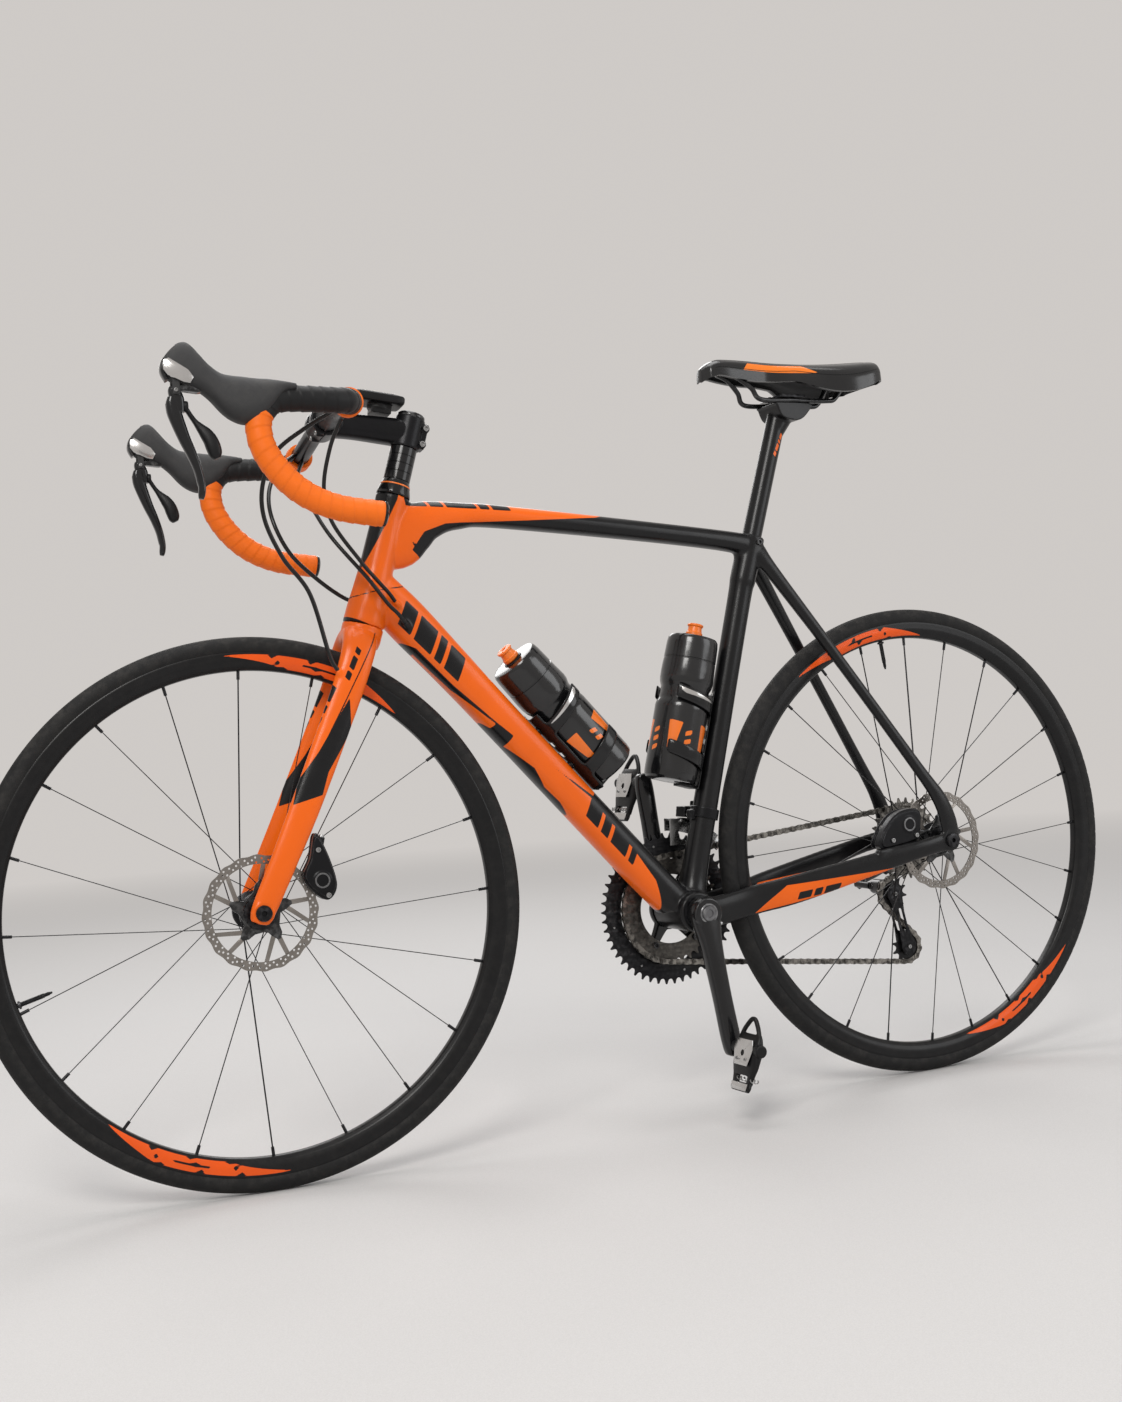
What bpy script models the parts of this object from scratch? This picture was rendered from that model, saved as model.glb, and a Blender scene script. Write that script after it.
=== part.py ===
"""A road bike with disc brakes, built piece by piece at its real size.

All lengths are in metres. The origin lies on the rear axle, in the middle of the bike.
+X points to the rear, +Y to the rider's right (the chain's side) and +Z up. The bars, the fork
and the front wheel are built straight ahead and then turned together by REST_STEER.
"""

import math
from math import asin, atan2, cos, hypot, pi, radians, sin, sqrt

import bmesh
import bpy
from mathutils import Matrix, Vector
from mathutils.geometry import tessellate_polygon

for old in list(bpy.data.objects):
    bpy.data.objects.remove(old)

# Clearances
GAP = 0.0003  # between pieces that touch on the real bike
RUN = 0.0005  # beside a face that turns past another

# Main geometry, read from the photograph
WHEELBASE = 0.992
TYRE_RADIUS = 0.336
BB_DROP = 0.062
CHAINSTAY = 0.403
HEAD_ANGLE = radians(72.5)
FORK_RAKE = 0.050
SEAT_TUBE_ANGLE = radians(74.6)
SEATPOST_ANGLE = radians(71.7)
REST_STEER = radians(-7.2)

# Wheels
WHEEL_STEPS = 28
TYRE_WIDTH = 0.026
RIM_OUTER = 0.317  # the rim's hooks
RIM_WELL = 0.311
RIM_INNER = 0.294
RIM_WIDTH = 0.0232
RIM_HOOK = 0.0027
SPOKE = 0.0019
FRONT_SPOKES = 20
REAR_SPOKES = 24
FRONT_HALF = 0.050  # half of the width between the fork's dropouts
REAR_HALF = 0.071
AXLE_RADIUS = 0.006
ROTOR_RADIUS = 0.070
ROTOR_THICK = 0.0018
ROTOR_BAND = 0.0125
FRONT_ROTOR_Y = -0.0396
REAR_ROTOR_Y = -0.0522

# Transmission
PITCH = 0.0127
CHAIN_Y = 0.0372
INNER_TEETH = 36
OUTER_TEETH = 50
RING_GAP = 0.0070
SPROCKETS = (28, 25, 23, 21, 19, 17, 15, 14, 13, 12, 11)
DRIVEN = 23  # the sprocket that the chain lies on
SPROCKET_PITCH = 0.00374
TOOTH_THICK = 0.0016
JOCKEY_TEETH = 11
CRANK_LENGTH = 0.175
CRANK_TILT = radians(4.5)  # the left crank hangs this far to the rear of straight down
SPINDLE_RADIUS = 0.012
BB_HALF = 0.040
BB_RADIUS = 0.027
GUIDE_JOCKEY = (-0.0245, -0.0798)
JOCKEY_DISTANCE = 0.082
CAGE_TILT = radians(15.3)
LINK_LENGTH = 0.045
LINK_SLANT = 0.8  # how far the cage drops for each step towards the wheel

# Cockpit and saddle
STEERER_RADIUS = 0.0143
HEAD_LOW, HEAD_TOP = 0.374, 0.545  # along the steering axis from the foot of the rake
COVER_TOP = 0.5655
SPACER_TOP = 0.6095
STEM_TOP = 0.6500
STEM_LENGTH = 0.108
STEM_RISE = radians(8.0)
CLAMP_RADIUS = 0.0159
CLAMP_WALL = 0.0045
CLAMP_WIDTH = 0.046
BAR_RADIUS = 0.0119
BAR_HALF = 0.205
TAPE_WALL = 0.0034
TAPE_START = 0.150
POST_RADIUS = 0.0136
POST_TOP = 0.6170
RAIL_LIFT = 0.0195
RAIL_RADIUS = 0.0035
RAIL_HALF = 0.022
SADDLE_LENGTH = 0.270
SADDLE_HALF = 0.069
SADDLE_PAD = 0.012

# Bottles
BOTTLE_RADIUS = 0.0368
BOTTLE_HEIGHT = 0.200
CAGE_WALL = 0.0025
NOZZLE_RADIUS = 0.0115

# Hoses and cables
HOSE = 0.0054
CABLE = 0.0050

# Places that follow from the sizes above
FRONT_AXLE = Vector((-WHEELBASE, 0, 0))
BB = Vector((-sqrt(CHAINSTAY**2 - BB_DROP**2), 0, -BB_DROP))
STEER_AXIS = Vector((cos(HEAD_ANGLE), 0, sin(HEAD_ANGLE)))
STEER_FORE = Vector((-sin(HEAD_ANGLE), 0, cos(HEAD_ANGLE)))
STEER_FOOT = FRONT_AXLE - FORK_RAKE * STEER_FORE
X, Y, Z = Vector((1, 0, 0)), Vector((0, 1, 0)), Vector((0, 0, 1))


def on_steerer(s, fore=0.0):
    """The point s along the steering axis, and so far ahead of it."""
    return STEER_FOOT + s * STEER_AXIS + fore * STEER_FORE


STEM_MIDDLE = (SPACER_TOP + STEM_TOP) / 2
STEM_BACK = on_steerer(STEM_MIDDLE)
STEM_WAY = Vector((-cos(STEM_RISE), 0, sin(STEM_RISE)))
CLAMP = STEM_BACK + STEM_LENGTH * STEM_WAY

steering = bpy.data.objects.new("steering_pivot", None)
bpy.context.scene.collection.objects.link(steering)
steering.matrix_world = Matrix.Translation(on_steerer(HEAD_LOW)) @ Matrix.Rotation(REST_STEER, 4, STEER_AXIS)
STEERED = Matrix.Translation(-on_steerer(HEAD_LOW))


# Materials
def material(name, colour, rough=0.5, metal=0.0):
    made = bpy.data.materials.new(name)
    made.use_nodes = True
    shader = made.node_tree.nodes["Principled BSDF"]
    shader.inputs["Base Color"].default_value = (*colour, 1)
    shader.inputs["Roughness"].default_value = rough
    shader.inputs["Metallic"].default_value = metal
    made.diffuse_color = (*colour, 1)
    return made


ORANGE = material("orange_paint", (0.90, 0.16, 0.01), 0.35)
CARBON = material("black_carbon", (0.012, 0.012, 0.013), 0.42)
ALLOY = material("black_alloy", (0.016, 0.016, 0.018), 0.38, 0.6)
GREY = material("grey_alloy", (0.06, 0.06, 0.065), 0.35, 0.8)
RUBBER = material("rubber", (0.018, 0.018, 0.019), 0.8)
TYRE_RUBBER = material("tyre_rubber", (0.018, 0.018, 0.019), 0.8)
TAPE = material("orange_tape", (0.88, 0.20, 0.02), 0.6)
STEEL = material("steel", (0.55, 0.52, 0.48), 0.3, 1.0)
CHAIN = material("chain_steel", (0.05, 0.048, 0.045), 0.4, 0.9)
PLASTIC = material("black_plastic", (0.010, 0.010, 0.011), 0.3)
LEATHER = material("saddle_cover", (0.010, 0.010, 0.010), 0.25)
GLASS = material("screen", (0.02, 0.022, 0.025), 0.12)
BOTTLE = material("bottle_plastic", (0.013, 0.013, 0.014), 0.22)
VALVE = material("orange_plastic", (0.92, 0.24, 0.02), 0.35)


# Building blocks
def put(name, verts, faces, look=None, pivot=(0, 0, 0), steered=False):
    """One closed solid from world points. Its origin goes on its pivot."""
    pivot = Vector(pivot)
    mesh = bpy.data.meshes.new(name)
    bm = bmesh.new()
    made = [bm.verts.new(Vector(v) - pivot) for v in verts]
    for face in faces:
        bm.faces.new([made[i] for i in face])
    bmesh.ops.recalc_face_normals(bm, faces=bm.faces)
    bm.to_mesh(mesh)
    bm.free()
    mesh.shade_smooth()
    mesh.set_sharp_from_angle(angle=radians(50))
    obj = bpy.data.objects.new(name, mesh)
    obj.location = pivot
    if steered:
        obj.parent = steering
        obj.matrix_parent_inverse = STEERED
    bpy.context.scene.collection.objects.link(obj)
    if look:
        mesh.materials.append(look)
    return obj


def loft(rings, ends=True, loop=False):
    """Verts and faces through rings of as many points each."""
    n = len(rings[0])
    verts = [p for ring in rings for p in ring]
    faces = []
    last = len(rings) if loop else len(rings) - 1
    for i in range(last):
        a, b = i * n, (i + 1) % len(rings) * n
        faces += [(a + j, a + (j + 1) % n, b + (j + 1) % n, b + j) for j in range(n)]
    if ends and not loop:
        faces += [tuple(range(n))[::-1], tuple(range(len(verts) - n, len(verts)))]
    return verts, faces


def oval(centre, side, up, wide, high, n, power=2.0, start=0.0):
    """A ring of n points: an ellipse at power 2, squarer above it."""
    ring = []
    for k in range(n):
        a = 2 * pi * k / n + start
        c, s = cos(a), sin(a)
        c = math.copysign(abs(c) ** (2 / power), c)
        s = math.copysign(abs(s) ** (2 / power), s)
        ring.append(Vector(centre) + side * (wide / 2 * c) + up * (high / 2 * s))
    return ring


def tube(spine, n=12, power=2.0, mirror=1, start=0.0):
    """Sections (x, y, z, wide, high) square to their path, with the width kept level."""
    at = [Vector((x, y * mirror, z)) for x, y, z, *_ in spine]
    rings = []
    for i, (*_, wide, high) in enumerate(spine):
        way = (at[min(i + 1, len(at) - 1)] - at[max(i - 1, 0)]).normalized()
        side = (Y - way * way.dot(Y)).normalized()
        rings.append(oval(at[i], side, way.cross(side), wide, high, n, power, start))
    return loft(rings)


def rod(a, b, radius, n=12, radius_b=None, start=0.0):
    """A round bar from a to b, or a cone."""
    a, b = Vector(a), Vector(b)
    way = (b - a).normalized()
    side = Y if abs(way.dot(Y)) < 0.9 else X
    side = (side - way * way.dot(side)).normalized()
    up = way.cross(side)
    radius_b = radius if radius_b is None else radius_b
    return loft([oval(p, side, up, 2 * r, 2 * r, n, start=start) for p, r in ((a, radius), (b, radius_b))])


def turned(profile, centre, axis, n, side=None, start=0.0, hollow=False):
    """Turns (distance, radius) about an axis. A hollow profile closes on itself."""
    axis = Vector(axis).normalized()
    side = Vector(side) if side else (Z if abs(axis.dot(Z)) < 0.9 else X)
    side = (side - axis * axis.dot(side)).normalized()
    up = axis.cross(side)
    rings = [oval(Vector(centre) + axis * h, side, up, 2 * r, 2 * r, n, start=start) for h, r in profile]
    return loft(rings, loop=hollow)


def plate(outline, holes, low, high, lift):
    """A flat outline with holes, made solid between two heights. lift(u, v, h) gives the point."""
    loops = [outline, *holes]
    flat = [p for loop in loops for p in loop]
    tris = tessellate_polygon([[Vector((u, v, 0)) for u, v in loop] for loop in loops])
    n = len(flat)
    verts = [lift(u, v, h) for h in (low, high) for u, v in flat]
    faces = [tuple(t) for t in tris] + [tuple(i + n for i in reversed(t)) for t in tris]
    first = 0
    for loop in loops:
        m = len(loop)
        faces += [(first + i, first + (i + 1) % m, n + first + (i + 1) % m, n + first + i) for i in range(m)]
        first += m
    return verts, faces


def circle(r, n, cu=0.0, cv=0.0, start=0.0):
    return [(cu + r * cos(2 * pi * k / n + start), cv + r * sin(2 * pi * k / n + start)) for k in range(n)]


def upright(centre, y):
    """For plates that stand in the bike's plane: u to the rear, v up, h to the right."""
    return lambda u, v, h: Vector((centre[0] + u, y + h, centre[-1] + v))


def helper(obj, verts, faces):
    """A shape that only adds to obj or cuts it, in obj's own group."""
    made = put(obj.name + "_helper", verts, faces, steered=obj.parent == steering)
    made.hide_render = True
    made.display_type = "WIRE"
    return made


def boolean(obj, shape, operation):
    tool = helper(obj, *shape)
    step = obj.modifiers.new(operation.lower(), "BOOLEAN")
    step.operation, step.solver, step.object = operation, "EXACT", tool
    return step


def fuse(obj, *shapes):
    for shape in shapes:
        boolean(obj, shape, "UNION")


def cut(obj, *shapes):
    for shape in shapes:
        boolean(obj, shape, "DIFFERENCE")


def smooth(points, step):
    """A Catmull-Rom curve through the points, read at about every step."""
    p = [Vector(q) for q in points]
    p = [2 * p[0] - p[1], *p, 2 * p[-1] - p[-2]]
    fine = []
    for a, b, c, d in zip(p, p[1:], p[2:], p[3:]):
        for k in range(12):
            t = k / 12
            fine.append(0.5 * (2 * b + (c - a) * t + (2 * a - 5 * b + 4 * c - d) * t**2 + (3 * b - a - 3 * c + d) * t**3))
    fine.append(p[-2])
    along = [0.0]
    for a, b in zip(fine, fine[1:]):
        along.append(along[-1] + (b - a).length)
    count = max(2, round(along[-1] / step))
    out, j = [], 0
    for k in range(count + 1):
        want = along[-1] * k / count
        while j < len(fine) - 2 and along[j + 1] < want:
            j += 1
        span = along[j + 1] - along[j] or 1.0
        out.append(fine[j].lerp(fine[j + 1], (want - along[j]) / span))
    return out


def pipe(points, radii, n, inner=None):
    """Round sections carried along a path without twist. With inner radii it is a sleeve."""
    points = [Vector(p) for p in points]
    ways = [(points[min(i + 1, len(points) - 1)] - points[max(i - 1, 0)]).normalized() for i in range(len(points))]
    side = (Z - ways[0] * ways[0].dot(Z)).normalized()
    frames = []
    for way in ways:
        side = (side - way * way.dot(side)).normalized()
        frames.append((side, way.cross(side)))
    rings = [oval(p, *f, 2 * r, 2 * r, n) for p, f, r in zip(points, frames, radii)]
    if inner is None:
        return loft(rings)
    back = [oval(p, *f, 2 * r, 2 * r, n) for p, f, r in zip(points, frames, inner)]
    return loft(rings + back[::-1], loop=True)


def cord(name, points, diameter, steered=True):
    """A hose or cable: a curve object with a round bevel and closed ends."""
    data = bpy.data.curves.new(name, "CURVE")
    data.dimensions, data.bevel_depth, data.bevel_resolution = "3D", diameter / 2, 2
    data.use_fill_caps = True
    route = smooth(points, 3 * diameter)
    spline = data.splines.new("POLY")
    spline.points.add(len(route) - 1)
    for p, q in zip(spline.points, route):
        p.co = (*q, 1)
    obj = bpy.data.objects.new(name, data)
    if steered:
        obj.parent = steering
        obj.matrix_parent_inverse = STEERED
    bpy.context.scene.collection.objects.link(obj)
    data.materials.append(RUBBER)
    length = sum((b - a).length for a, b in zip(route, route[1:]))
    print(f"{name}: {length * 1000:.0f} mm long, {len(route)} points")
    return obj


def block(centre, axes, sizes):
    """A box turned to three directions."""
    a, b, c = (axis * (size / 2) for axis, size in zip(axes, sizes))
    centre = Vector(centre)
    ring = lambda k: [centre - a - b + k * c, centre + a - b + k * c, centre + a + b + k * c, centre - a + b + k * c]
    return loft([ring(-1), ring(1)])


def mirrored(points, side):
    return [Vector((p[0], p[1] * side, p[2])) for p in points]


SIDES = ((-1, "left"), (1, "right"))


# Frame
def seat_line(z):
    """The seat tube's middle at a height."""
    return BB.x + 0.006 + (z - BB.z) / math.tan(SEAT_TUBE_ANGLE)


CLUSTER_Z = 0.4464
CLUSTER_X = seat_line(CLUSTER_Z) + 0.004
POST_WAY = Vector((cos(SEATPOST_ANGLE), 0, sin(SEATPOST_ANGLE)))


def post_point(z):
    """The seatpost's middle at a height: it leans back a little more than the tube below it."""
    return Vector((CLUSTER_X + (z - CLUSTER_Z) / math.tan(SEATPOST_ANGLE), 0, z))


HEAD_TUBE = [
    (HEAD_LOW, 0.0262), (HEAD_LOW + 0.022, 0.0256), (HEAD_LOW + 0.075, 0.0218),
    (HEAD_TOP - 0.030, 0.0206), (HEAD_TOP, 0.0216),
]
# Along the way from the seat cluster or the bottom bracket to the head tube
TOP_TUBE = [
    (CLUSTER_X + share * (on_steerer(HEAD_TOP).x - CLUSTER_X), z, w, h)
    for share, z, w, h in (
        (1.0311, 0.4555, 0.0350, 0.0880), (0.9917, 0.4565, 0.0360, 0.0850), (0.9522, 0.4655, 0.0370, 0.0670),
        (0.9109, 0.4745, 0.0380, 0.0500), (0.8395, 0.4795, 0.0380, 0.0350), (0.6986, 0.4765, 0.0380, 0.0290),
        (0.0800, 0.4409, 0.0326, 0.0282), (0.0147, 0.4230, 0.0300, 0.0440),
    )
]
DOWN_TUBE = [
    (BB.x + share * (on_steerer(HEAD_LOW).x - BB.x), z, w, h)
    for share, z, w, h in (
        (0.9588, 0.3920, 0.0400, 0.0500), (0.8689, 0.3490, 0.0440, 0.0570), (0.7421, 0.2890, 0.0460, 0.0530),
        (0.5876, 0.2140, 0.0460, 0.0500), (0.1886, 0.0205, 0.0500, 0.0490), (0.0457, -0.0470, 0.0560, 0.0470),
    )
]
SEAT_TUBE = [
    (-0.046, 0.058, 0.046), (-0.018, 0.039, 0.037), (0.060, 0.034, 0.034), (0.345, 0.0325, 0.0325),
    (CLUSTER_Z - 0.060, 0.0356, 0.0356), (CLUSTER_Z, 0.0356, 0.0356),
]
CHAIN_STAY = [
    (-0.392, 0.0160, -0.063, 0.0300, 0.048), (-0.366, 0.0245, -0.0655, 0.0180, 0.041),
    (-0.297, 0.0262, -0.0560, 0.0155, 0.0405), (-0.230, 0.0440, -0.0443, 0.0160, 0.0394),
    (-0.065, 0.0720, -0.0108, 0.0125, 0.0262), (-0.004, 0.0757, -0.001, 0.0088, 0.026),
]
SEAT_STAY = [
    (-0.2486, 0.0108, 0.424, 0.0140, 0.030), (-0.2265, 0.0180, 0.391, 0.0145, 0.021),
    (-0.1388, 0.0420, 0.258, 0.0130, 0.0165), (-0.042, 0.0665, 0.108, 0.0125, 0.0175),
    (-0.012, 0.0735, 0.060, 0.0105, 0.0240), (0.000, 0.0757, 0.024, 0.0086, 0.0290),
    (0.001, 0.0757, -0.004, 0.0086, 0.0270),
]
DROPOUT_WALL = 0.0092


def seat_tube(grow=0.0, low=None, high=None):
    """The seat tube's shell, or the part of it between two heights, grown for a band round it."""
    stations = SEAT_TUBE if low is None else [(z, *section_at(SEAT_TUBE, z)) for z in (low, high)]
    middle = lambda z: seat_line(z) if z < CLUSTER_Z - 0.065 else post_point(z).x
    return tube([(middle(z), 0, z, w + 2 * grow, h + 2 * grow) for z, w, h in stations], 10)


def section_at(stations, z):
    """Width and depth between two listed stations."""
    for (z0, *a), (z1, *b) in zip(stations, stations[1:]):
        if z <= z1:
            t = (z - z0) / (z1 - z0)
            return [p + (q - p) * t for p, q in zip(a, b)]
    return stations[-1][1:]


frame = put("frame", *turned(HEAD_TUBE, STEER_FOOT, STEER_AXIS, 14), ORANGE)
fuse(
    frame,
    tube([(x, 0, z, w, h) for x, z, w, h in TOP_TUBE], 10, 2.4, start=pi / 10),
    tube([(x, 0, z, w, h) for x, z, w, h in DOWN_TUBE], 10, 2.4, start=pi / 10),
    rod(BB - Y * BB_HALF, BB + Y * BB_HALF, BB_RADIUS, 12),
    seat_tube(),
)
for side, tag in SIDES:
    fuse(
        frame,
        tube(CHAIN_STAY, 6, 2.2, side),
        tube(SEAT_STAY, 6, 2.2, side),
        rod((0, side * REAR_HALF, 0), (0, side * (REAR_HALF + DROPOUT_WALL), 0), 0.0152, 10, start=0.13 + 0.09 * side),
    )
HANGER = [(-0.011, 0.004), (0.011, 0.004), (0.0185, -0.022), (0.0175, -0.035), (0.006, -0.038), (-0.001, -0.030)]
fuse(frame, plate(HANGER, [], 0.0004, 0.0065, upright((0, 0, 0), REAR_HALF)))
# The flat pad on the left stay that carries the brake.
BRAKE_PAD = [(-0.118, -0.020), (-0.048, -0.010), (-0.046, 0.0045), (-0.052, 0.0045), (-0.112, -0.0025), (-0.120, -0.0040)]
fuse(frame, plate(BRAKE_PAD, [], -0.0050, 0.0060, upright((0, 0, 0), -0.0660)))
cut(
    frame,
    rod(on_steerer(HEAD_LOW - 0.02), on_steerer(HEAD_TOP + 0.02), (STEERER_RADIUS + GAP) / cos(pi / 12), 12),
    rod(BB - Y * 0.06, BB + Y * 0.06, (SPINDLE_RADIUS + GAP) / cos(pi / 12), 12),
    rod(post_point(CLUSTER_Z - 0.082), post_point(CLUSTER_Z + 0.03), POST_RADIUS + GAP * 1.3, 12),
    rod((0, -0.09, 0), (0, 0.09, 0), AXLE_RADIUS + GAP, 10),
)

# Seatpost, clamp and saddle
POST_HEAD = post_point(POST_TOP)
RAIL_Z = POST_TOP + RAIL_LIFT
RAIL_SEAT = Vector((POST_HEAD.x + 0.009, 0, RAIL_Z))
CRADLE = [(-0.024, -0.008), (-0.015, -0.024), (0.012, -0.028), (0.030, -0.014), (0.030, -0.0039), (-0.024, -0.0039)]
JAW = [(-0.020, 0.0039), (-0.016, 0.0080), (0.022, 0.0080), (0.026, 0.0039)]
post = put("seatpost", *rod(post_point(CLUSTER_Z - 0.078), POST_HEAD, POST_RADIUS, 12), CARBON)
fuse(post, plate(CRADLE, [], -0.0270, 0.0270, upright(RAIL_SEAT, 0)))
put("saddle_clamp", *plate(JAW, [], -0.0265, 0.0265, upright(RAIL_SEAT, 0)), ALLOY)

NOSE_X = -0.3155
SADDLE_Z = 0.6910
CROWN = [(-1.0, 1.0), (-0.99, 0.62), (-0.86, 0.26), (-0.48, 0.05), (0, 0.0)]
CROWN += [(-y, z) for y, z in CROWN[-2::-1]]
SHELL = CROWN[::2]


def saddle_half(t):
    """Half of the saddle's width at a share t of its length from the nose."""
    nose = 0.0165 + 0.0055 * sin(pi / 2 * min(1, t / 0.15)) + 0.004 * t
    u = max(0, (t - 0.34) / 0.66)
    wing = (SADDLE_HALF - 0.024) * sin(pi / 2 * min(1, u * 1.35)) ** 1.7
    return nose + wing - 0.012 * max(0, (u - 0.80) / 0.20) ** 2


def saddle_top(t):
    """The height of the saddle's middle line: a raised nose, a dip and a raised tail."""
    wave = 0.0030 * cos(2 * pi * (t - 0.14) / 0.98)
    return SADDLE_Z + wave + 0.0010 * t - 0.0130 * max(0, 1 - t / 0.10) ** 2 - 0.006 * max(0, (t - 0.95) / 0.05) ** 2


def saddle_fall(t):
    """How far the skirt hangs below the middle line."""
    if t < 0.5:
        return 0.0185 + 0.0125 * sin(pi / 2 * min(1, t / 0.3)) - 0.0020 * max(0, (t - 0.3) / 0.2)
    return 0.0290 + 0.0185 * sin(pi * min(1, (t - 0.5) / 0.52)) ** 1.2


def saddle_section(t, sink, inset, crown=CROWN):
    """One cross-section: the crown, the drawn-in sides and the skirt, or an inner layer of it."""
    close = max(0, 1 - t / 0.02, 1 - (1 - t) / 0.02) if sink else 0
    fall = saddle_fall(t)
    sink += (fall - sink - 0.0010) * close
    end = min(1, t / 0.06 + 0.45) * min(1, (1 - t) / 0.05 + 0.72)
    half, x = saddle_half(t) * end - inset, NOSE_X + SADDLE_LENGTH * t
    return [Vector((x, half * y, saddle_top(t) - sink - (fall - sink) * z)) for y, z in crown]


def saddle_layer(ts, outer, inner):
    return loft([saddle_section(t, *outer) + saddle_section(t, *inner)[::-1] for t in ts])


SADDLE_TS = (0.0, 0.035, 0.09, 0.20, 0.34, 0.47, 0.59, 0.71, 0.82, 0.91, 0.965, 1.0)
put("saddle", *saddle_layer(SADDLE_TS, (0, 0), (SADDLE_PAD, 0.0045)), LEATHER)
base = put(
    "saddle_base",
    *saddle_layer(SADDLE_TS[1:-1], (SADDLE_PAD + 3 * GAP, 0.0052, SHELL), (SADDLE_PAD + 0.0040, 0.0082, SHELL)),
    PLASTIC,
)
RAIL = [(-0.0480, 0.0), (0.0600, 0), (0.0780, 0.0050), (0.0960, 0.0330)]  # from the clamp's middle
rail = [
    Vector((NOSE_X + 0.030, 0.0045, SADDLE_Z - 0.016)), Vector((NOSE_X + 0.052, 0.0120, SADDLE_Z - 0.022)),
    Vector((NOSE_X + 0.072, 0.0180, SADDLE_Z - 0.038)),
    *(Vector((RAIL_SEAT.x + x, RAIL_HALF, RAIL_Z + z)) for x, z in RAIL),
]
fuse(base, pipe(mirrored(rail[::-1], -1) + rail, [RAIL_RADIUS] * (2 * len(rail)), 6))

# Wheels
BEAD = RIM_WIDTH / 2 - RIM_HOOK - GAP
TYRE = [
    (-BEAD, RIM_WELL + GAP), (-TYRE_WIDTH / 2, RIM_OUTER + 0.0040), (-0.0098, TYRE_RADIUS - 0.0044), (0, TYRE_RADIUS),
]
TYRE += [(-y, r) for y, r in TYRE[-2::-1]]
RIM = [
    (-0.0045, RIM_INNER), (-RIM_WIDTH / 2, RIM_INNER + 0.0110), (-RIM_WIDTH / 2 - 0.0002, RIM_OUTER),
    (-RIM_WIDTH / 2 + RIM_HOOK, RIM_WELL),
]
RIM += [(-y, r) for y, r in RIM[::-1]]
CROSSES = 2


def laced_hub(name, axle, profile, count, flanges, steered):
    """A turned hub whose spokes are drawn out of its flanges' facets, one out of each.

    The right half of the hub is turned by half a facet, so that the two sides' spokes alternate.
    """
    n = count // 2
    starts = {True: 0.0, False: pi / n}
    rings = [oval(axle + Y * y, Z, X, 2 * r, 2 * r, n, start=starts[y < 0.001]) for y, r in profile]
    obj = put(name, *loft(rings, loop=True), ALLOY, axle, steered)
    reach = RIM_INNER * cos(pi / WHEEL_STEPS) - GAP
    bm = bmesh.new()
    bm.from_mesh(obj.data)
    for y, radius in flanges:
        inner = 1 if y < 0 else -1
        for k in range(n):
            slot = 2 * pi * (k + 0.5) / n + starts[y < 0.001]
            out, along = Vector((sin(slot), 0, cos(slot))), Vector((cos(slot), 0, -sin(slot)))
            middle = out * (radius * cos(pi / n)) + Y * y
            face = min(bm.faces, key=lambda f: (f.calc_center_median() - middle).length)
            lean = 1 if k % 2 else -1
            shift = Y * (lean * 0.0014 * inner)
            bmesh.ops.inset_individual(bm, faces=[face], thickness=0.0004)
            for v in face.verts:
                d = v.co - middle
                v.co = middle + shift + along * math.copysign(0.0026, d.dot(along)) + Y * math.copysign(SPOKE / 2, d.y)
            face = bmesh.ops.extrude_discrete_faces(bm, faces=[face])["faces"][0]
            aim = slot + lean * CROSSES * 2 * pi / n
            tip, across = Vector((sin(aim), 0, cos(aim))), Vector((cos(aim), 0, -sin(aim)))
            for v in face.verts:
                d = v.co - middle - shift
                u, w = math.copysign(SPOKE / 2, d.dot(along)), math.copysign(SPOKE / 2, d.y)
                v.co = tip * reach + across * u + Y * (w - inner * 0.0012)
    bmesh.ops.recalc_face_normals(bm, faces=bm.faces)
    bm.to_mesh(obj.data)
    bm.free()
    return obj


def hub_bore(count):
    return (AXLE_RADIUS + GAP) / cos(pi / count)


def rotor(name, axle, y, steered):
    """A brake disc: the band, five slanted arms and the spider with its lock ring."""
    windows = []
    inner, low = ROTOR_RADIUS - ROTOR_BAND, 0.029
    for k in range(5):
        a = 2 * pi * k / 5
        outer_arc = [(r * cos(a + t), r * sin(a + t)) for r, t in ((inner, 0.0), (inner + 0.0012, 0.5), (inner, 1.0))]
        inner_arc = [(low * cos(a + t), low * sin(a + t)) for t in (1.25,)]
        windows.append(outer_arc + inner_arc)
    half = ROTOR_THICK / 2
    shape = plate(circle(ROTOR_RADIUS, 20), [circle(0.0172, 10), *windows], -half, half, upright(axle, y))
    return put(name, *shape, STEEL, axle, steered)


def wheel(tag, axle, half, steered):
    put(tag + "_tyre", *turned(TYRE, axle, Y, WHEEL_STEPS, hollow=True), TYRE_RUBBER, axle, steered)
    put(tag + "_rim", *turned(RIM, axle, Y, WHEEL_STEPS, hollow=True), CARBON, axle, steered)
    turn_y = FRONT_ROTOR_Y if steered else REAR_ROTOR_Y
    rotor(tag + "_rotor", axle, turn_y, steered)
    seat = turn_y + ROTOR_THICK / 2 + GAP
    end = half - GAP
    if steered:
        flanges, count = ((-0.0255, 0.0240), (0.0330, 0.0240)), FRONT_SPOKES
        tail = [(end, 0.0105)]
    else:
        flanges, count = ((-0.0350, 0.0245), (0.0170, 0.0250)), REAR_SPOKES
        tail = [(0.0215, FREEHUB_SEAT), (end, FREEHUB_SEAT)]
    (yl, rl), (yr, rr) = flanges
    bore = hub_bore(count // 2)
    profile = [
        (-end, 0.0100), (seat, 0.0163), (seat, 0.0200), (yl - 0.0028, rl), (yl + 0.0028, rl),
        (0.0, 0.0118), (yr - 0.0028, rr), (yr + 0.0028, rr), *tail, (end, bore), (-end, bore),
    ]
    laced_hub(tag + "_hub", axle, profile, count, flanges, steered)


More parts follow.
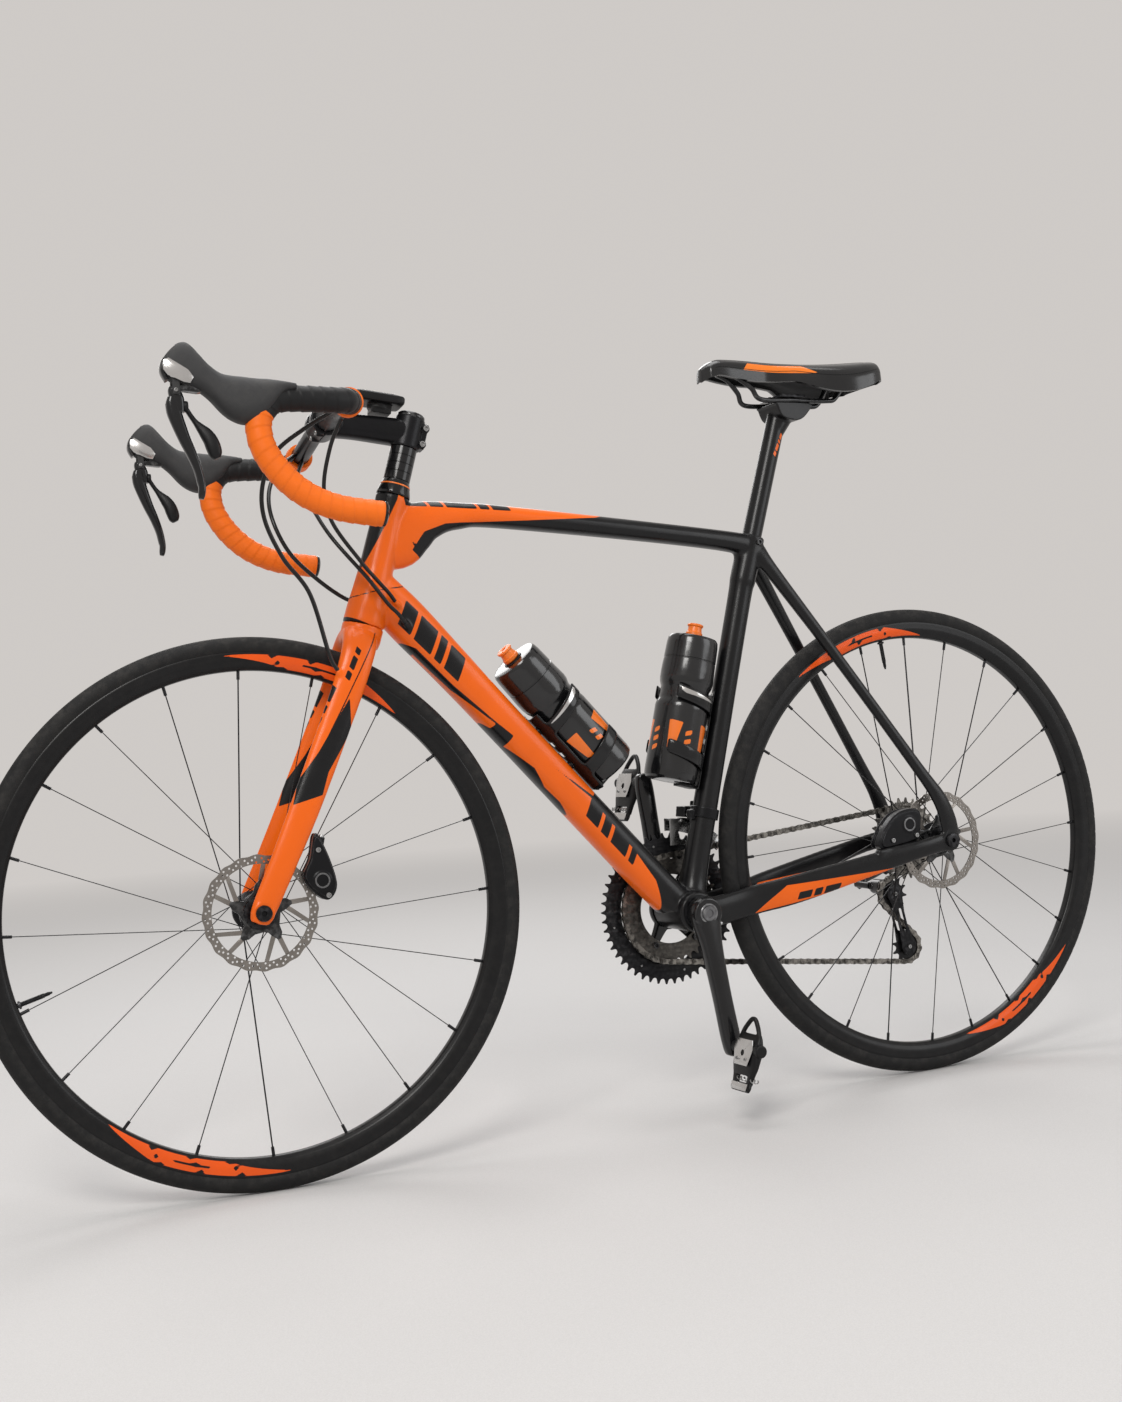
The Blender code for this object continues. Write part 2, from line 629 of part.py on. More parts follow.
FREEHUB_SEAT = 0.0098
wheel("front", FRONT_AXLE, FRONT_HALF, True)
wheel("rear", Vector((0, 0, 0)), REAR_HALF, False)


def thru_axle(name, axle, half, wall, steered):
    """A bar through both dropouts, with its head on the left."""
    obj = put(name, *rod(axle - Y * (half + wall + 0.001), axle + Y * (half + wall), AXLE_RADIUS, 10), ALLOY, axle, steered)
    fuse(obj, rod(axle - Y * (half + wall + GAP), axle - Y * (half + wall + 0.0042), 0.0098, 10))


thru_axle("rear_thru_axle", Vector((0, 0, 0)), REAR_HALF, DROPOUT_WALL, False)


# Chain, sprockets and pulleys
def pitch_radius(teeth):
    return PITCH / (2 * sin(pi / teeth))


def unit(angle):
    return Vector((cos(angle), 0, sin(angle)))


def chain_path(wheels):
    """The closed path round the wheels, as (links, wheel or None, angle where it starts) for each stretch."""
    ways, straights = [], []
    for (c1, n1, s1), (c2, n2, s2) in zip(wheels, wheels[1:] + wheels[:1]):
        d, k = c2 - c1, s1 * pitch_radius(n1) - s2 * pitch_radius(n2)
        ways.append(atan2(d.z, d.x) + asin(k / d.length))
        straights.append(sqrt(d.length**2 - k**2) / PITCH)
    parts = []
    for i, (centre, teeth, sense) in enumerate(wheels):
        arc = (sense * (ways[i] - ways[i - 1])) % (2 * pi)
        parts.append((arc * teeth / (2 * pi), i, ways[i - 1]))
        parts.append((straights[i], None, ways[i]))
    return parts


def path_point(wheels, parts, u):
    """The place and direction of the chain at u links along it."""
    for j, (links, i, way) in enumerate(parts):
        if u < links or j == len(parts) - 1:
            break
        u -= links
    if i is None:
        centre, teeth, sense = wheels[j // 2]
        start = centre + sense * pitch_radius(teeth) * unit(way - pi / 2)
        return start + unit(way) * (u * PITCH), way
    centre, teeth, sense = wheels[i]
    way += sense * 2 * pi * u / teeth
    return centre + sense * pitch_radius(teeth) * unit(way - pi / 2), way


def jockeys(tilt):
    guide = Vector((GUIDE_JOCKEY[0], 0, GUIDE_JOCKEY[1]))
    return guide, guide + JOCKEY_DISTANCE * Vector((sin(tilt), 0, -cos(tilt)))


def transmission(tilt):
    guide, tension = jockeys(tilt)
    wheels = [(BB, INNER_TEETH, 1), (tension, JOCKEY_TEETH, 1), (guide, JOCKEY_TEETH, -1), (Vector(), DRIVEN, 1)]
    parts = chain_path(wheels)
    return wheels, parts, sum(p[0] for p in parts)


# The cage swings until the chain is a whole, even number of links long.
LINKS = 2 * round(transmission(CAGE_TILT)[2] / 2)
low, high = CAGE_TILT - 0.35, CAGE_TILT + 0.35
rising = transmission(high)[2] > transmission(low)[2]
for step in range(60):
    tilt = (low + high) / 2
    if (transmission(tilt)[2] < LINKS) == rising:
        low = tilt
    else:
        high = tilt
wheels, parts, total = transmission(tilt)
guide_at, tension_at = jockeys(tilt)
print(f"chain: {LINKS} links, path {total:.4f}, cage tilted {math.degrees(tilt):.2f} degrees")


def phase(i):
    """The angle of the first roller on wheel i."""
    before = sum(p[0] for p in parts[: 2 * i])
    point, _ = path_point(wheels, parts, math.ceil(before + 1e-6))
    d = point - wheels[i][0]
    return atan2(d.z, d.x)


def teeth_outline(teeth, start=0.0, coarse=False):
    """A sprocket's rim: a valley for each roller and a tooth between them.

    A coarse rim is for sprockets that carry no chain. The small ones have one corner for each tooth.
    """
    r = pitch_radius(teeth)
    outline = []
    for k in range(teeth):
        a = start + 2 * pi * k / teeth
        valley, half = hypot(r - 0.0040, 0.0024), atan2(0.0024, r - 0.0040)
        tip = r + 0.0036
        corners = [(valley, a - half), (valley, a + half), (tip, a + pi / teeth)]
        if coarse:
            corners = [(valley, a), (tip - 0.0006, a + pi / teeth)] if teeth > 25 else [(tip - 0.0006, a)]
        outline += [(q * cos(t), q * sin(t)) for q, t in corners]
    return outline


def sprocket_stack():
    """The cassette as one solid: toothed plates with a spacer's wall between each two, on their hollow body."""
    steps, core = 6, 0.0172
    bore = (FREEHUB_SEAT + GAP) / cos(pi / steps)
    ring = circle(core, steps)
    verts, faces = [], []
    half = TOOTH_THICK / 2
    before = None
    for i, teeth in enumerate(SPROCKETS):
        y = CHAIN_Y + (i - SPROCKETS.index(DRIVEN)) * SPROCKET_PITCH
        start = phase(3) if teeth == DRIVEN else 0.11 * i
        outline = teeth_outline(teeth, start, coarse=teeth != DRIVEN)
        flat = outline + ring
        tris = tessellate_polygon([[Vector((u, v, 0)) for u, v in loop] for loop in (outline, ring)])
        first, n, m = len(verts), len(flat), len(outline)
        verts += [Vector((u, h, v)) for h in (y - half, y + half) for u, v in flat]
        faces += [tuple(first + k for k in t) for t in tris] + [tuple(first + n + k for k in t) for t in tris]
        faces += [(first + k, first + (k + 1) % m, first + n + (k + 1) % m, first + n + k) for k in range(m)]
        near = [first + m + k for k in range(steps)]
        if before:
            faces += [(before[k], before[(k + 1) % steps], near[(k + 1) % steps], near[k]) for k in range(steps)]
        else:
            left = near
        before = [first + n + m + k for k in range(steps)]
    ends = []
    for loop, y in ((left, CASSETTE_LEFT), (before, CASSETTE_RIGHT)):
        first = len(verts)
        verts += [Vector((u, y, v)) for u, v in ring] + [Vector((u, y, v)) for u, v in circle(bore, steps)]
        outer, inner = [first + k for k in range(steps)], [first + steps + k for k in range(steps)]
        for a, b in ((loop, outer), (outer, inner)):
            faces += [(a[k], a[(k + 1) % steps], b[(k + 1) % steps], b[k]) for k in range(steps)]
        ends.append(inner)
    a, b = ends
    faces += [(a[k], a[(k + 1) % steps], b[(k + 1) % steps], b[k]) for k in range(steps)]
    return verts, faces


CASSETTE_LEFT = 0.0225
CASSETTE_RIGHT = 0.0700
put("cassette", *sprocket_stack(), GREY)


TIPS = []  # each wheel's middle and the tips of its teeth
for i, (centre, teeth, sense) in enumerate(wheels):
    turns = [phase(i) + 2 * pi * (k + 0.5) / teeth for k in range(teeth)]
    TIPS.append((centre, [centre + (pitch_radius(teeth) + 0.0036) * unit(a) for a in turns]))


def wraps(i):
    """Whether a wheel's tooth reaches between the plates that follow pin i."""
    here, there = (path_point(wheels, parts, (i + d) % LINKS)[0] for d in (0, 1))
    along = (there - here).normalized()
    for centre, tips in TIPS:
        away = Vector((-along.z, 0, along.x))
        if away.dot(here - centre) < 0:
            away = -away
        for d in (tip - here for tip in tips if (tip - here).length < 2 * PITCH):
            if -0.0015 < d.dot(along) < PITCH + 0.0015 and -0.0040 < d.dot(away) < 0.0100:
                return True
    return False


def chain_mesh():
    """The chain as one closed loop of link plates.

    Round the wheels the plates stand apart between the rollers, so that the teeth go between them,
    and they are wide and narrow by turns. On the free runs the chain is one bar of the same outline.
    """
    reach, high, narrow, middle, wide = 0.0022, 0.0037, 0.0011, 0.00185, 0.0026
    verts, rings = [], []

    def ring(i, shift, corners):
        """Adds one section at pin i and notes where its corners are."""
        point, way = path_point(wheels, parts, i)
        rings.append([len(verts) + k for k in range(len(corners))])
        verts.extend(point + Y * (CHAIN_Y + y) + unit(way) * shift + unit(way + pi / 2) * h for y, h in corners)

    opens = []
    for i in range(LINKS):
        if not (wraps(i) or wraps(i - 1)):
            ring(i, 0, [(-wide, -high), (-wide, high), (wide, high), (wide, -high)])
            opens.append(False)
            continue
        for end in (0, 1):
            a, b = (narrow, middle) if (i + end) % 2 else (middle, wide)
            ring(i, reach * (2 * end - 1), [(-b, -high), (-b, high), (-a, high), (-a, -high),
                                            (a, -high), (a, high), (b, high), (b, -high)])
            opens.append(bool(end and wraps(i)))
    faces = []
    for k, (one, two) in enumerate(zip(rings, rings[1:] + rings[:1])):
        if opens[k]:
            for c, e in ((0, 1), (1, 2), (2, 3), (3, 0), (4, 5), (5, 6), (6, 7), (7, 4)):
                faces.append((one[c], one[e], two[e], two[c]))
            faces += [tuple(end[c] for c in (2, 3, 4, 5)) for end in (one, two)]
            continue
        tops = [end[1:3] if len(end) == 4 else [end[c] for c in (1, 2, 5, 6)] for end in (one, two)]
        lows = [[end[3], end[0]] if len(end) == 4 else [end[c] for c in (7, 4, 3, 0)] for end in (one, two)]
        for a, b in (tops, lows):
            if len(a) == len(b):
                faces += [(a[c], a[c + 1], b[c + 1], b[c]) for c in range(len(a) - 1)]
            else:
                faces.append((*a, *b[::-1]))
        faces += [(one[0], one[1], two[1], two[0]), (one[-2], one[-1], two[-1], two[-2])]
    return verts, faces


put("chain", *chain_mesh(), CHAIN)

# Cranks and pedals
DOWN = Vector((sin(CRANK_TILT), 0, -cos(CRANK_TILT)))
SPIDER = 0.0642
SPIDER_Y = (0.0412, 0.0468)
BOLT_CIRCLE = 0.0552
OUTER_RING_Y = CHAIN_Y + RING_GAP
ARM = [  # along, width, share of the thickness
    (-0.0210, 0.018, 0.86), (-0.0130, 0.037, 1.0), (0.0080, 0.041, 1.0), (0.0480, 0.029, 0.94),
    (0.1100, 0.025, 0.85), (0.1650, 0.026, 0.80), (0.1840, 0.021, 0.76), (0.1890, 0.011, 0.66),
]


def crank_arm(way, root_y, end_y, thick):
    across = way.cross(Y).normalized()
    rings = []
    for along, wide, share in ARM:
        along = along * CRANK_LENGTH / 0.175
        y = root_y + (end_y - root_y) * min(1, max(0, along / CRANK_LENGTH))
        rings.append(oval(BB + way * along + Y * y, across, Y, wide, thick * share, 8, 2.8, pi / 8))
    return loft(rings)


right_crank = put("crank_right", *crank_arm(-DOWN, 0.0565, 0.0660, 0.0200), GREY, BB)
ring_at = upright((BB.x, 0, BB.z), CHAIN_Y)
ring_shape = plate(teeth_outline(INNER_TEETH, phase(0)), [circle(0.0490, 16)], -TOOTH_THICK / 2, TOOTH_THICK / 2, ring_at)
SPIDER_ARMS = [atan2(-DOWN.z, -DOWN.x) + radians(offset) for offset in (36, 145, 215, 324)]
arms = []
for a in SPIDER_ARMS:
    arms += [(0.0285, a - 0.42), (SPIDER, a - 0.10), (SPIDER, a + 0.10), (0.0285, a + 0.42)]
spider = [(r * cos(a), r * sin(a)) for r, a in arms]
fuse(
    right_crank,
    plate(spider, [], SPIDER_Y[0] - CHAIN_Y, SPIDER_Y[1] - CHAIN_Y, ring_at),
    ring_shape,
    rod(BB - Y * 0.0665, BB + Y * 0.0560, SPINDLE_RADIUS, 12),
)
for a in SPIDER_ARMS:
    middle = BB + BOLT_CIRCLE * unit(a)
    fuse(right_crank, rod(middle + Y * CHAIN_Y, middle + Y * (SPIDER_Y[1] + 0.0012), 0.0052, 5))
put(
    "chainring_outer",
    *plate(
        teeth_outline(OUTER_TEETH, coarse=True), [circle((SPIDER + GAP) / cos(pi / 16), 16)],
        -0.0010, 0.0010, upright((BB.x, 0, BB.z), OUTER_RING_Y),
    ),
    ALLOY, BB,
)
left_crank = put("crank_left", *crank_arm(DOWN, -0.0535, -0.0790, 0.0250), GREY, BB)
cut(left_crank, rod(BB - Y * 0.08, BB - Y * 0.03, SPINDLE_RADIUS + GAP * 1.1, 12))

PEDAL_SPINDLE = 0.0045
PEDAL_TOE = Vector((0.30, 0, 0.95)).normalized()
PEDAL_UP = Vector((-PEDAL_TOE.z, 0, PEDAL_TOE.x))
PEDAL = [  # along the toe, width, height, shift outwards
    (-0.056, 0.046, 0.007, 0.0), (-0.046, 0.060, 0.011, 0.0), (-0.010, 0.058, 0.018, 0.0),
    (0.010, 0.058, 0.018, 0.0), (0.026, 0.040, 0.011, -0.002), (0.041, 0.022, 0.006, -0.003),
]
for side, tag in SIDES:
    crank, way = (left_crank, DOWN) if side < 0 else (right_crank, -DOWN)
    eye = BB + way * CRANK_LENGTH
    inner = (0.0790 if side < 0 else 0.0660)
    fuse(crank, rod(eye + Y * side * inner, eye + Y * side * (inner + 0.0700), PEDAL_SPINDLE, 8))
    middle = inner + 0.0420
    rings = [
        oval(eye + PEDAL_TOE * t + Y * side * (middle + out), Y, PEDAL_UP, wide, high, 8, 3.0, pi / 8)
        for t, wide, high, out in PEDAL
    ]
    pedal = put("pedal_" + tag, *loft(rings), ALLOY, eye)
    fuse(pedal, rod(eye + Y * side * (inner + 0.0090), eye + Y * side * (inner + 0.0730), 0.0084, 6))
    cut(pedal, rod(eye + Y * side * inner, eye + Y * side * (inner + 0.0703), PEDAL_SPINDLE + GAP * 1.1, 8))

# Rear derailleur
CAGE_PIVOT = guide_at + Vector((-0.0080, 0, 0.0100))
KNUCKLE_Y = REAR_HALF + 0.0065 + GAP
KNUCKLE = Vector((0.0090, 0, -0.0280))
drop_away = Vector((guide_at.x, 0, guide_at.z)).normalized()
shift_way = (drop_away * LINK_SLANT - Y).normalized()
flat = Vector((-0.93, 0, -0.37))
link_middle = (flat - shift_way * flat.dot(shift_way)).normalized()
link_axis = link_middle.cross(shift_way).normalized()
LINK_REST = radians(19.0)
link_way = link_middle * cos(LINK_REST) + shift_way * sin(LINK_REST)
link_side = link_axis.cross(link_way)
LINK_A = Vector((0.0060, 0.0900, -0.0470))
LINK_B = LINK_A + link_way * LINK_LENGTH
LINK_BARREL = 0.0055
LINK_HALF = 0.0060
EAR = 0.0028
print("link pivots", [round(c, 5) for c in (*LINK_A, *LINK_B)], "axis", [round(c, 5) for c in link_axis])


def forked(obj, pivot, way):
    """A fork whose ears hold a barrel at the pivot, open towards the link. The slot is cut by its own shape."""
    axes = (way, link_axis.cross(way), link_axis)
    depth = LINK_BARREL + 0.0005
    fuse(obj, block(pivot - way * 0.0030, axes, (0.0150, 2 * LINK_BARREL, 2 * (LINK_HALF + EAR))))
    cut(obj, block(pivot + way * (0.0200 - depth), axes, (0.0400, 0.0300, 2 * (LINK_HALF + GAP))))


knuckle = put("rd_knuckle", *rod(KNUCKLE + Y * KNUCKLE_Y, KNUCKLE + Y * (KNUCKLE_Y + 0.0135), 0.0100, 10), PLASTIC, KNUCKLE)
fuse(knuckle, rod(KNUCKLE + Y * (KNUCKLE_Y + 0.0070), LINK_A - link_way * 0.0085, 0.0065, 8))
forked(knuckle, LINK_A, link_way)

link = put("rd_link", *rod(LINK_A - link_axis * LINK_HALF, LINK_A + link_axis * LINK_HALF, LINK_BARREL, 8), GREY, LINK_A)
fuse(
    link,
    rod(LINK_B - link_axis * LINK_HALF, LINK_B + link_axis * LINK_HALF, LINK_BARREL, 8),
    block((LINK_A + LINK_B) / 2, (link_way, link_side, link_axis), (LINK_LENGTH, 0.0080, 0.0100)),
)

pknuckle = put("rd_pknuckle", *rod(CAGE_PIVOT + Y * 0.0458, CAGE_PIVOT + Y * 0.0680, 0.0110, 10), PLASTIC, LINK_B)
elbow = Vector((LINK_B.x - 0.0075, 0.0640, CAGE_PIVOT.z + 0.0020))
fuse(
    pknuckle,
    rod(CAGE_PIVOT + Y * 0.0600, elbow, 0.0060, 6),
    rod(elbow, LINK_B + link_way * 0.0118, 0.0050, 6),
)
forked(pknuckle, LINK_B, -link_way)

JOCKEY_PIN = 0.0035
CAGE_IN, CAGE_OUT = CHAIN_Y - 0.0062, CHAIN_Y + 0.0062
cage_way = (tension_at - guide_at).normalized()
cage_side = Vector((cage_way.z, 0, -cage_way.x))


def cage_plate(y, thick):
    """One side of the pulleys' cage, drawn in between them."""
    outline = []
    for p, a0, a1, r in ((Vector(), 90, 270, 0.0130), (cage_way * JOCKEY_DISTANCE, 270, 450, 0.0125)):
        for k in range(5):
            a = radians(a0 + (a1 - a0) * k / 4)
            q = p + cage_side * (r * sin(a)) + cage_way * (r * cos(a))
            outline.append((q.x, q.z))
        mid = cage_way * (JOCKEY_DISTANCE / 2) + cage_side * (0.0065 if a1 == 450 else -0.0065)
        outline.append((mid.x, mid.z))
    return plate(outline, [], -thick / 2, thick / 2, upright(guide_at, y))


cage = put("rd_cage", *cage_plate(CAGE_OUT, 0.0020), ALLOY, CAGE_PIVOT)
fuse(
    cage,
    cage_plate(CAGE_IN, 0.0020),
    rod(CAGE_PIVOT + Y * (CAGE_OUT - 0.0005), CAGE_PIVOT + Y * (0.0458 - GAP), 0.0105, 10),
)
for centre in (guide_at, tension_at):
    fuse(cage, rod(centre + Y * CAGE_IN, centre + Y * CAGE_OUT, JOCKEY_PIN, 6))
for name, centre, i in (("jockey_upper", guide_at, 2), ("jockey_lower", tension_at, 1)):
    shape = plate(
        teeth_outline(JOCKEY_TEETH, phase(i)), [circle((JOCKEY_PIN + GAP) / cos(pi / 6), 6)],
        -TOOTH_THICK / 2, TOOTH_THICK / 2, upright(centre, CHAIN_Y),
    )
    put(name, *shape, PLASTIC, centre)

# Front derailleur
FD_LOW = pitch_radius(OUTER_TEETH) + 0.0036 + 0.0022
FD_HIGH = FD_LOW + 0.0170
FD_IN = CHAIN_Y - 0.0056
FD_OUT = OUTER_RING_Y + 0.0006


def fan(r0, r1, a0, a1, steps):
    """A band between two radii round the bottom bracket. Angles run from straight up to the rear."""
    ways = [a0 + (a1 - a0) * k / steps for k in range(steps + 1)]
    inner = [(r0 * sin(a), r0 * cos(a)) for a in ways]
    outer = [(r1 * sin(a), r1 * cos(a)) for a in ways]
    return outer + inner[::-1]


at_bb = upright((BB.x, 0, BB.z), 0)
fd_cage = put("fd_cage", *plate(fan(FD_LOW, FD_HIGH, 0.03, 0.86, 5), [], FD_OUT, FD_OUT + 0.0014, at_bb), STEEL)
fuse(
    fd_cage,
    plate(fan(0.0870, FD_HIGH, 0.03, 0.70, 4), [], FD_IN - 0.0014, FD_IN, at_bb),
    plate(fan(FD_HIGH - 0.0030, FD_HIGH + 0.0005, 0.03, 0.42, 3), [], FD_IN - 0.0008, FD_OUT + 0.0008, at_bb),
)
FD_TONGUE = [(0.0200, 0.1180), (0.0420, 0.1140), (0.0440, 0.1206), (0.0220, 0.1242)]
fuse(fd_cage, plate(FD_TONGUE, [], 0.0270, 0.0400, at_bb))
FD_BAND_LOW, FD_BAND_HIGH = 0.0600, 0.0740
fd_body = put("fd_body", *seat_tube(0.0030, FD_BAND_LOW, FD_BAND_HIGH), ALLOY)
FD_BLOCK = [(0.0180, 0.1258), (0.0440, 0.1218), (0.0470, 0.1330), (0.0400, 0.1390), (0.0200, 0.1400)]
fuse(fd_body, plate(FD_BLOCK, [], 0.0140, 0.0380, at_bb))
cut(fd_body, seat_tube(GAP, FD_BAND_LOW - 0.03, FD_BAND_HIGH + 0.03))

# Fork
FORK = [  # along the axis, forward, out, thickness, depth
    (-0.0125, 0.0515, 0.0570, 0.0100, 0.022), (0.0040, 0.0500, 0.0570, 0.0122, 0.030),
    (0.0662, 0.0394, 0.0555, 0.0130, 0.033), (0.1435, 0.0271, 0.0500, 0.0140, 0.037),
    (0.2726, 0.0101, 0.0415, 0.0165, 0.039), (0.3180, 0.0060, 0.0375, 0.0190, 0.041), (0.3440, 0.0045, 0.0300, 0.0230, 0.043),
    (0.3560, 0.0040, 0.0160, 0.0285, 0.044),
]


def fork_point(s, fore, y):
    return on_steerer(s, fore) + Y * y


def fork_arch():
    """One band from the left dropout up the leg, over the wheel and down the right leg."""
    path = [(s, f, -y, t, d) for s, f, y, t, d in FORK] + [(0.3580, 0.0040, 0.0, 0.0300, 0.044)]
    path += [(s, f, y, t, d) for s, f, y, t, d in FORK[::-1]]
    at = [fork_point(s, f, y) for s, f, y, *_ in path]
    rings = []
    for i, (*_, thick, deep) in enumerate(path):
        way = (at[min(i + 1, len(at) - 1)] - at[max(i - 1, 0)]).normalized()
        fore = (STEER_FORE - way * way.dot(STEER_FORE)).normalized()
        rings.append(oval(at[i], fore, way.cross(fore), deep, thick, 8, 2.2))
    return loft(rings)


FORK_WALL = 0.0130
fork = put("fork", *fork_arch(), ORANGE, on_steerer(HEAD_LOW), True)
fuse(
    fork,
    turned(
        [(0.3480, 0.0240), (HEAD_LOW - GAP, 0.0262), (HEAD_LOW - GAP, STEERER_RADIUS), (STEM_TOP - 0.003, STEERER_RADIUS)],
        STEER_FOOT, STEER_AXIS, 12,
    ),
)
for side, tag in SIDES:
    fuse(
        fork,
        rod(FRONT_AXLE + Y * side * FRONT_HALF, FRONT_AXLE + Y * side * (FRONT_HALF + FORK_WALL), 0.0137, 10, start=0.1),
    )
cut(fork, rod(FRONT_AXLE - Y * 0.08, FRONT_AXLE + Y * 0.08, AXLE_RADIUS + GAP, 10))
thru_axle("front_thru_axle", FRONT_AXLE, FRONT_HALF, FORK_WALL, True)

# Headset, stem and bars
HEAD_BORE = (STEERER_RADIUS + GAP) / cos(pi / 12)


def collar(name, profile, look):
    low, high = profile[0][0], profile[-1][0]
    shape = turned([*profile, (high, HEAD_BORE), (low, HEAD_BORE)], STEER_FOOT, STEER_AXIS, 12, hollow=True)
    return put(name, *shape, look, on_steerer(low), True)


collar("headset_cover", [(HEAD_TOP + GAP, 0.0216), (HEAD_TOP + 0.004, 0.0214), (COVER_TOP, 0.0172)], CARBON)
collar("headset_spacers", [(COVER_TOP + GAP, 0.0170), (SPACER_TOP, 0.0170)], ALLOY)

STEM_SIDE = STEM_WAY.cross(Y)
STEM_SHAPE = [(0.0, 0.036, 0.0355), (0.30, 0.033, 0.034), (0.65, 0.031, 0.032), (0.88, 0.033, 0.034), (1.0, 0.035, 0.036)]


def stem_bar(grow=0.0, last=1.0):
    rings = [
        oval(STEM_BACK + STEM_WAY * (STEM_LENGTH * t), Y, STEM_SIDE, w + 2 * grow, h + 2 * grow, 8, 2.6, pi / 8)
        for t, w, h in STEM_SHAPE if t <= last
    ]
    return loft(rings)


CLAMP_OUTER = CLAMP_RADIUS + CLAMP_WALL
CLAMP_BORE = (CLAMP_RADIUS + GAP) / cos(pi / 10)
stem = put("stem", *rod(on_steerer(SPACER_TOP + GAP), on_steerer(STEM_TOP), 0.0190, 12), ALLOY, STEM_BACK, True)
fuse(
    stem,
    stem_bar(),
    rod(CLAMP - Y * CLAMP_WIDTH / 2, CLAMP + Y * CLAMP_WIDTH / 2, CLAMP_OUTER, 12),
    block(on_steerer(STEM_MIDDLE, -0.0195), (STEER_FORE, Y, STEER_AXIS), (0.0100, 0.0200, 0.0340)),
)
front_half = lambda start: block(CLAMP + STEM_WAY * (start + 0.02), (STEM_WAY, Y, STEM_SIDE), (0.04, 0.08, 0.08))
back_half = lambda start: block(CLAMP + STEM_WAY * (start - 0.02), (STEM_WAY, Y, STEM_SIDE), (0.04, 0.08, 0.08))
cut(
    stem,
    rod(on_steerer(SPACER_TOP - 0.02), on_steerer(STEM_TOP + 0.02), HEAD_BORE, 12),
    rod(CLAMP - Y * 0.05, CLAMP + Y * 0.05, CLAMP_BORE, 10),
    front_half(0.0010),
    block(on_steerer(STEM_MIDDLE, -0.0230), (STEER_FORE, Y, STEER_AXIS), (0.0160, 0.0020, 0.0500)),
)
face = put(
    "stem_faceplate", *rod(CLAMP - Y * CLAMP_WIDTH / 2, CLAMP + Y * CLAMP_WIDTH / 2, CLAMP_OUTER, 12), ALLOY, CLAMP, True
)
cut(face, rod(CLAMP - Y * 0.05, CLAMP + Y * 0.05, CLAMP_BORE, 10), back_half(0.0026))
put(
    "stem_cap",
    *turned([(STEM_TOP + GAP, 0.0175), (STEM_TOP + 0.0045, 0.0172), (STEM_TOP + 0.0060, 0.0150)], STEER_FOOT, STEER_AXIS, 10),
    ALLOY, on_steerer(STEM_TOP), True,
)

BAR_MIDDLE = [(0, 0, 0), (0, CLAMP_WIDTH / 2 + 0.003, 0), (0.0005, 0.045, 0.0010), (0.001, 0.070, 0.0015)]
BEND = [  # forward of the clamp, in from the drops, below the clamp
    (0.003, 0.055, 0.0105), (0.008, 0.027, 0.0145), (0.026, 0.008, 0.0180), (0.090, 0, 0.0180), (0.109, 0, 0.0280), (0.118, 0, 0.0455), (0.1145, 0, 0.0735), (0.097, 0, 0.1030),
    (0.070, 0, 0.1275), (0.034, 0, 0.1435), (-0.017, 0, 0.1525),
]
TAPE_FIRST = len(BAR_MIDDLE)
half_bar = [Vector((CLAMP.x - f, y, CLAMP.z - d)) for f, y, d in BAR_MIDDLE]
half_bar += [Vector((CLAMP.x - f, BAR_HALF - d_in, CLAMP.z - d)) for f, d_in, d in BEND]
end_way = (half_bar[-1] - half_bar[-2]).normalized()
TAPE_LAST = len(half_bar) - 1
half_bar += [half_bar[-1] + end_way * e for e in (GAP, 0.0012, 0.0050)]
half_radii = [CLAMP_RADIUS] * 2 + [BAR_RADIUS] * (len(half_bar) - 5) + [BAR_RADIUS + TAPE_WALL * 0.8] * 2 + [0.0110]
whole_bar = mirrored(half_bar[:0:-1], -1) + half_bar
whole_radii = half_radii[:0:-1] + half_radii
put("handlebar", *pipe(whole_bar, whole_radii, 8), ALLOY, CLAMP, True)


def bar_frames(points):
    ways = [(points[min(i + 1, len(points) - 1)] - points[max(i - 1, 0)]).normalized() for i in range(len(points))]
    side = (Z - ways[0] * ways[0].dot(Z)).normalized()
    frames = []
    for way in ways:
        side = (side - way * way.dot(side)).normalized()
        frames.append((side, way.cross(side)))
    return frames


frames = bar_frames(whole_bar)
MIDDLE_RING = len(half_bar) - 1


def sleeve(side, first, last, outer, inner=None):
    """Rings on the bar's own sections, from one station of a half to another."""
    order = [MIDDLE_RING + side * i for i in range(first, last + 1)]
    grown = [oval(whole_bar[i], *frames[i], 2 * outer, 2 * outer, 8) for i in order]
    if inner is None:
        return loft(grown)
    hollow = [oval(whole_bar[i], *frames[i], 2 * inner, 2 * inner, 8) for i in order]
    return loft(grown + hollow[::-1], loop=True)


TAPE_OUTER, TAPE_INNER = BAR_RADIUS + TAPE_WALL, BAR_RADIUS + GAP * 1.4
HOOD = [  # forward of the clamp, bottom, top (from the clamp's height), width
    (0.088, -0.0130, 0.0010, 0.034), (0.104, -0.0340, 0.0040, 0.038),
    (0.134, -0.0470, 0.0070, 0.037), (0.158, -0.0340, 0.0110, 0.033),
    (0.180, -0.0110, 0.0330, 0.030), (0.193, -0.0050, 0.0460, 0.027), (0.205, -0.0020, 0.0430, 0.025),
    (0.2200, 0.0070, 0.0270, 0.017),
]
BRAKE_PIVOT = (0.2080, -0.0095)
SHIFT_PIVOT = (0.2040, -0.0260)
PIVOT_HALF, EAR_WALL = 0.0075, 0.0020


def cockpit(fore, y, up):
    return Vector((CLAMP.x - fore, y, CLAMP.z + up))


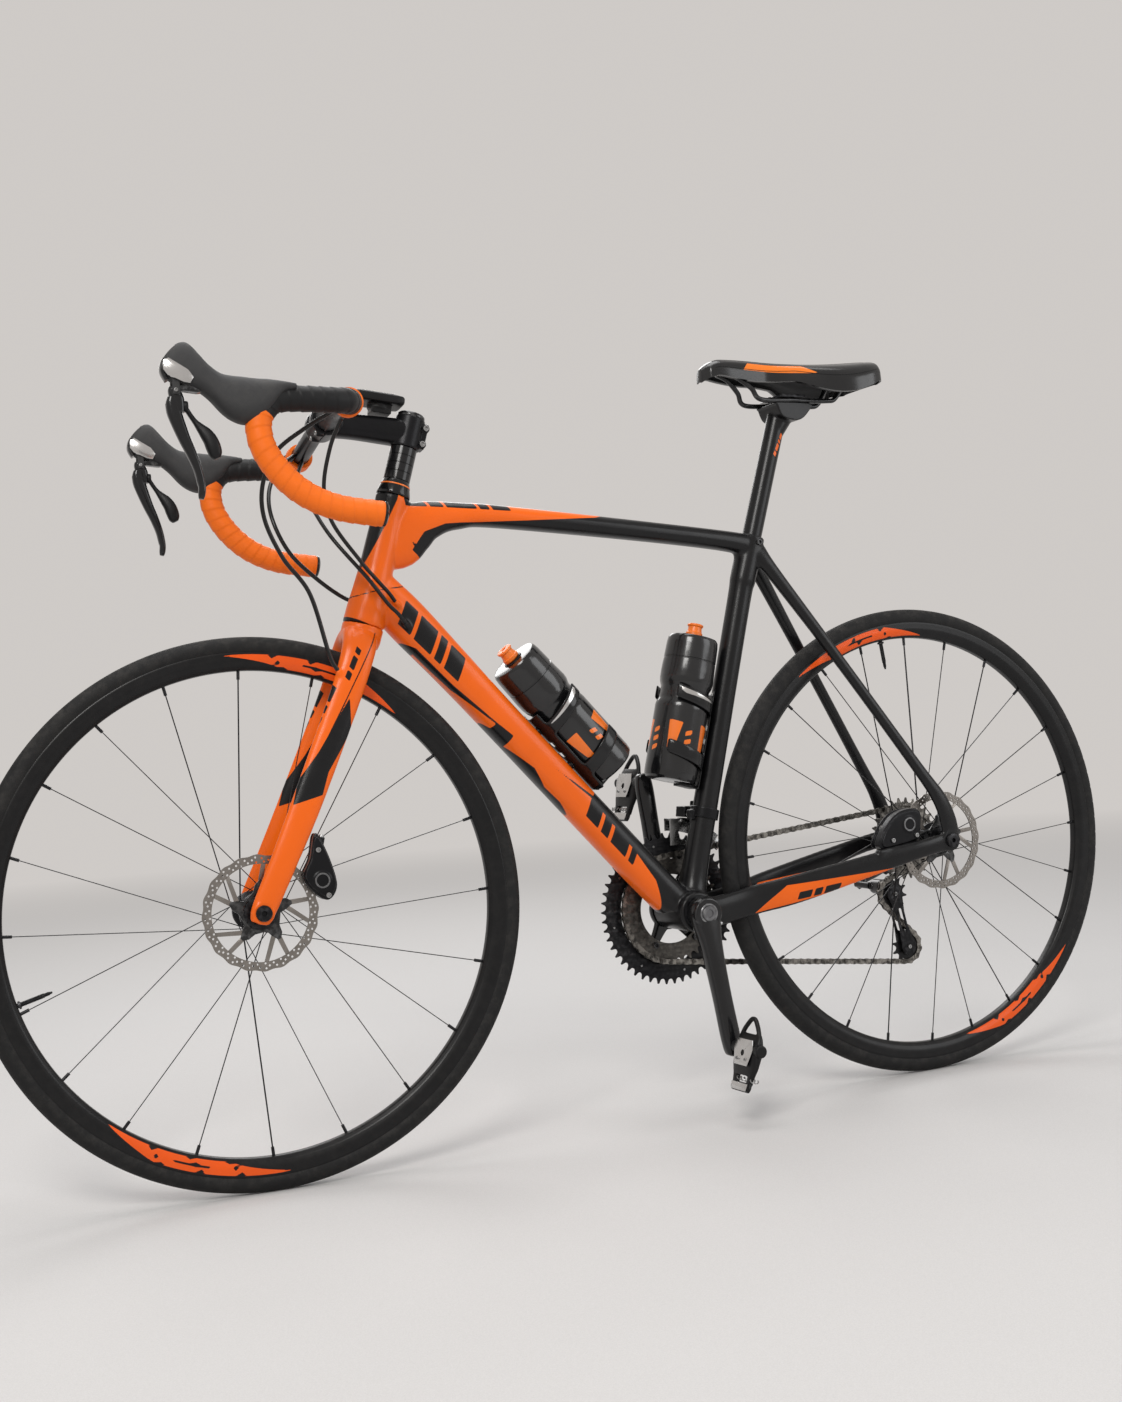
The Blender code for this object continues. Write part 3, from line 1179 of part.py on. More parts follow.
def strip(path, out):
    """A slim bent bar through (forward, up, width, thickness) stations in one upright plane."""
    at = [cockpit(f, out, u) for f, u, *_ in path]
    rings = []
    for i, (*_, wide, thick) in enumerate(path):
        way = (at[min(i + 1, len(at) - 1)] - at[max(i - 1, 0)]).normalized()
        rings.append(oval(at[i], Y, way.cross(Y), wide, thick, 6, 2.3))
    return loft(rings)


for side, tag in SIDES:
    y = side * BAR_HALF
    put("tape_" + tag, *sleeve(side, TAPE_FIRST, TAPE_LAST, TAPE_OUTER, TAPE_INNER), TAPE, cockpit(0.1, y, 0), True)
    rings = [
        oval(cockpit(f, y, (low + high) / 2), Y, Z, wide, high - low, 8, 2.4, pi / 8) for f, low, high, wide in HOOD
    ]
    hood = put("hood_" + tag, *loft(rings), RUBBER, cockpit(0.1, y, 0), True)
    cut(hood, sleeve(side, TAPE_FIRST + 2, TAPE_LAST - 3, TAPE_OUTER + GAP))
    pivot = cockpit(BRAKE_PIVOT[0], y, BRAKE_PIVOT[1])
    for across in (-1, 1):  # the bracket's ears, which hold the lever's pin
        ear = pivot + Y * across * (PIVOT_HALF + GAP + EAR_WALL / 2) + Vector((0.0005, 0, 0.00875))
        fuse(hood, block(ear, (X, Y, Z), (0.0080, EAR_WALL, 0.0265)))
    pin = rod(pivot - Y * PIVOT_HALF, pivot + Y * PIVOT_HALF, 0.0052, 8)
    carrier = put("lever_carrier_" + tag, *pin, ALLOY, pivot, True)
    swing = cockpit(SHIFT_PIVOT[0], y, SHIFT_PIVOT[1])
    fuse(
        carrier,
        strip([(0.2080, -0.0090, 0.0130, 0.0080), (0.2045, -0.0180, 0.0140, 0.0070), (0.2036, -0.0330, 0.0130, 0.0060)], y),
    )
    root = cockpit(SHIFT_PIVOT[0] + 0.0038, y, SHIFT_PIVOT[1])
    blade = put("lever_blade_" + tag, *rod(root, root - X * 0.0074, 0.0068, 8), GREY, swing, True)
    fuse(
        blade,
        strip(
            [(0.2125, -0.0270, 0.0125, 0.0050), (0.2090, -0.0450, 0.0145, 0.0064),
             (0.1950, -0.0800, 0.0152, 0.0068), (0.1860, -0.1150, 0.0135, 0.0055),
             (0.1875, -0.1300, 0.0080, 0.0045)], y,
        ),
    )
    back = cockpit(SHIFT_PIVOT[0] - 0.0040, y, SHIFT_PIVOT[1])
    paddle = put("shift_paddle_" + tag, *rod(back, back + X * 0.0050, 0.0062, 8), GREY, swing, True)
    fuse(
        paddle,
        strip([(0.1975, -0.0280, 0.0100, 0.0045), (0.1880, -0.0430, 0.0095, 0.0040), (0.1760, -0.0560, 0.0180, 0.0040),
               (0.1640, -0.0740, 0.0240, 0.0036), (0.1605, -0.0850, 0.0200, 0.0030)], y),
    )

# Computer on the stem
SCREEN_WAY = Vector((-0.0610, 0, 0.0100)).normalized()
SCREEN_UP = SCREEN_WAY.cross(Y)
if SCREEN_UP.z < 0:
    SCREEN_UP = -SCREEN_UP
SCREEN = CLAMP + Vector((0.0690, 0, 0.0285))
slab = [
    oval(SCREEN + SCREEN_WAY * f, Y, SCREEN_UP, wide, high, 8, 5.0, pi / 8)
    for f, wide, high in ((-0.034, 0.036, 0.007), (-0.031, 0.046, 0.012), (0.030, 0.048, 0.0125), (0.034, 0.038, 0.007))
]
computer = put("computer", *loft(slab), GLASS, SCREEN, True)
fuse(computer, block(SCREEN - SCREEN_UP * 0.0130 - SCREEN_WAY * 0.006, (SCREEN_WAY, Y, SCREEN_UP), (0.026, 0.024, 0.022)))
cut(computer, stem_bar(GAP), rod(on_steerer(SPACER_TOP), on_steerer(STEM_TOP + 0.0062), 0.0192, 12))

# Brakes
ROTOR_SLOT = 0.0036


def caliper(name, axle, rotor_y, outline, low, high, steered):
    """A brake body with the slot that its disc turns in."""
    obj = put(name, *plate(outline, [], low, high, upright(axle, 0)), ALLOY, axle, steered)
    slot = rotor_y - ROTOR_SLOT / 2, rotor_y + ROTOR_SLOT / 2
    cut(obj, rod(axle + Y * slot[0], axle + Y * slot[1], ROTOR_RADIUS + 0.0020, 32))
    return obj


FRONT_CALIPER = [
    (0.0680, 0.0860), (0.0620, 0.0600), (0.0520, 0.0380), (0.0620, 0.0200), (0.0800, 0.0080), (0.0920, 0.0240),
    (0.0860, 0.0560), (0.0740, 0.0860),
]
caliper("front_caliper", FRONT_AXLE, FRONT_ROTOR_Y, FRONT_CALIPER, -0.0560, -0.0285, True)
REAR_CALIPER = [
    (-0.1120, -0.0022), (-0.0520, 0.0048), (-0.0440, 0.0180), (-0.0420, 0.0420), (-0.0560, 0.0500), (-0.0860, 0.0430),
    (-0.1100, 0.0180),
]
caliper("rear_caliper", Vector(), REAR_ROTOR_Y, REAR_CALIPER, -0.0700, -0.0430, False)

# Bottles and their cages
CAP_FROM = 0.176
BOTTLE_SHAPE = [
    (0, 0.96), (0.100, 1.0), (0.112, 0.90), (0.126, 0.90), (0.138, 1.0), (0.168, 0.98),
    (CAP_FROM, 0.89), (BOTTLE_HEIGHT, 0.80),
]
STUB = 0.0085
CAGE_COLUMNS, CAGE_SPREAD = 8, radians(135)
CAGE_INNER = (BOTTLE_RADIUS + 2 * GAP) / cos(CAGE_SPREAD / CAGE_COLUMNS)


def bottle(tag, foot, way, out):
    """A bottle, its pull-up nozzle and the cage that holds it. `out` points from the tube to the bottle."""
    lift = lambda u, v, h: foot + Y * u + out * v + way * h
    shape = [(h, BOTTLE_RADIUS * s) for h, s in BOTTLE_SHAPE]
    stub = [(BOTTLE_HEIGHT, STUB), (BOTTLE_HEIGHT + 0.0100, STUB)]
    put("bottle_" + tag, *turned(shape + stub, foot, way, 14, Y), BOTTLE, foot)
    top, inner = BOTTLE_HEIGHT + GAP, (STUB + GAP) / cos(pi / 8)
    nozzle = [
        (top, NOZZLE_RADIUS), (top + 0.0060, NOZZLE_RADIUS), (top + 0.0190, NOZZLE_RADIUS - 0.0025),
        (top + 0.0190, 0.0030), (top + 0.0110, inner), (top, inner),
    ]
    put("nozzle_" + tag, *turned(nozzle, foot, way, 8, Y, hollow=True), VALVE, foot + way * BOTTLE_HEIGHT)


def bottle_cage(tag, foot, way, out, stand):
    """A bent shell: a spine on the tube and two pairs of slanted arms round the bottle."""
    inner, outer = CAGE_INNER, CAGE_INNER + CAGE_WALL
    columns, spread = CAGE_COLUMNS, CAGE_SPREAD
    rows = 7
    verts, index = [], {}
    keep = set()
    for i in range(columns):
        for j in range(rows):
            middle = abs(i - (columns - 1) / 2) < 1.0
            low_arm, high_arm = j in (0, 1) and not (j == 0 and not middle), j == 5
            if middle or low_arm or high_arm:
                keep.add((i, j))

    def vertex(i, j, k):
        key = (i, j, k)
        if key not in index:
            a = -spread + 2 * spread * i / columns
            h = -0.004 + 0.0190 * j + (0.020 * abs(a) / spread) * (1 if j >= 1 else 0)
            r = outer if k else inner
            index[key] = len(verts)
            verts.append(foot + Y * (r * sin(a)) - out * (r * cos(a)) + way * h)
        return index[key]

    faces = []
    for i, j in sorted(keep):
        ring = [(i, j), (i + 1, j), (i + 1, j + 1), (i, j + 1)]
        for k in (0, 1):
            faces.append(tuple(vertex(*p, k) for p in ring))
        for (dx, dz), (a, b) in zip(((0, -1), (1, 0), (0, 1), (-1, 0)), zip(ring, ring[1:] + ring[:1])):
            if (i + dx, j + dz) not in keep:
                faces.append((vertex(*a, 0), vertex(*b, 0), vertex(*b, 1), vertex(*a, 1)))
    cage_obj = put("cage_" + tag, verts, faces, PLASTIC)
    ledge = foot - way * (GAP + 0.0018) - out * (inner - 0.0120)
    fuse(cage_obj, block(ledge, (Y, out, way), (0.0260, 0.0260, 0.0036)))
    for h in (0.045, 0.109):
        base_at = foot + way * h - out * (inner + CAGE_WALL / 2)
        fuse(cage_obj, rod(base_at, base_at - out * (stand + CAGE_WALL / 2), 0.0055, 8))


DOWN_WAY = Vector((DOWN_TUBE[-3][0] - DOWN_TUBE[-2][0], 0, DOWN_TUBE[-3][1] - DOWN_TUBE[-2][1])).normalized()
DOWN_OUT = Vector((DOWN_WAY.z, 0, -DOWN_WAY.x))
DOWN_FOOT_AT = 0.205
SEAT_WAY = Vector((cos(SEAT_TUBE_ANGLE), 0, sin(SEAT_TUBE_ANGLE)))
SEAT_OUT = Vector((-SEAT_WAY.z, 0, SEAT_WAY.x))
SEAT_FOOT_Z = 0.0990
STAND_DOWN, STAND_SEAT = 0.0020, 0.0030
reach = CAGE_INNER + CAGE_WALL
down_low = Vector((DOWN_TUBE[-2][0], 0, DOWN_TUBE[-2][1]))
down_foot = down_low + DOWN_WAY * (DOWN_FOOT_AT - 0.105) + DOWN_OUT * (0.0252 + GAP + STAND_DOWN + reach)
seat_foot = Vector((seat_line(SEAT_FOOT_Z), 0, SEAT_FOOT_Z)) + SEAT_OUT * (0.0166 + GAP + STAND_SEAT + reach)
bottle("down", down_foot, DOWN_WAY, DOWN_OUT)
bottle_cage("down", down_foot, DOWN_WAY, DOWN_OUT, STAND_DOWN)
bottle("seat", seat_foot, SEAT_WAY, SEAT_OUT)
bottle_cage("seat", seat_foot, SEAT_WAY, SEAT_OUT, STAND_SEAT)

# Hoses and cables
AT_REST = steering.matrix_world @ STEERED


def under_tape(side, angle, size):
    """Where a cord comes out from under the tape, and a second place further in along the bar."""
    radius = BAR_RADIUS + GAP + size / 2 + 0.0004
    aside = Vector((-cos(angle), 0, -sin(angle))) * radius
    edge, inward = half_bar[TAPE_FIRST], half_bar[TAPE_FIRST - 1]
    inward = (inward - edge).normalized()
    return [Vector((p.x, side * p.y, p.z)) + aside * out for p, out in ((edge + inward * 0.0034, 1), (edge + inward * 0.022, 1.06))]


def boss(obj, place, way, radius, length):
    """The small sleeve where a cord goes into a tube. The cord starts at its mouth."""
    way = way.normalized()
    fuse(obj, rod(place - way * length, place, radius, 8))
    return place + way * GAP


fork_mouth = fork_point(0.3060, 0.0265, -0.0440)
fork_way = Vector((-0.42, -0.10, 0.90)).normalized()
start = boss(fork, fork_mouth, fork_way, 0.0036, 0.0160)
cord(
    "hose_front",
    under_tape(-1, 0.45, HOSE)
    + [CLAMP + Vector(p) for p in ((-0.0441, -0.1060, -0.0286), (-0.0781, -0.0840, -0.0526), (-0.0941, -0.0660, -0.0886),
                                   (-0.0931, -0.0540, -0.1286), (-0.0731, -0.0470, -0.1756), (-0.0431, -0.0450, -0.2206))]
    + [start + fork_way * 0.022, start],
    HOSE,
)
# The upper points lie off the bar's clamp, the lower ones and the mouth off the foot of the head tube.
for name, side, angle, size, upper, lower, mouth, way in (
    ("cable_left", -1, 1.35, CABLE,
     ((-0.0161, -0.1000, -0.0526), (-0.0201, -0.0660, -0.0946), (-0.0101, -0.0520, -0.1346)),
     ((-0.0161, -0.0490, 0.0783), (0.0099, -0.0430, 0.0503)), (0.0349, -0.0262, 0.0283), (-0.60, -0.42, 0.60)),
    ("cable_right", 1, 1.35, CABLE,
     ((-0.0181, 0.0980, -0.0446), (-0.0261, 0.0500, -0.0706), (-0.0241, 0.0000, -0.1046), (-0.0091, -0.0360, -0.1506)),
     ((-0.0061, -0.0470, 0.0553), (0.0199, -0.0410, 0.0243)), (0.0459, -0.0262, 0.0013), (-0.60, -0.42, 0.60)),
    ("hose_rear", 1, 0.45, HOSE,
     ((-0.0401, 0.1100, -0.0346), (-0.0601, 0.0840, -0.0686), (-0.0631, 0.0620, -0.1086), (-0.0461, 0.0520, -0.1546)),
     ((-0.0401, 0.0500, 0.0663), (-0.0061, 0.0460, 0.0403)), (0.0259, 0.0262, 0.0223), (-0.62, 0.42, 0.52)),
):
    way = Vector(way).normalized()
    foot = on_steerer(HEAD_LOW)
    start = boss(frame, foot + Vector(mouth), way, 0.0036, 0.0120)
    points = [AT_REST @ p for p in under_tape(side, angle, size) + [CLAMP + Vector(p) for p in upper]]
    cord(name, points + [foot + Vector(p) for p in lower] + [start + way * 0.016, start], size, steered=False)
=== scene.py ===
# %% [markdown]
# # A road bike with disc brakes, dressed for its photograph
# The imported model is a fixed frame: 60 plain solids, each at its real size and place, hung on 25 bodies that turn and
# slide. This file gives them their looks. It never moves them. Where a solid is too plain, a finer piece takes its
# place and rides on the same body.

# %% Load the fixed frame
import math
from math import asin, atan2, cos, hypot, pi, radians, sin, sqrt, tan

import bmesh
import bpy
import numpy as np
from mathutils import Matrix, Vector
from mathutils.geometry import tessellate_polygon


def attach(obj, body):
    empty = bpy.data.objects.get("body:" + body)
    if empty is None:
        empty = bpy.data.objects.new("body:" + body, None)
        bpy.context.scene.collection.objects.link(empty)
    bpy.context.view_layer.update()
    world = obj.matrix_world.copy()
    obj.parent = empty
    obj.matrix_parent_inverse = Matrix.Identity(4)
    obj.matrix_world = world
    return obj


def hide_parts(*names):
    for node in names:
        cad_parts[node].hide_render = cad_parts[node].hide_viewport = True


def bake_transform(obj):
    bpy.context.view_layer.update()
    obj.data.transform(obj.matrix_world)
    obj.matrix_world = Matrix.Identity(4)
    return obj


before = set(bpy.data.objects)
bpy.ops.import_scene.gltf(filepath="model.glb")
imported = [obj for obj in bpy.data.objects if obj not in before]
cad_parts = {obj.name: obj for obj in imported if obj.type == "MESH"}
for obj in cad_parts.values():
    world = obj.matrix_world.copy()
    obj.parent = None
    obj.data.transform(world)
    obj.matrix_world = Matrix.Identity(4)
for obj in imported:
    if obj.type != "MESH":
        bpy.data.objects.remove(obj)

scene = bpy.context.scene
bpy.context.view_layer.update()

# %% [markdown]
# ## The bike's own measures
# All lengths are metres, with the origin in the middle of the rear axle, +X to the rear, +Y to the rider's right and
# +Z up. The front end is built straight ahead, because that is where its shapes are simple, and AT_REST then turns it
# as it stands in the photograph.

# %% Measures that several pieces share
X, Y, Z = Vector((1, 0, 0)), Vector((0, 1, 0)), Vector((0, 0, 1))
WHEELBASE, TYRE_RADIUS, BB_DROP, CHAINSTAY = 0.992, 0.336, 0.062, 0.403
HEAD_ANGLE, SEAT_ANGLE, POST_ANGLE = radians(72.5), radians(74.6), radians(71.7)
FORK_OFFSET, STEM_LENGTH, STEM_RISE, BARS_TURNED = 0.05, 0.108, radians(8), radians(-7.2)
FRONT_AXLE = Vector((-WHEELBASE, 0, 0))
BB = Vector((-sqrt(CHAINSTAY**2 - BB_DROP**2), 0, -BB_DROP))
STEER_AXIS = Vector((cos(HEAD_ANGLE), 0, sin(HEAD_ANGLE)))
STEER_FORE = Vector((-sin(HEAD_ANGLE), 0, cos(HEAD_ANGLE)))
STEER_FOOT = FRONT_AXLE - FORK_OFFSET * STEER_FORE
HEAD_LOW, HEAD_TOP, COVER_TOP, SPACER_TOP, STEM_TOP = 0.374, 0.545, 0.5655, 0.6095, 0.65
FRONT_HALF, REAR_HALF = 0.05, 0.071
FORK_WALL, DROPOUT_WALL = 0.013, 0.0092
ROTOR_RADIUS, FRONT_ROTOR_Y, REAR_ROTOR_Y = 0.07, -0.0396, -0.0522
CHAIN_Y, PITCH = 0.0372, 0.0127


def on_steerer(s, fore=0.0):
    """The point s along the steering axis, and so far ahead of it."""
    return STEER_FOOT + s * STEER_AXIS + fore * STEER_FORE


STEM_MIDDLE = (SPACER_TOP + STEM_TOP) / 2
STEM_BACK = on_steerer(STEM_MIDDLE)
STEM_WAY = Vector((-cos(STEM_RISE), 0, sin(STEM_RISE)))
CLAMP = STEM_BACK + STEM_LENGTH * STEM_WAY
pivot = on_steerer(HEAD_LOW)
AT_REST = Matrix.Translation(pivot) @ Matrix.Rotation(BARS_TURNED, 4, STEER_AXIS) @ Matrix.Translation(-pivot)
print("bars' clamp, straight ahead:", [round(c, 4) for c in CLAMP])

# %% [markdown]
# ## Camera, floor and light
# The camera stands where the photographer's did: at about the height of the rear hub's top, looking slightly up, and
# held a little askew. The floor is a plain pale sheet. Far out it glows in the background's own colour, so that no
# horizon shows, while near the bike it is an ordinary matt floor that takes the soft shadow.

# %% Camera
CAMERA_PLACE, FOCAL_PIXELS, PICTURE_HEIGHT, FILM = (-1.5723, -2.0734, 0.1982), 1742.6, 1402, 36
camera = bpy.data.objects.new("camera", bpy.data.cameras.new("camera"))
scene.collection.objects.link(camera)
yaw, pitch, roll = radians(25.96), radians(0.86), radians(-3.92)
ahead = Vector((cos(pitch) * sin(yaw), cos(pitch) * cos(yaw), sin(pitch)))
level = Vector((cos(yaw), -sin(yaw), 0))
over = level.cross(ahead)
right = level * cos(roll) + over * sin(roll)
up = over * cos(roll) - level * sin(roll)
camera.matrix_world = Matrix.Translation(CAMERA_PLACE) @ Matrix((right, up, -ahead)).transposed().to_4x4()
camera.data.lens = FOCAL_PIXELS * FILM / PICTURE_HEIGHT
scene.camera = camera
scene.view_settings.view_transform = "Standard"

# %% Small helpers for node trees


def add(tree, kind, inputs=None, **settings):
    """One node. Inputs are values, or sockets to join."""
    made = tree.nodes.new(kind)
    for key, value in settings.items():
        setattr(made, key, value)
    for key, value in (inputs or {}).items():
        if isinstance(value, bpy.types.NodeSocket):
            tree.links.new(value, made.inputs[key])
        else:
            made.inputs[key].default_value = value
    return made


def mixed(tree, share, a, b, blend="MIX"):
    """A colour between a and b."""
    made = add(tree, "ShaderNodeMix", {0: share, 6: a, 7: b}, data_type="RGBA", blend_type=blend)
    return made.outputs[2]


def ramped(tree, value, low, high, start=0.0, end=1.0):
    """Value low..high read as start..end, and no further."""
    made = add(tree, "ShaderNodeMapRange",
               {"Value": value, "From Min": low, "From Max": high, "To Min": start, "To Max": end})
    return made.outputs["Result"]


def maths(tree, operation, *values):
    """One sum, product or comparison of numbers."""
    made = add(tree, "ShaderNodeMath", dict(enumerate(values)), operation=operation)
    return made.outputs[0]


# %% Floor, background and lamps
BACKGROUND, GLOW = (0.555, 0.53, 0.51, 1), 1.12
FLOOR_Z = -TYRE_RADIUS

floor_mesh = bpy.data.meshes.new("floor")
ring = [(30 * cos(2 * pi * k / 64) - 0.5, 30 * sin(2 * pi * k / 64), FLOOR_Z) for k in range(64)]
floor_mesh.from_pydata(ring, [], [tuple(range(64))])
floor = bpy.data.objects.new("floor", floor_mesh)
scene.collection.objects.link(floor)

floor_look = bpy.data.materials.new("floor")
floor_look.use_nodes = True
tree = floor_look.node_tree
tree.nodes.clear()
place = add(tree, "ShaderNodeTexCoord").outputs["Object"]
away = add(tree, "ShaderNodeVectorMath", {0: place, 1: (0.5, 0, -FLOOR_Z)}, operation="ADD")
away = add(tree, "ShaderNodeVectorMath", {0: away.outputs[0]}, operation="LENGTH").outputs["Value"]
grain = add(tree, "ShaderNodeTexNoise", {"Vector": place, "Scale": 900.0, "Detail": 2.0})
tone = mixed(tree, ramped(tree, grain.outputs[0], 0.3, 0.7), (0.585, 0.565, 0.55, 1), (0.645, 0.625, 0.61, 1))
matt = add(tree, "ShaderNodeBsdfPrincipled", {"Base Color": tone, "Roughness": 0.85})
glow = add(tree, "ShaderNodeEmission", {"Color": BACKGROUND, "Strength": GLOW})
both = add(tree, "ShaderNodeMixShader", {0: ramped(tree, away, 1.6, 6.0), 1: matt.outputs[0], 2: glow.outputs[0]})
add(tree, "ShaderNodeOutputMaterial", {"Surface": both.outputs[0]})
floor_mesh.materials.append(floor_look)

world = bpy.data.worlds.new("studio")
scene.world = world
world.use_nodes = True
tree = world.node_tree
tree.nodes.clear()
path = add(tree, "ShaderNodeLightPath")
seen = maths(tree, "MAXIMUM", path.outputs["Is Camera Ray"],
             maths(tree, "MAXIMUM", path.outputs["Is Transmission Ray"], path.outputs["Is Glossy Ray"]))
ambient = add(tree, "ShaderNodeBackground", {"Color": (0.9, 0.92, 0.95, 1), "Strength": 0.42})
shown = add(tree, "ShaderNodeBackground", {"Color": BACKGROUND, "Strength": GLOW})
both = add(tree, "ShaderNodeMixShader", {0: seen, 1: ambient.outputs[0], 2: shown.outputs[0]})
add(tree, "ShaderNodeOutputWorld", {"Surface": both.outputs[0]})


def lamp(name, at, aim, size, power, colour=(1, 1, 1)):
    """A soft box that looks at a point."""
    data = bpy.data.lights.new(name, "AREA")
    data.shape, data.size, data.energy, data.color = "SQUARE", size, power, colour
    obj = bpy.data.objects.new(name, data)
    scene.collection.objects.link(obj)
    way = (Vector(aim) - Vector(at)).normalized()
    obj.matrix_world = Matrix.Translation(at) @ way.to_track_quat("-Z", "Y").to_matrix().to_4x4()
    return obj


MIDDLE = (-0.5, 0, 0.1)
lamp("key", (-2.6, -2.6, 2.6), MIDDLE, 1.4, 84, (1.0, 0.985, 0.96))
lamp("fill", (1.9, -2.4, 1.2), MIDDLE, 1.8, 26, (0.96, 0.98, 1.0))
lamp("top", (-0.5, 0.3, 3.2), MIDDLE, 2.2, 50)
lamp("back", (0.2, 3.0, 2.2), MIDDLE, 1.8, 34)
print("camera, floor and four lamps")

# %% [markdown]
# ## Building blocks for shapes
# Nearly every piece of a bike is either swept along a line (tubes, tape, hoses), turned about an axis (rims, hubs,
# bottles) or cut out of a plate (sprockets, brake discs). Moulded pieces, such as the carbon frame, are several such
# shapes melted into one with a voxel remesh: it closes every joint with the soft fillet that a mould leaves.

# %% Curves and sections


def flow(rows, step):
    """A smooth curve through rows of numbers, read about every step along its first three."""
    p = np.array(rows, float)
    p = np.vstack([2 * p[0] - p[1], p, 2 * p[-1] - p[-2]])
    t = np.linspace(0, 1, 16, endpoint=False)[:, None]
    parts = [
        0.5 * (2 * b + (c - a) * t + (2 * a - 5 * b + 4 * c - d) * t**2 + (3 * b - a - 3 * c + d) * t**3)
        for a, b, c, d in zip(p, p[1:], p[2:], p[3:])
    ]
    fine = np.vstack(parts + [p[-2:-1]])
    along = np.concatenate([[0], np.cumsum(np.linalg.norm(np.diff(fine[:, :3], axis=0), axis=1))])
    want = np.linspace(0, along[-1], max(2, round(along[-1] / step)) + 1)
    return np.column_stack([np.interp(want, along, fine[:, k]) for k in range(p.shape[1])])


def oval(centre, side, over, wide, high, n, power=2.0):
    """A ring of n points: an ellipse at power 2, squarer above it."""
    a = 2 * pi * np.arange(n) / n
    c, s = np.cos(a), np.sin(a)
    c, s = np.sign(c) * abs(c) ** (2 / power), np.sign(s) * abs(s) ** (2 / power)
    return np.array(centre) + np.outer(c * wide / 2, side) + np.outer(s * high / 2, over)


def loft(rings, loop=False):
    """Verts and faces through rings of as many points each, closed with caps or into a loop."""
    rings = np.asarray(rings, float)
    m, n = rings.shape[:2]
    i, j = np.meshgrid(np.arange(m if loop else m - 1), np.arange(n), indexing="ij")
    a, b, k = i * n, (i + 1) % m * n, (j + 1) % n
    faces = np.stack([a + j, a + k, b + k, b + j], -1).reshape(-1, 4).tolist()
    if not loop:
        faces += [list(range(n))[::-1], list(range((m - 1) * n, m * n))]
    return rings.reshape(-1, 3), faces


def swept(stations, n=32, power=2.0, side=1, step=0.006):
    """A tube through (x, y, z, width, height) stations. Its width keeps to the bike's own."""
    rows = flow(stations, step) if step else np.array(stations, float)
    rows[:, 1] *= side
    rings = []
    for i, (*at, wide, high) in enumerate(rows):
        way = Vector(rows[min(i + 1, len(rows) - 1)][:3] - rows[max(i - 1, 0)][:3]).normalized()
        across = (Y - way * way.dot(Y)).normalized()
        rings.append(oval(at, across, way.cross(across), wide, high, n, power))
    return loft(rings)


def rod(a, b, radius, n=32, radius_b=None, round_off=0.0):
    """A round bar or cone. round_off softens both rims."""
    a, b = Vector(a), Vector(b)
    length = (b - a).length
    end = radius if radius_b is None else radius_b
    c = min(round_off, length / 3)
    profile = [(0, radius - c), (c * 0.3, radius - c * 0.3), (c, radius), (length - c, end),
               (length - c * 0.3, end - c * 0.3), (length, end - c)]
    return turned(profile if c else [(0, radius), (length, end)], a, b - a, n)


def pin(centre, way, half, radius, n=32, round_off=0.0):
    """A round bar as long on both sides of its middle."""
    return rod(centre - way * half, centre + way * half, radius, n, round_off=round_off)


def turned(profile, centre, axis, n=64, hollow=False):
    """Turns (distance, radius) about an axis. A hollow profile closes on itself."""
    axis = Vector(axis).normalized()
    side = Z if abs(axis.dot(Z)) < 0.9 else X
    side = (side - axis * axis.dot(side)).normalized()
    over = axis.cross(side)
    return loft([oval(Vector(centre) + axis * h, side, over, 2 * r, 2 * r, n) for h, r in profile], loop=hollow)


def bent(rows):
    """For a path in an upright plane: at each row the direction across that plane, and the one up from the path."""
    at = [Vector(row[:3]) for row in rows]
    ways = [(at[min(i + 1, len(at) - 1)] - at[max(i - 1, 0)]).normalized() for i in range(len(at))]
    return [(Y, way.cross(Y)) for way in ways]


def carried(points):
    """Directions across a path, carried along it without twist."""
    points = [Vector(p) for p in points]
    ways = [(points[min(i + 1, len(points) - 1)] - points[max(i - 1, 0)]).normalized() for i in range(len(points))]
    side = (Z - ways[0] * ways[0].dot(Z)).normalized()
    found = []
    for way in ways:
        side = (side - way * way.dot(side)).normalized()
        found.append((side, way.cross(side)))
    return found


def piped(points, radii, n=24):
    """A tube along a path."""
    radii = np.broadcast_to(radii, len(points))
    return loft([oval(p, *f, 2 * r, 2 * r, n) for p, f, r in zip(points, carried(points), radii)])


def plate(outline, holes, low, high, lift):
    """A flat outline with holes, made solid between two heights. lift(u, v, h) gives the point."""
    loops = [outline, *holes]
    flat = [p for loop in loops for p in loop]
    tris = tessellate_polygon([[Vector((u, v, 0)) for u, v in loop] for loop in loops])
    n = len(flat)
    verts = [lift(u, v, h) for h in (low, high) for u, v in flat]
    faces = [list(t) for t in tris] + [[i + n for i in reversed(t)] for t in tris]
    first = 0
    for loop in loops:
        m = len(loop)
        faces += [[first + i, first + (i + 1) % m, n + first + (i + 1) % m, n + first + i] for i in range(m)]
        first += m
    return np.array(verts, float), faces


def turns(n):
    """The angles of n equal steps round a circle."""
    return [2 * pi * k / n for k in range(n)]


def polar(r, a):
    """A flat point at a distance and an angle."""
    return (r * cos(a), r * sin(a))


def circle(r, n, u=0.0, v=0.0):
    return [(u + r * cos(a), v + r * sin(a)) for a in turns(n)]


def unit(angle):
    """A direction in the bike's plane, from the rear upwards."""
    return Vector((cos(angle), 0, sin(angle)))


def upright(centre, y=0.0):
    """For plates that stand in the bike's plane: u to the rear, v up, h to the right."""
    return lambda u, v, h: Vector((centre[0] + u, y + h, centre[-1] + v))


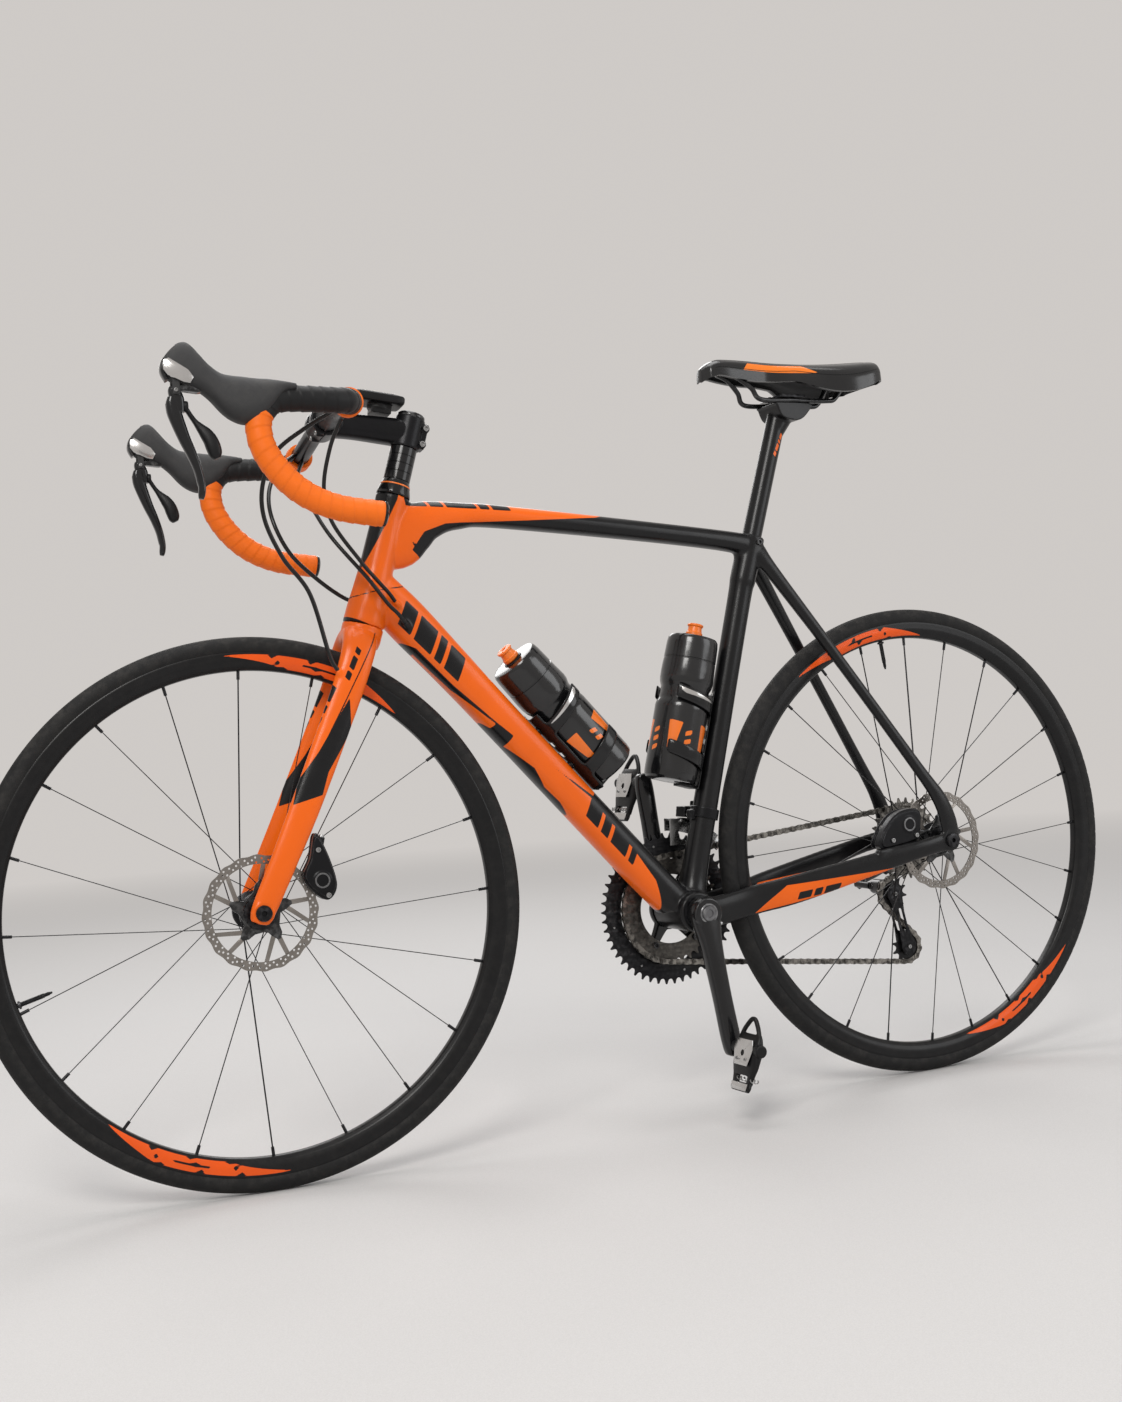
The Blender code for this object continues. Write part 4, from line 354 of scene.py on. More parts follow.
def block(centre, axes, sizes):
    """A box turned to three directions."""
    a, b, c = (Vector(axis) * (size / 2) for axis, size in zip(axes, sizes))
    centre = Vector(centre)
    return loft([[centre - a - b + k * c, centre + a - b + k * c, centre + a + b + k * c, centre - a + b + k * c]
                 for k in (-1, 1)])


# %% From shapes to finished meshes


def settle(obj):
    """Turns an object and its modifiers into a plain mesh."""
    made = bpy.data.meshes.new_from_object(obj.evaluated_get(bpy.context.evaluated_depsgraph_get()))
    obj.modifiers.clear()
    obj.data = made
    return obj


def build(name, shells, bevel=0.0, sharp=35):
    """One mesh from closed shells, its edges softened by a bevel."""
    verts, faces, first = [], [], 0
    for v, f in shells:
        verts.append(np.asarray(v, float))
        faces += [[i + first for i in face] for face in f]
        first += len(v)
    mesh = bpy.data.meshes.new(name)
    mesh.from_pydata(np.vstack(verts), [], faces)
    bm = bmesh.new()
    bm.from_mesh(mesh)
    bmesh.ops.recalc_face_normals(bm, faces=bm.faces)
    bm.to_mesh(mesh)
    bm.free()
    obj = bpy.data.objects.new(name, mesh)
    scene.collection.objects.link(obj)
    if bevel:
        step = obj.modifiers.new("edge", "BEVEL")
        step.width, step.segments, step.limit_method, step.angle_limit = bevel, 2, "ANGLE", radians(40)
        settle(obj)
    obj.data.shade_smooth()
    obj.data.set_sharp_from_angle(angle=radians(sharp))
    return obj


def melted(name, shells, voxel, rounds=3, cuts=()):
    """Closed shells melted into one moulded body, with bores cut afterwards so that their edges stay crisp."""
    obj = build(name, shells)
    step = obj.modifiers.new("melt", "REMESH")
    step.mode, step.voxel_size = "VOXEL", voxel
    step = obj.modifiers.new("calm", "SMOOTH")
    step.factor, step.iterations = 0.5, rounds
    settle(obj)
    for one in cuts:
        tool = build(name + "_cutter", [one])
        step = obj.modifiers.new("bore", "BOOLEAN")
        step.operation, step.solver, step.object = "DIFFERENCE", "EXACT", tool
        settle(obj)
        bpy.data.objects.remove(tool)
    obj.data.shade_smooth()
    obj.data.set_sharp_from_angle(angle=radians(60 if cuts else 180))
    return obj


def corners(obj):
    """Every vertex of a mesh as an array."""
    co = np.zeros(len(obj.data.vertices) * 3, np.float32)
    obj.data.vertices.foreach_get("co", co)
    return co.reshape(-1, 3).astype(float)


def noted(obj, name, values):
    """Writes a number or a direction for each vertex, for a material or a node tree to read."""
    values = np.array(values, np.float32)
    kind, field = ("FLOAT_VECTOR", "vector") if values.ndim > 1 else ("FLOAT", "value")
    obj.data.attributes.new(name, kind, "POINT").data.foreach_set(field, values.ravel())
    return obj


FRONT_END = ("steering", "front_wheel", "lever_", "shift_")
count_faces = {}


def dress(obj, body, look, nodes=()):
    """Gives a piece its finish and hands it to its body."""
    obj.data.materials.clear()
    for one in look if isinstance(look, list) else [look]:
        obj.data.materials.append(one)
    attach(obj, body)
    if nodes:
        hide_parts(*nodes)
    count_faces[obj.name] = len(obj.data.polygons)
    return obj


def place_piece(obj, body, look, nodes=()):
    """Turns a front-end piece as it stands, and dresses it."""
    if body.startswith(FRONT_END):
        obj.data.transform(AT_REST)
    return dress(obj, body, look, nodes)


# %% [markdown]
# ## Finishes
# A finish on a bike is rarely one colour. Each material here starts from its base colour and roughness and then
# passes through shared groups: one makes the surface slightly uneven, one rubs the edges bright or pale, and one lays
# a little dust on what faces up. The groups only put out colours, masks and heights, so each material keeps its own
# shader.

# %% The shared groups


def group(name, ins, outs, kind="ShaderNodeTree"):
    """A node group with named sockets."""
    made = bpy.data.node_groups.new(name, kind)
    for label, sort, value in ins:
        sock = made.interface.new_socket(label, in_out="INPUT", socket_type=sort)
        if value is not None:
            sock.default_value = value
    for label, sort in outs:
        made.interface.new_socket(label, in_out="OUTPUT", socket_type=sort)
    return made, add(made, "NodeGroupInput").outputs, add(made, "NodeGroupOutput").inputs


NUMBER, COLOUR, POINT = "NodeSocketFloat", "NodeSocketColor", "NodeSocketVector"

uneven, given, out = group(
    "Uneven surface",
    [("Place", POINT, None), ("Colour", COLOUR, (0.5, 0.5, 0.5, 1)), ("Shade", COLOUR, (0.4, 0.4, 0.4, 1)),
     ("Cloud size", NUMBER, 20.0),
     ("Cloud share", NUMBER, 0.5), ("Grain size", NUMBER, 600.0), ("Rough low", NUMBER, 0.3),
     ("Rough high", NUMBER, 0.5)],
    [("Colour", COLOUR), ("Roughness", NUMBER), ("Height", NUMBER)],
)
cloud = add(uneven, "ShaderNodeTexNoise",
            {"Vector": given["Place"], "Scale": given["Cloud size"], "Detail": 4.0}).outputs[0]
fine = add(uneven, "ShaderNodeTexNoise",
           {"Vector": given["Place"], "Scale": given["Grain size"], "Detail": 2.0}).outputs[0]
share = maths(uneven, "MULTIPLY", ramped(uneven, cloud, 0.35, 0.7), given["Cloud share"])
uneven.links.new(mixed(uneven, share, given["Colour"], given["Shade"]), out["Colour"])
rub = maths(uneven, "ADD", maths(uneven, "MULTIPLY", cloud, 0.6), maths(uneven, "MULTIPLY", fine, 0.4))
uneven.links.new(ramped(uneven, rub, 0.35, 0.65, given["Rough low"], given["Rough high"]), out["Roughness"])
uneven.links.new(fine, out["Height"])

worn, given, out = group(
    "Worn edges",
    [("Place", POINT, None), ("Colour", COLOUR, (0.5, 0.5, 0.5, 1)), ("Edge colour", COLOUR, (0.7, 0.7, 0.7, 1)),
     ("Amount", NUMBER, 0.5)],
    [("Colour", COLOUR), ("Mask", NUMBER)],
)
rim = ramped(worn, add(worn, "ShaderNodeNewGeometry").outputs["Pointiness"], 0.515, 0.6)
chips = ramped(worn, add(worn, "ShaderNodeTexNoise",
                         {"Vector": given["Place"], "Scale": 160.0, "Detail": 3.0}).outputs[0], 0.42, 0.62)
mask = maths(worn, "MULTIPLY", maths(worn, "MULTIPLY", rim, chips), given["Amount"])
worn.links.new(mixed(worn, mask, given["Colour"], given["Edge colour"]), out["Colour"])
worn.links.new(mask, out["Mask"])

dusty, given, out = group(
    "Dust",
    [("Place", POINT, None), ("Colour", COLOUR, (0.5, 0.5, 0.5, 1)), ("Dust colour", COLOUR, (0.3, 0.27, 0.24, 1)),
     ("Amount", NUMBER, 0.1)],
    [("Colour", COLOUR), ("Mask", NUMBER)],
)
normal = add(dusty, "ShaderNodeSeparateXYZ", {0: add(dusty, "ShaderNodeNewGeometry").outputs["Normal"]}).outputs["Z"]
specks = ramped(dusty, add(dusty, "ShaderNodeTexNoise",
                           {"Vector": given["Place"], "Scale": 70.0, "Detail": 6.0, "Roughness": 0.7}).outputs[0],
                0.45, 0.72)
mask = maths(dusty, "MULTIPLY", maths(dusty, "MULTIPLY", ramped(dusty, normal, -0.2, 0.9, 0.25, 1.0), specks),
             given["Amount"])
dusty.links.new(mixed(dusty, mask, given["Colour"], given["Dust colour"]), out["Colour"])
dusty.links.new(mask, out["Mask"])

woven, given, out = group("Woven threads", [("Place", POINT, None), ("Threads", NUMBER, 700.0)],
                          [("Mask", NUMBER), ("Height", NUMBER)])
turnover = add(woven, "ShaderNodeVectorRotate", {"Vector": given["Place"], "Angle": radians(45)},
               rotation_type="Y_AXIS").outputs[0]
over_threads = add(woven, "ShaderNodeTexWave", {"Vector": turnover, "Scale": given["Threads"], "Distortion": 0.4},
                   bands_direction="X").outputs[1]
under_threads = add(woven, "ShaderNodeTexWave", {"Vector": turnover, "Scale": given["Threads"], "Distortion": 0.4},
                    bands_direction="Z").outputs[1]
cross = maths(woven, "ABSOLUTE", maths(woven, "SUBTRACT", over_threads, under_threads))
woven.links.new(cross, out["Mask"])
woven.links.new(maths(woven, "MAXIMUM", over_threads, under_threads), out["Height"])
print("shared groups:", [g.name for g in bpy.data.node_groups])

# %% One recipe for most finishes


def finish(name, colour, shade, rough, metal=0.0, coat=0.0, cloud=(18.0, 0.6), grain=(700.0, 0.0004), edge=None,
           wear=0.4, dust=0.0, fields=(), weave=None, coat_rough=0.06, specular=0.5):
    """A material. fields are (attribute, colour): the colour shows where the attribute is above zero."""
    made = bpy.data.materials.new(name)
    made.use_nodes = True
    tree = made.node_tree
    shader = tree.nodes["Principled BSDF"]
    place = add(tree, "ShaderNodeTexCoord").outputs["Object"]
    base, dark = add(tree, "ShaderNodeRGB").outputs[0], add(tree, "ShaderNodeRGB").outputs[0]
    base.default_value, dark.default_value = (*colour, 1), (*shade, 1)
    for attribute, tint in fields:
        inside = ramped(tree, add(tree, "ShaderNodeAttribute", attribute_name=attribute).outputs["Fac"], -0.0002,
                        0.0002)
        base = mixed(tree, inside, base, (*tint, 1))
        dark = mixed(tree, inside, dark, (*(0.88 * c for c in tint), 1))
    body = add(tree, "ShaderNodeGroup", {
        "Place": place, "Colour": base, "Shade": dark, "Cloud size": cloud[0], "Cloud share": cloud[1],
        "Grain size": grain[0], "Rough low": rough[0], "Rough high": rough[1]}, node_tree=uneven)
    tint, roughness, height = (body.outputs[key] for key in ("Colour", "Roughness", "Height"))
    if weave:
        threads = add(tree, "ShaderNodeGroup", {"Place": place, "Threads": weave[0]}, node_tree=woven)
        tint = mixed(tree, maths(tree, "MULTIPLY", threads.outputs["Mask"], weave[1]), tint, (*weave[2], 1))
        height = maths(tree, "ADD", maths(tree, "MULTIPLY", height, 0.4), threads.outputs["Height"])
    if edge:
        rubbed = {"Place": place, "Colour": tint, "Edge colour": (*edge, 1), "Amount": wear}
        tint = add(tree, "ShaderNodeGroup", rubbed, node_tree=worn).outputs["Colour"]
    if dust:
        dirt = add(tree, "ShaderNodeGroup", {"Place": place, "Colour": tint, "Amount": dust}, node_tree=dusty)
        tint = dirt.outputs["Colour"]
        roughness = maths(tree, "ADD", roughness, maths(tree, "MULTIPLY", dirt.outputs["Mask"], 0.4))
    bump = add(tree, "ShaderNodeBump", {"Height": height, "Distance": grain[1], "Strength": 0.6})
    for key, value in (("Base Color", tint), ("Roughness", roughness), ("Normal", bump.outputs[0])):
        tree.links.new(value, shader.inputs[key])
    for key, value in (("Metallic", metal), ("Coat Weight", coat), ("Coat Roughness", coat_rough),
                       ("Specular IOR Level", specular)):
        shader.inputs[key].default_value = value
    made.diffuse_color = (*colour, 1)
    return made


ORANGE = (0.88, 0.135, 0.006)
BLACK = (0.005, 0.005, 0.0056)
painted = finish("frame_paint", BLACK, (0.006, 0.006, 0.0068), (0.26, 0.34), coat=0.1, specular=0.24,
                 fields=[("paint", ORANGE)], grain=(1500.0, 0.00006),
                 dust=0.02, coat_rough=0.14)
rim_paint = finish("rim_paint", (0.004, 0.004, 0.0044), (0.0062, 0.0062, 0.0068), (0.3, 0.4), coat=0.08, specular=0.22,
                   fields=[("patch", (0.84, 0.1, 0.008))],
                   grain=(1200.0, 0.00005), dust=0.04, coat_rough=0.14)
tyre_rubber = finish("tyre_rubber", (0.006, 0.006, 0.0064), (0.0125, 0.0122, 0.0118), (0.62, 0.8), cloud=(9.0, 0.8),
                     grain=(1400.0, 0.0003),
                     dust=0.12, specular=0.28)
hood_rubber = finish("hood_rubber", (0.0042, 0.0042, 0.0046), (0.0075, 0.0075, 0.008), (0.38, 0.5),
                     grain=(1800.0, 0.00025), dust=0.01, specular=0.24)
black_alloy = finish("black_alloy", (0.007, 0.007, 0.008), (0.012, 0.012, 0.014), (0.26, 0.38), metal=0.4,
                     edge=(0.2, 0.2, 0.21), wear=0.35,
                     grain=(1600.0, 0.00008), dust=0.01, specular=0.26)
gloss_alloy = finish("gloss_black_alloy", (0.0055, 0.0055, 0.006), (0.009, 0.009, 0.01), (0.12, 0.22), metal=0.2,
                     coat=0.3, coat_rough=0.05, specular=0.35,
                     edge=(0.5, 0.5, 0.5), wear=0.3, grain=(1000.0, 0.00003))
polished = finish("polished_alloy", (0.62, 0.61, 0.6), (0.48, 0.47, 0.46), (0.14, 0.26), metal=1.0,
                  grain=(1500.0, 0.00003), cloud=(60.0, 0.5))
grey_alloy = finish("grey_alloy", (0.15, 0.15, 0.155), (0.1, 0.1, 0.105), (0.26, 0.38), metal=0.9,
                    edge=(0.42, 0.42, 0.42), wear=0.5)
brushed_steel = finish("brushed_steel", (0.27, 0.25, 0.23), (0.17, 0.155, 0.14), (0.3, 0.44), metal=1.0,
                       grain=(2400.0, 0.0001), cloud=(90.0, 0.7),
                       dust=0.1)
chain_steel = finish("chain_steel", (0.055, 0.052, 0.048), (0.11, 0.1, 0.09), (0.28, 0.5), metal=0.9,
                     edge=(0.34, 0.32, 0.29), wear=0.7, cloud=(220.0, 0.8))
bolt_steel = finish("bolt_steel", (0.34, 0.34, 0.34), (0.22, 0.22, 0.22), (0.22, 0.36), metal=1.0,
                    edge=(0.6, 0.6, 0.6), wear=0.4)
dark_bolt = finish("dark_bolt", (0.03, 0.03, 0.032), (0.05, 0.05, 0.05), (0.26, 0.4), metal=0.8, edge=(0.3, 0.3, 0.3),
                   wear=0.4)
spoke_steel = finish("spoke_steel", (0.016, 0.016, 0.018), (0.03, 0.03, 0.032), (0.25, 0.38), metal=0.7,
                     cloud=(40.0, 0.6))
plastic = finish("black_plastic", (0.005, 0.005, 0.0055), (0.0085, 0.0085, 0.0092), (0.32, 0.45),
                 grain=(1900.0, 0.00015), edge=(0.05, 0.05, 0.05), wear=0.4, dust=0.01, specular=0.25)
gloss_plastic = finish("gloss_plastic", (0.0055, 0.0055, 0.006), (0.009, 0.009, 0.01), (0.12, 0.22), coat=0.2,
                       specular=0.3, grain=(1100.0, 0.00004))
hose_skin = finish("hose_skin", (0.0055, 0.0055, 0.0055), (0.009, 0.009, 0.009), (0.22, 0.34), coat=0.1, specular=0.3,
                   grain=(900.0, 0.00005))
orange_plastic = finish("orange_plastic", (0.9, 0.2, 0.02), (0.8, 0.15, 0.015), (0.28, 0.42), grain=(1300.0, 0.0001))
print("materials:", len(bpy.data.materials))

# %% [markdown]
# ## The frame
# A carbon frame is laid up in moulds, so its tubes flow into each other without lugs or welds. The same stations as
# the plain solid's are swept as smooth sections and melted into one skin. The paint is two colours that meet along
# sharp slanted lines. Each line is stored as a signed distance at every vertex, which the material reads as orange
# where it is positive, so the edge stays crisp however coarse the mesh is.

# %% Signed distances for painted fields


def inside(flat, polygon):
    """How far each flat point lies inside a polygon (negative outside it)."""
    p = np.asarray(flat, float)[:, None, :]
    a = np.array(polygon, float)[None]
    b = np.roll(a, -1, axis=1)
    d = b - a
    t = np.clip(((p - a) * d).sum(-1) / (d * d).sum(-1), 0, 1)
    away = np.linalg.norm(p - (a + d * t[..., None]), axis=-1).min(1)
    with np.errstate(divide="ignore", invalid="ignore"):
        reach = d[..., 0] * (p[..., 1] - a[..., 1]) / d[..., 1] + a[..., 0]
    crossed = ((a[..., 1] > p[..., 1]) != (b[..., 1] > p[..., 1])) & (p[..., 0] < reach)
    return np.where(crossed.sum(1) % 2, away, -away)


def beside(flat, line, half):
    """Positive on a line of that half width."""
    p = np.asarray(flat, float)[:, None, :]
    a, b = np.array(line[:-1], float)[None], np.array(line[1:], float)[None]
    d = b - a
    t = np.clip(((p - a) * d).sum(-1) / (d * d).sum(-1), 0, 1)
    return half - np.linalg.norm(p - (a + d * t[..., None]), axis=-1).min(1)


def fields_of(flat, orange, black=(), lines=()):
    """Orange polygons, with black polygons and (line, half width) pairs laid over them."""
    paint = np.full(len(flat), -1.0)
    for polygon in orange:
        paint = np.maximum(paint, inside(flat, polygon))
    for polygon in black:
        paint = np.minimum(paint, -inside(flat, polygon))
    for line, half in lines:
        paint = np.minimum(paint, -beside(flat, line, half))
    return paint


# %% Stations of the tubes
CLUSTER_Z, STEERER_BORE = 0.4464, 0.0147


def seat_line(z):
    """How far to the rear the seat tube's middle is at a height."""
    return BB.x + 0.006 + (z - BB.z) / tan(SEAT_ANGLE)


CLUSTER_X = seat_line(CLUSTER_Z) + 0.004


def post_point(z):
    """The seatpost's middle at a height: it leans back a little more than the tube below it."""
    return Vector((CLUSTER_X + (z - CLUSTER_Z) / tan(POST_ANGLE), 0, z))


HEAD_TUBE = [(0.374, 0.0262), (0.378, 0.0262), (0.396, 0.0256), (0.42, 0.0236), (0.449, 0.0218), (0.515, 0.0206),
             (0.535, 0.0212), (0.545, 0.0216)]
TOP_TUBE = [
    (CLUSTER_X + s * (on_steerer(HEAD_TOP).x - CLUSTER_X), 0, z, w, h)
    for s, z, w, h in (
        (1.0311, 0.4555, 0.035, 0.088), (0.9917, 0.4565, 0.036, 0.085), (0.9522, 0.4655, 0.037, 0.067),
        (0.9109, 0.4745, 0.038, 0.05),
        (0.8395, 0.4795, 0.038, 0.035), (0.6986, 0.4765, 0.038, 0.029), (0.08, 0.4409, 0.0326, 0.0282),
        (0.0147, 0.423, 0.03, 0.044),
    )
]
DOWN_TUBE = [
    (BB.x + s * (on_steerer(HEAD_LOW).x - BB.x), 0, z, w, h)
    for s, z, w, h in (
        (0.9588, 0.392, 0.04, 0.05), (0.8689, 0.349, 0.044, 0.057), (0.7421, 0.289, 0.046, 0.053),
        (0.5876, 0.214, 0.046, 0.05), (0.1886, 0.0205, 0.05, 0.049), (0.0457, -0.047, 0.056, 0.047),
    )
]
SEAT_TUBE = [(-0.046, 0.058, 0.046), (-0.018, 0.039, 0.037), (0.06, 0.034, 0.034), (0.345, 0.0325, 0.0325),
             (CLUSTER_Z - 0.06, 0.0356, 0.0356), (CLUSTER_Z, 0.0356, 0.0356)]
CHAIN_STAY = [
    (-0.392, 0.016, -0.063, 0.03, 0.048), (-0.366, 0.0245, -0.0655, 0.018, 0.041),
    (-0.297, 0.0262, -0.056, 0.0155, 0.0405),
    (-0.23, 0.044, -0.0443, 0.016, 0.0394), (-0.065, 0.072, -0.0108, 0.0125, 0.0262),
    (-0.004, 0.0757, -0.001, 0.0088, 0.026),
]
SEAT_STAY = [
    (-0.2486, 0.0108, 0.424, 0.014, 0.03), (-0.2265, 0.018, 0.391, 0.0145, 0.021),
    (-0.1388, 0.042, 0.258, 0.013, 0.0165),
    (-0.042, 0.0665, 0.108, 0.0125, 0.0175), (-0.012, 0.0735, 0.06, 0.0105, 0.024), (0.0, 0.0757, 0.024, 0.0086, 0.029),
    (0.001, 0.0757, -0.004, 0.0086, 0.027),
]
HANGER = [(-0.011, 0.004), (0.011, 0.004), (0.0185, -0.022), (0.0175, -0.035), (0.006, -0.038), (-0.001, -0.03)]
BRAKE_PAD = [(-0.118, -0.02), (-0.048, -0.01), (-0.046, 0.0045), (-0.052, 0.0045), (-0.112, -0.0025), (-0.12, -0.004)]
PORTS = (((0.0349, -0.0262, 0.0283), (-0.6, -0.42, 0.6)), ((0.0459, -0.0262, 0.0013), (-0.6, -0.42, 0.6)),
         ((0.0259, 0.0262, 0.0223), (-0.62, 0.42, 0.52)))

# %% Melt the frame
seat_rows = [(seat_line(z) if z < CLUSTER_Z - 0.065 else post_point(z).x, 0, z, w, h) for z, w, h in SEAT_TUBE]
shells = [
    turned(HEAD_TUBE, STEER_FOOT, STEER_AXIS, 64),
    swept(TOP_TUBE, 40, 2.4), swept(DOWN_TUBE, 40, 2.5), swept(seat_rows, 40, 2.1),
    pin(BB, Y, 0.04, 0.027, 48, 0.002),
    plate(HANGER, [], 0.0004, 0.0065, upright(Vector(), REAR_HALF)),
    plate(BRAKE_PAD, [], -0.005, 0.006, upright(Vector(), -0.066)),
]
for side in (-1, 1):
    shells += [swept(CHAIN_STAY, 28, 2.3, side), swept(SEAT_STAY, 28, 2.2, side),
               rod(Y * side * REAR_HALF, Y * side * (REAR_HALF + DROPOUT_WALL), 0.0152, 40, round_off=0.001)]
for mouth, way in PORTS:
    end, way = on_steerer(HEAD_LOW) + Vector(mouth), Vector(way).normalized()
    shells.append(rod(end - way * 0.012, end, 0.0036, 20))
bores = [
    rod(on_steerer(HEAD_LOW - 0.02), on_steerer(HEAD_TOP + 0.02), STEERER_BORE, 48), pin(BB, Y, 0.06, 0.0124, 40),
    rod(post_point(CLUSTER_Z - 0.082), post_point(CLUSTER_Z + 0.03), 0.014, 40),
]
frame_skin = melted("frame_skin", shells, 0.0021, 4, bores)
print("frame skin:", len(frame_skin.data.polygons), "faces")

# %% Paint the frame's fields
UPPER_BAND = [(-0.8129, 0.332), (-0.769, 0.3101), (-0.7221, 0.261), (-0.6673, 0.2105), (-0.6098, 0.1615),
              (-0.5353, 0.1048)]
orange = [
    [(-0.77, 0.54), (-0.7826, 0.4987), (-0.7995, 0.4678), (-0.8304, 0.4159), (-0.8506, 0.3807),
     (-0.87, 0.362)] + UPPER_BAND
    + [(-0.52, 0.118), (-0.6, 0.25), (-0.72, 0.4), (-0.765, 0.435), (-0.7478, 0.458), (-0.7178, 0.468),
       (-0.6955, 0.4692), (-0.6019, 0.4708),
       (-0.5494, 0.4722), (-0.5004, 0.474), (-0.455, 0.484), (-0.5, 0.5), (-0.7, 0.52)],
    [(-0.6437, 0.1927), (-0.5935, 0.1486), (-0.5405, 0.1039), (-0.4813, 0.0286), (-0.4528, -0.0142),
     (-0.4396, -0.0611), (-0.4579, -0.0404),
     (-0.513, 0.009), (-0.5227, 0.0179), (-0.5812, 0.1006), (-0.6013, 0.1218), (-0.6166, 0.1476), (-0.6542, 0.1787)],
    [(-0.7708, 0.3039), (-0.7225, 0.2546), (-0.6675, 0.2079), (-0.6735, 0.2032), (-0.7144, 0.2338), (-0.7573, 0.2843)],
    [(-0.3051, -0.0746), (-0.2591, -0.0398), (-0.0367, -0.0272), (-0.1506, -0.0484)],
    [(-0.1704, 0.1933), (-0.1591, 0.187), (-0.1344, 0.1589), (-0.139, 0.172)],
]


def slanted(at, way, length, high, lean):
    """A plain slanted bar, from its low front corner, along a direction."""
    way = Vector(way).normalized()
    over = Vector((-way.y, way.x)) * high + way * lean
    at = Vector(at)
    return [tuple(at), tuple(at + way * length), tuple(at + way * length + over), tuple(at + over)]


def bars(at, way, sizes, high, lean, gap):
    """A row of slanted bars."""
    at, way, found = Vector(at), Vector(way).normalized(), []
    for length in sizes:
        found.append(slanted(at, way, length, high, lean))
        at = at + way * (length + gap)
    return found


down_way = (0.6665, -0.7455)
black = bars((-0.7925, 0.342), (0.7, -0.714), (0.022, 0.03, 0.012, 0.026), 0.03, -0.012, 0.006)
black += bars((-0.549, 0.08), down_way, (0.024, 0.014, 0.03, 0.01), 0.022, -0.01, 0.006)
black += bars((-0.77, 0.492), (1, -0.06), (0.03, 0.018, 0.042, 0.014, 0.026), 0.009, -0.004, 0.004)
black += [[(-0.768, 0.448), (-0.741, 0.43), (-0.742, 0.414), (-0.751, 0.425)]]
black += bars((-0.245, -0.061), (1, 0.12), (0.02, 0.012, 0.024), 0.01, 0.004, 0.004)
lines = [([(-0.8515, 0.3771), (-0.8208, 0.3838), (-0.7804, 0.389)], 0.0008),
         ([(-0.77, 0.395), (-0.73, 0.356), (-0.665, 0.296)], 0.0006)]
spot = corners(frame_skin)
noted(frame_skin, "paint", fields_of(spot[:, [0, 2]], orange, black, lines))
place_piece(frame_skin, "frame", painted, ["frame"])

# %% [markdown]
# ## The fork
# The fork is one moulded arch: two legs, a crown and the steerer tube that runs up inside the head tube. It is built
# straight ahead, painted there, and turned last.

# %% Fork
FORK = [
    (-0.0125, 0.0515, 0.057, 0.01, 0.022), (0.004, 0.05, 0.057, 0.0122, 0.03), (0.0662, 0.0394, 0.0555, 0.013, 0.033),
    (0.1435, 0.0271, 0.05, 0.014, 0.037), (0.2726, 0.0101, 0.0415, 0.0165, 0.039), (0.318, 0.006, 0.0375, 0.019, 0.041),
    (0.344, 0.0045, 0.03, 0.023, 0.043), (0.356, 0.004, 0.016, 0.0285, 0.044),
]
arch = [(s, f, -y, t, d) for s, f, y, t, d in FORK] + [(0.358, 0.004, 0.0, 0.03, 0.044)] + [(s, f, y, t, d)
                                                                                            for s, f, y, t,
                                                                                            d in FORK[::-1]]
rows = flow([(*(on_steerer(s, f) + Y * y), t, d) for s, f, y, t, d in arch], 0.005)
rings = []
for i, (*at, thick, deep) in enumerate(rows):
    way = Vector(rows[min(i + 1, len(rows) - 1)][:3] - rows[max(i - 1, 0)][:3]).normalized()
    fore = (STEER_FORE - way * way.dot(STEER_FORE)).normalized()
    rings.append(oval(at, fore, way.cross(fore), deep, thick, 36, 2.3))
shells = [loft(rings), turned([(0.348, 0.024), (0.356, 0.0258), (HEAD_LOW - 0.0006, 0.0262),
                               (HEAD_LOW - 0.0003, 0.0258)], STEER_FOOT, STEER_AXIS, 56),
          rod(on_steerer(HEAD_LOW - 0.01), on_steerer(STEM_TOP - 0.003), 0.0142, 40)]
for side in (-1, 1):
    hub = FRONT_AXLE + Y * side * FRONT_HALF
    shells.append(rod(hub, hub + Y * side * FORK_WALL, 0.0137, 40, round_off=0.001))
FORK_PORT, FORK_PORT_WAY = on_steerer(0.306, 0.0265) - Y * 0.044, Vector((-0.42, -0.1, 0.9)).normalized()
shells.append(rod(FORK_PORT - FORK_PORT_WAY * 0.016, FORK_PORT, 0.0036, 20))
fork_skin = melted("fork_skin", shells, 0.0017, 4, [pin(FRONT_AXLE, Y, 0.08, 0.0063)])
spot = corners(fork_skin)[:, [0, 2]]
orange = [[(-1.1, -0.1), (-0.7, -0.1), (-0.7, 0.3735), (-1.1, 0.3735)]]
black = [[(-0.8663, 0.2498), (-0.867, 0.2096), (-0.9002, 0.1611), (-0.9096, 0.1341), (-0.9466, 0.125),
          (-0.9372, 0.1543), (-0.9105, 0.186)]]
black += bars((-0.908, 0.216), (0.5, 0.866), (0.014, 0.01, 0.02), 0.01, 0.004, 0.005)
black += bars((-0.865, 0.27), (0.45, 0.893), (0.01, 0.016, 0.008), 0.007, 0.003, 0.004)
lines = [([(-0.8223, 0.33), (-0.8748, 0.2409), (-0.9378, 0.1364)], 0.0008)]
noted(fork_skin, "paint", fields_of(spot, orange, black, lines))
place_piece(fork_skin, "steering", painted, ["fork"])
print("fork skin:", len(fork_skin.data.polygons), "faces")

# %% [markdown]
# ## Wheels
# A tyre and a rim are turned about the axle, so each is one profile. What repeats round a wheel, the spokes and their
# nipples, is drawn by a Geometry Nodes tree: it reads one edge for each spoke, sweeps an oval along it and stands a
# nipple on its outer end.

# %% Trees that repeat a shape


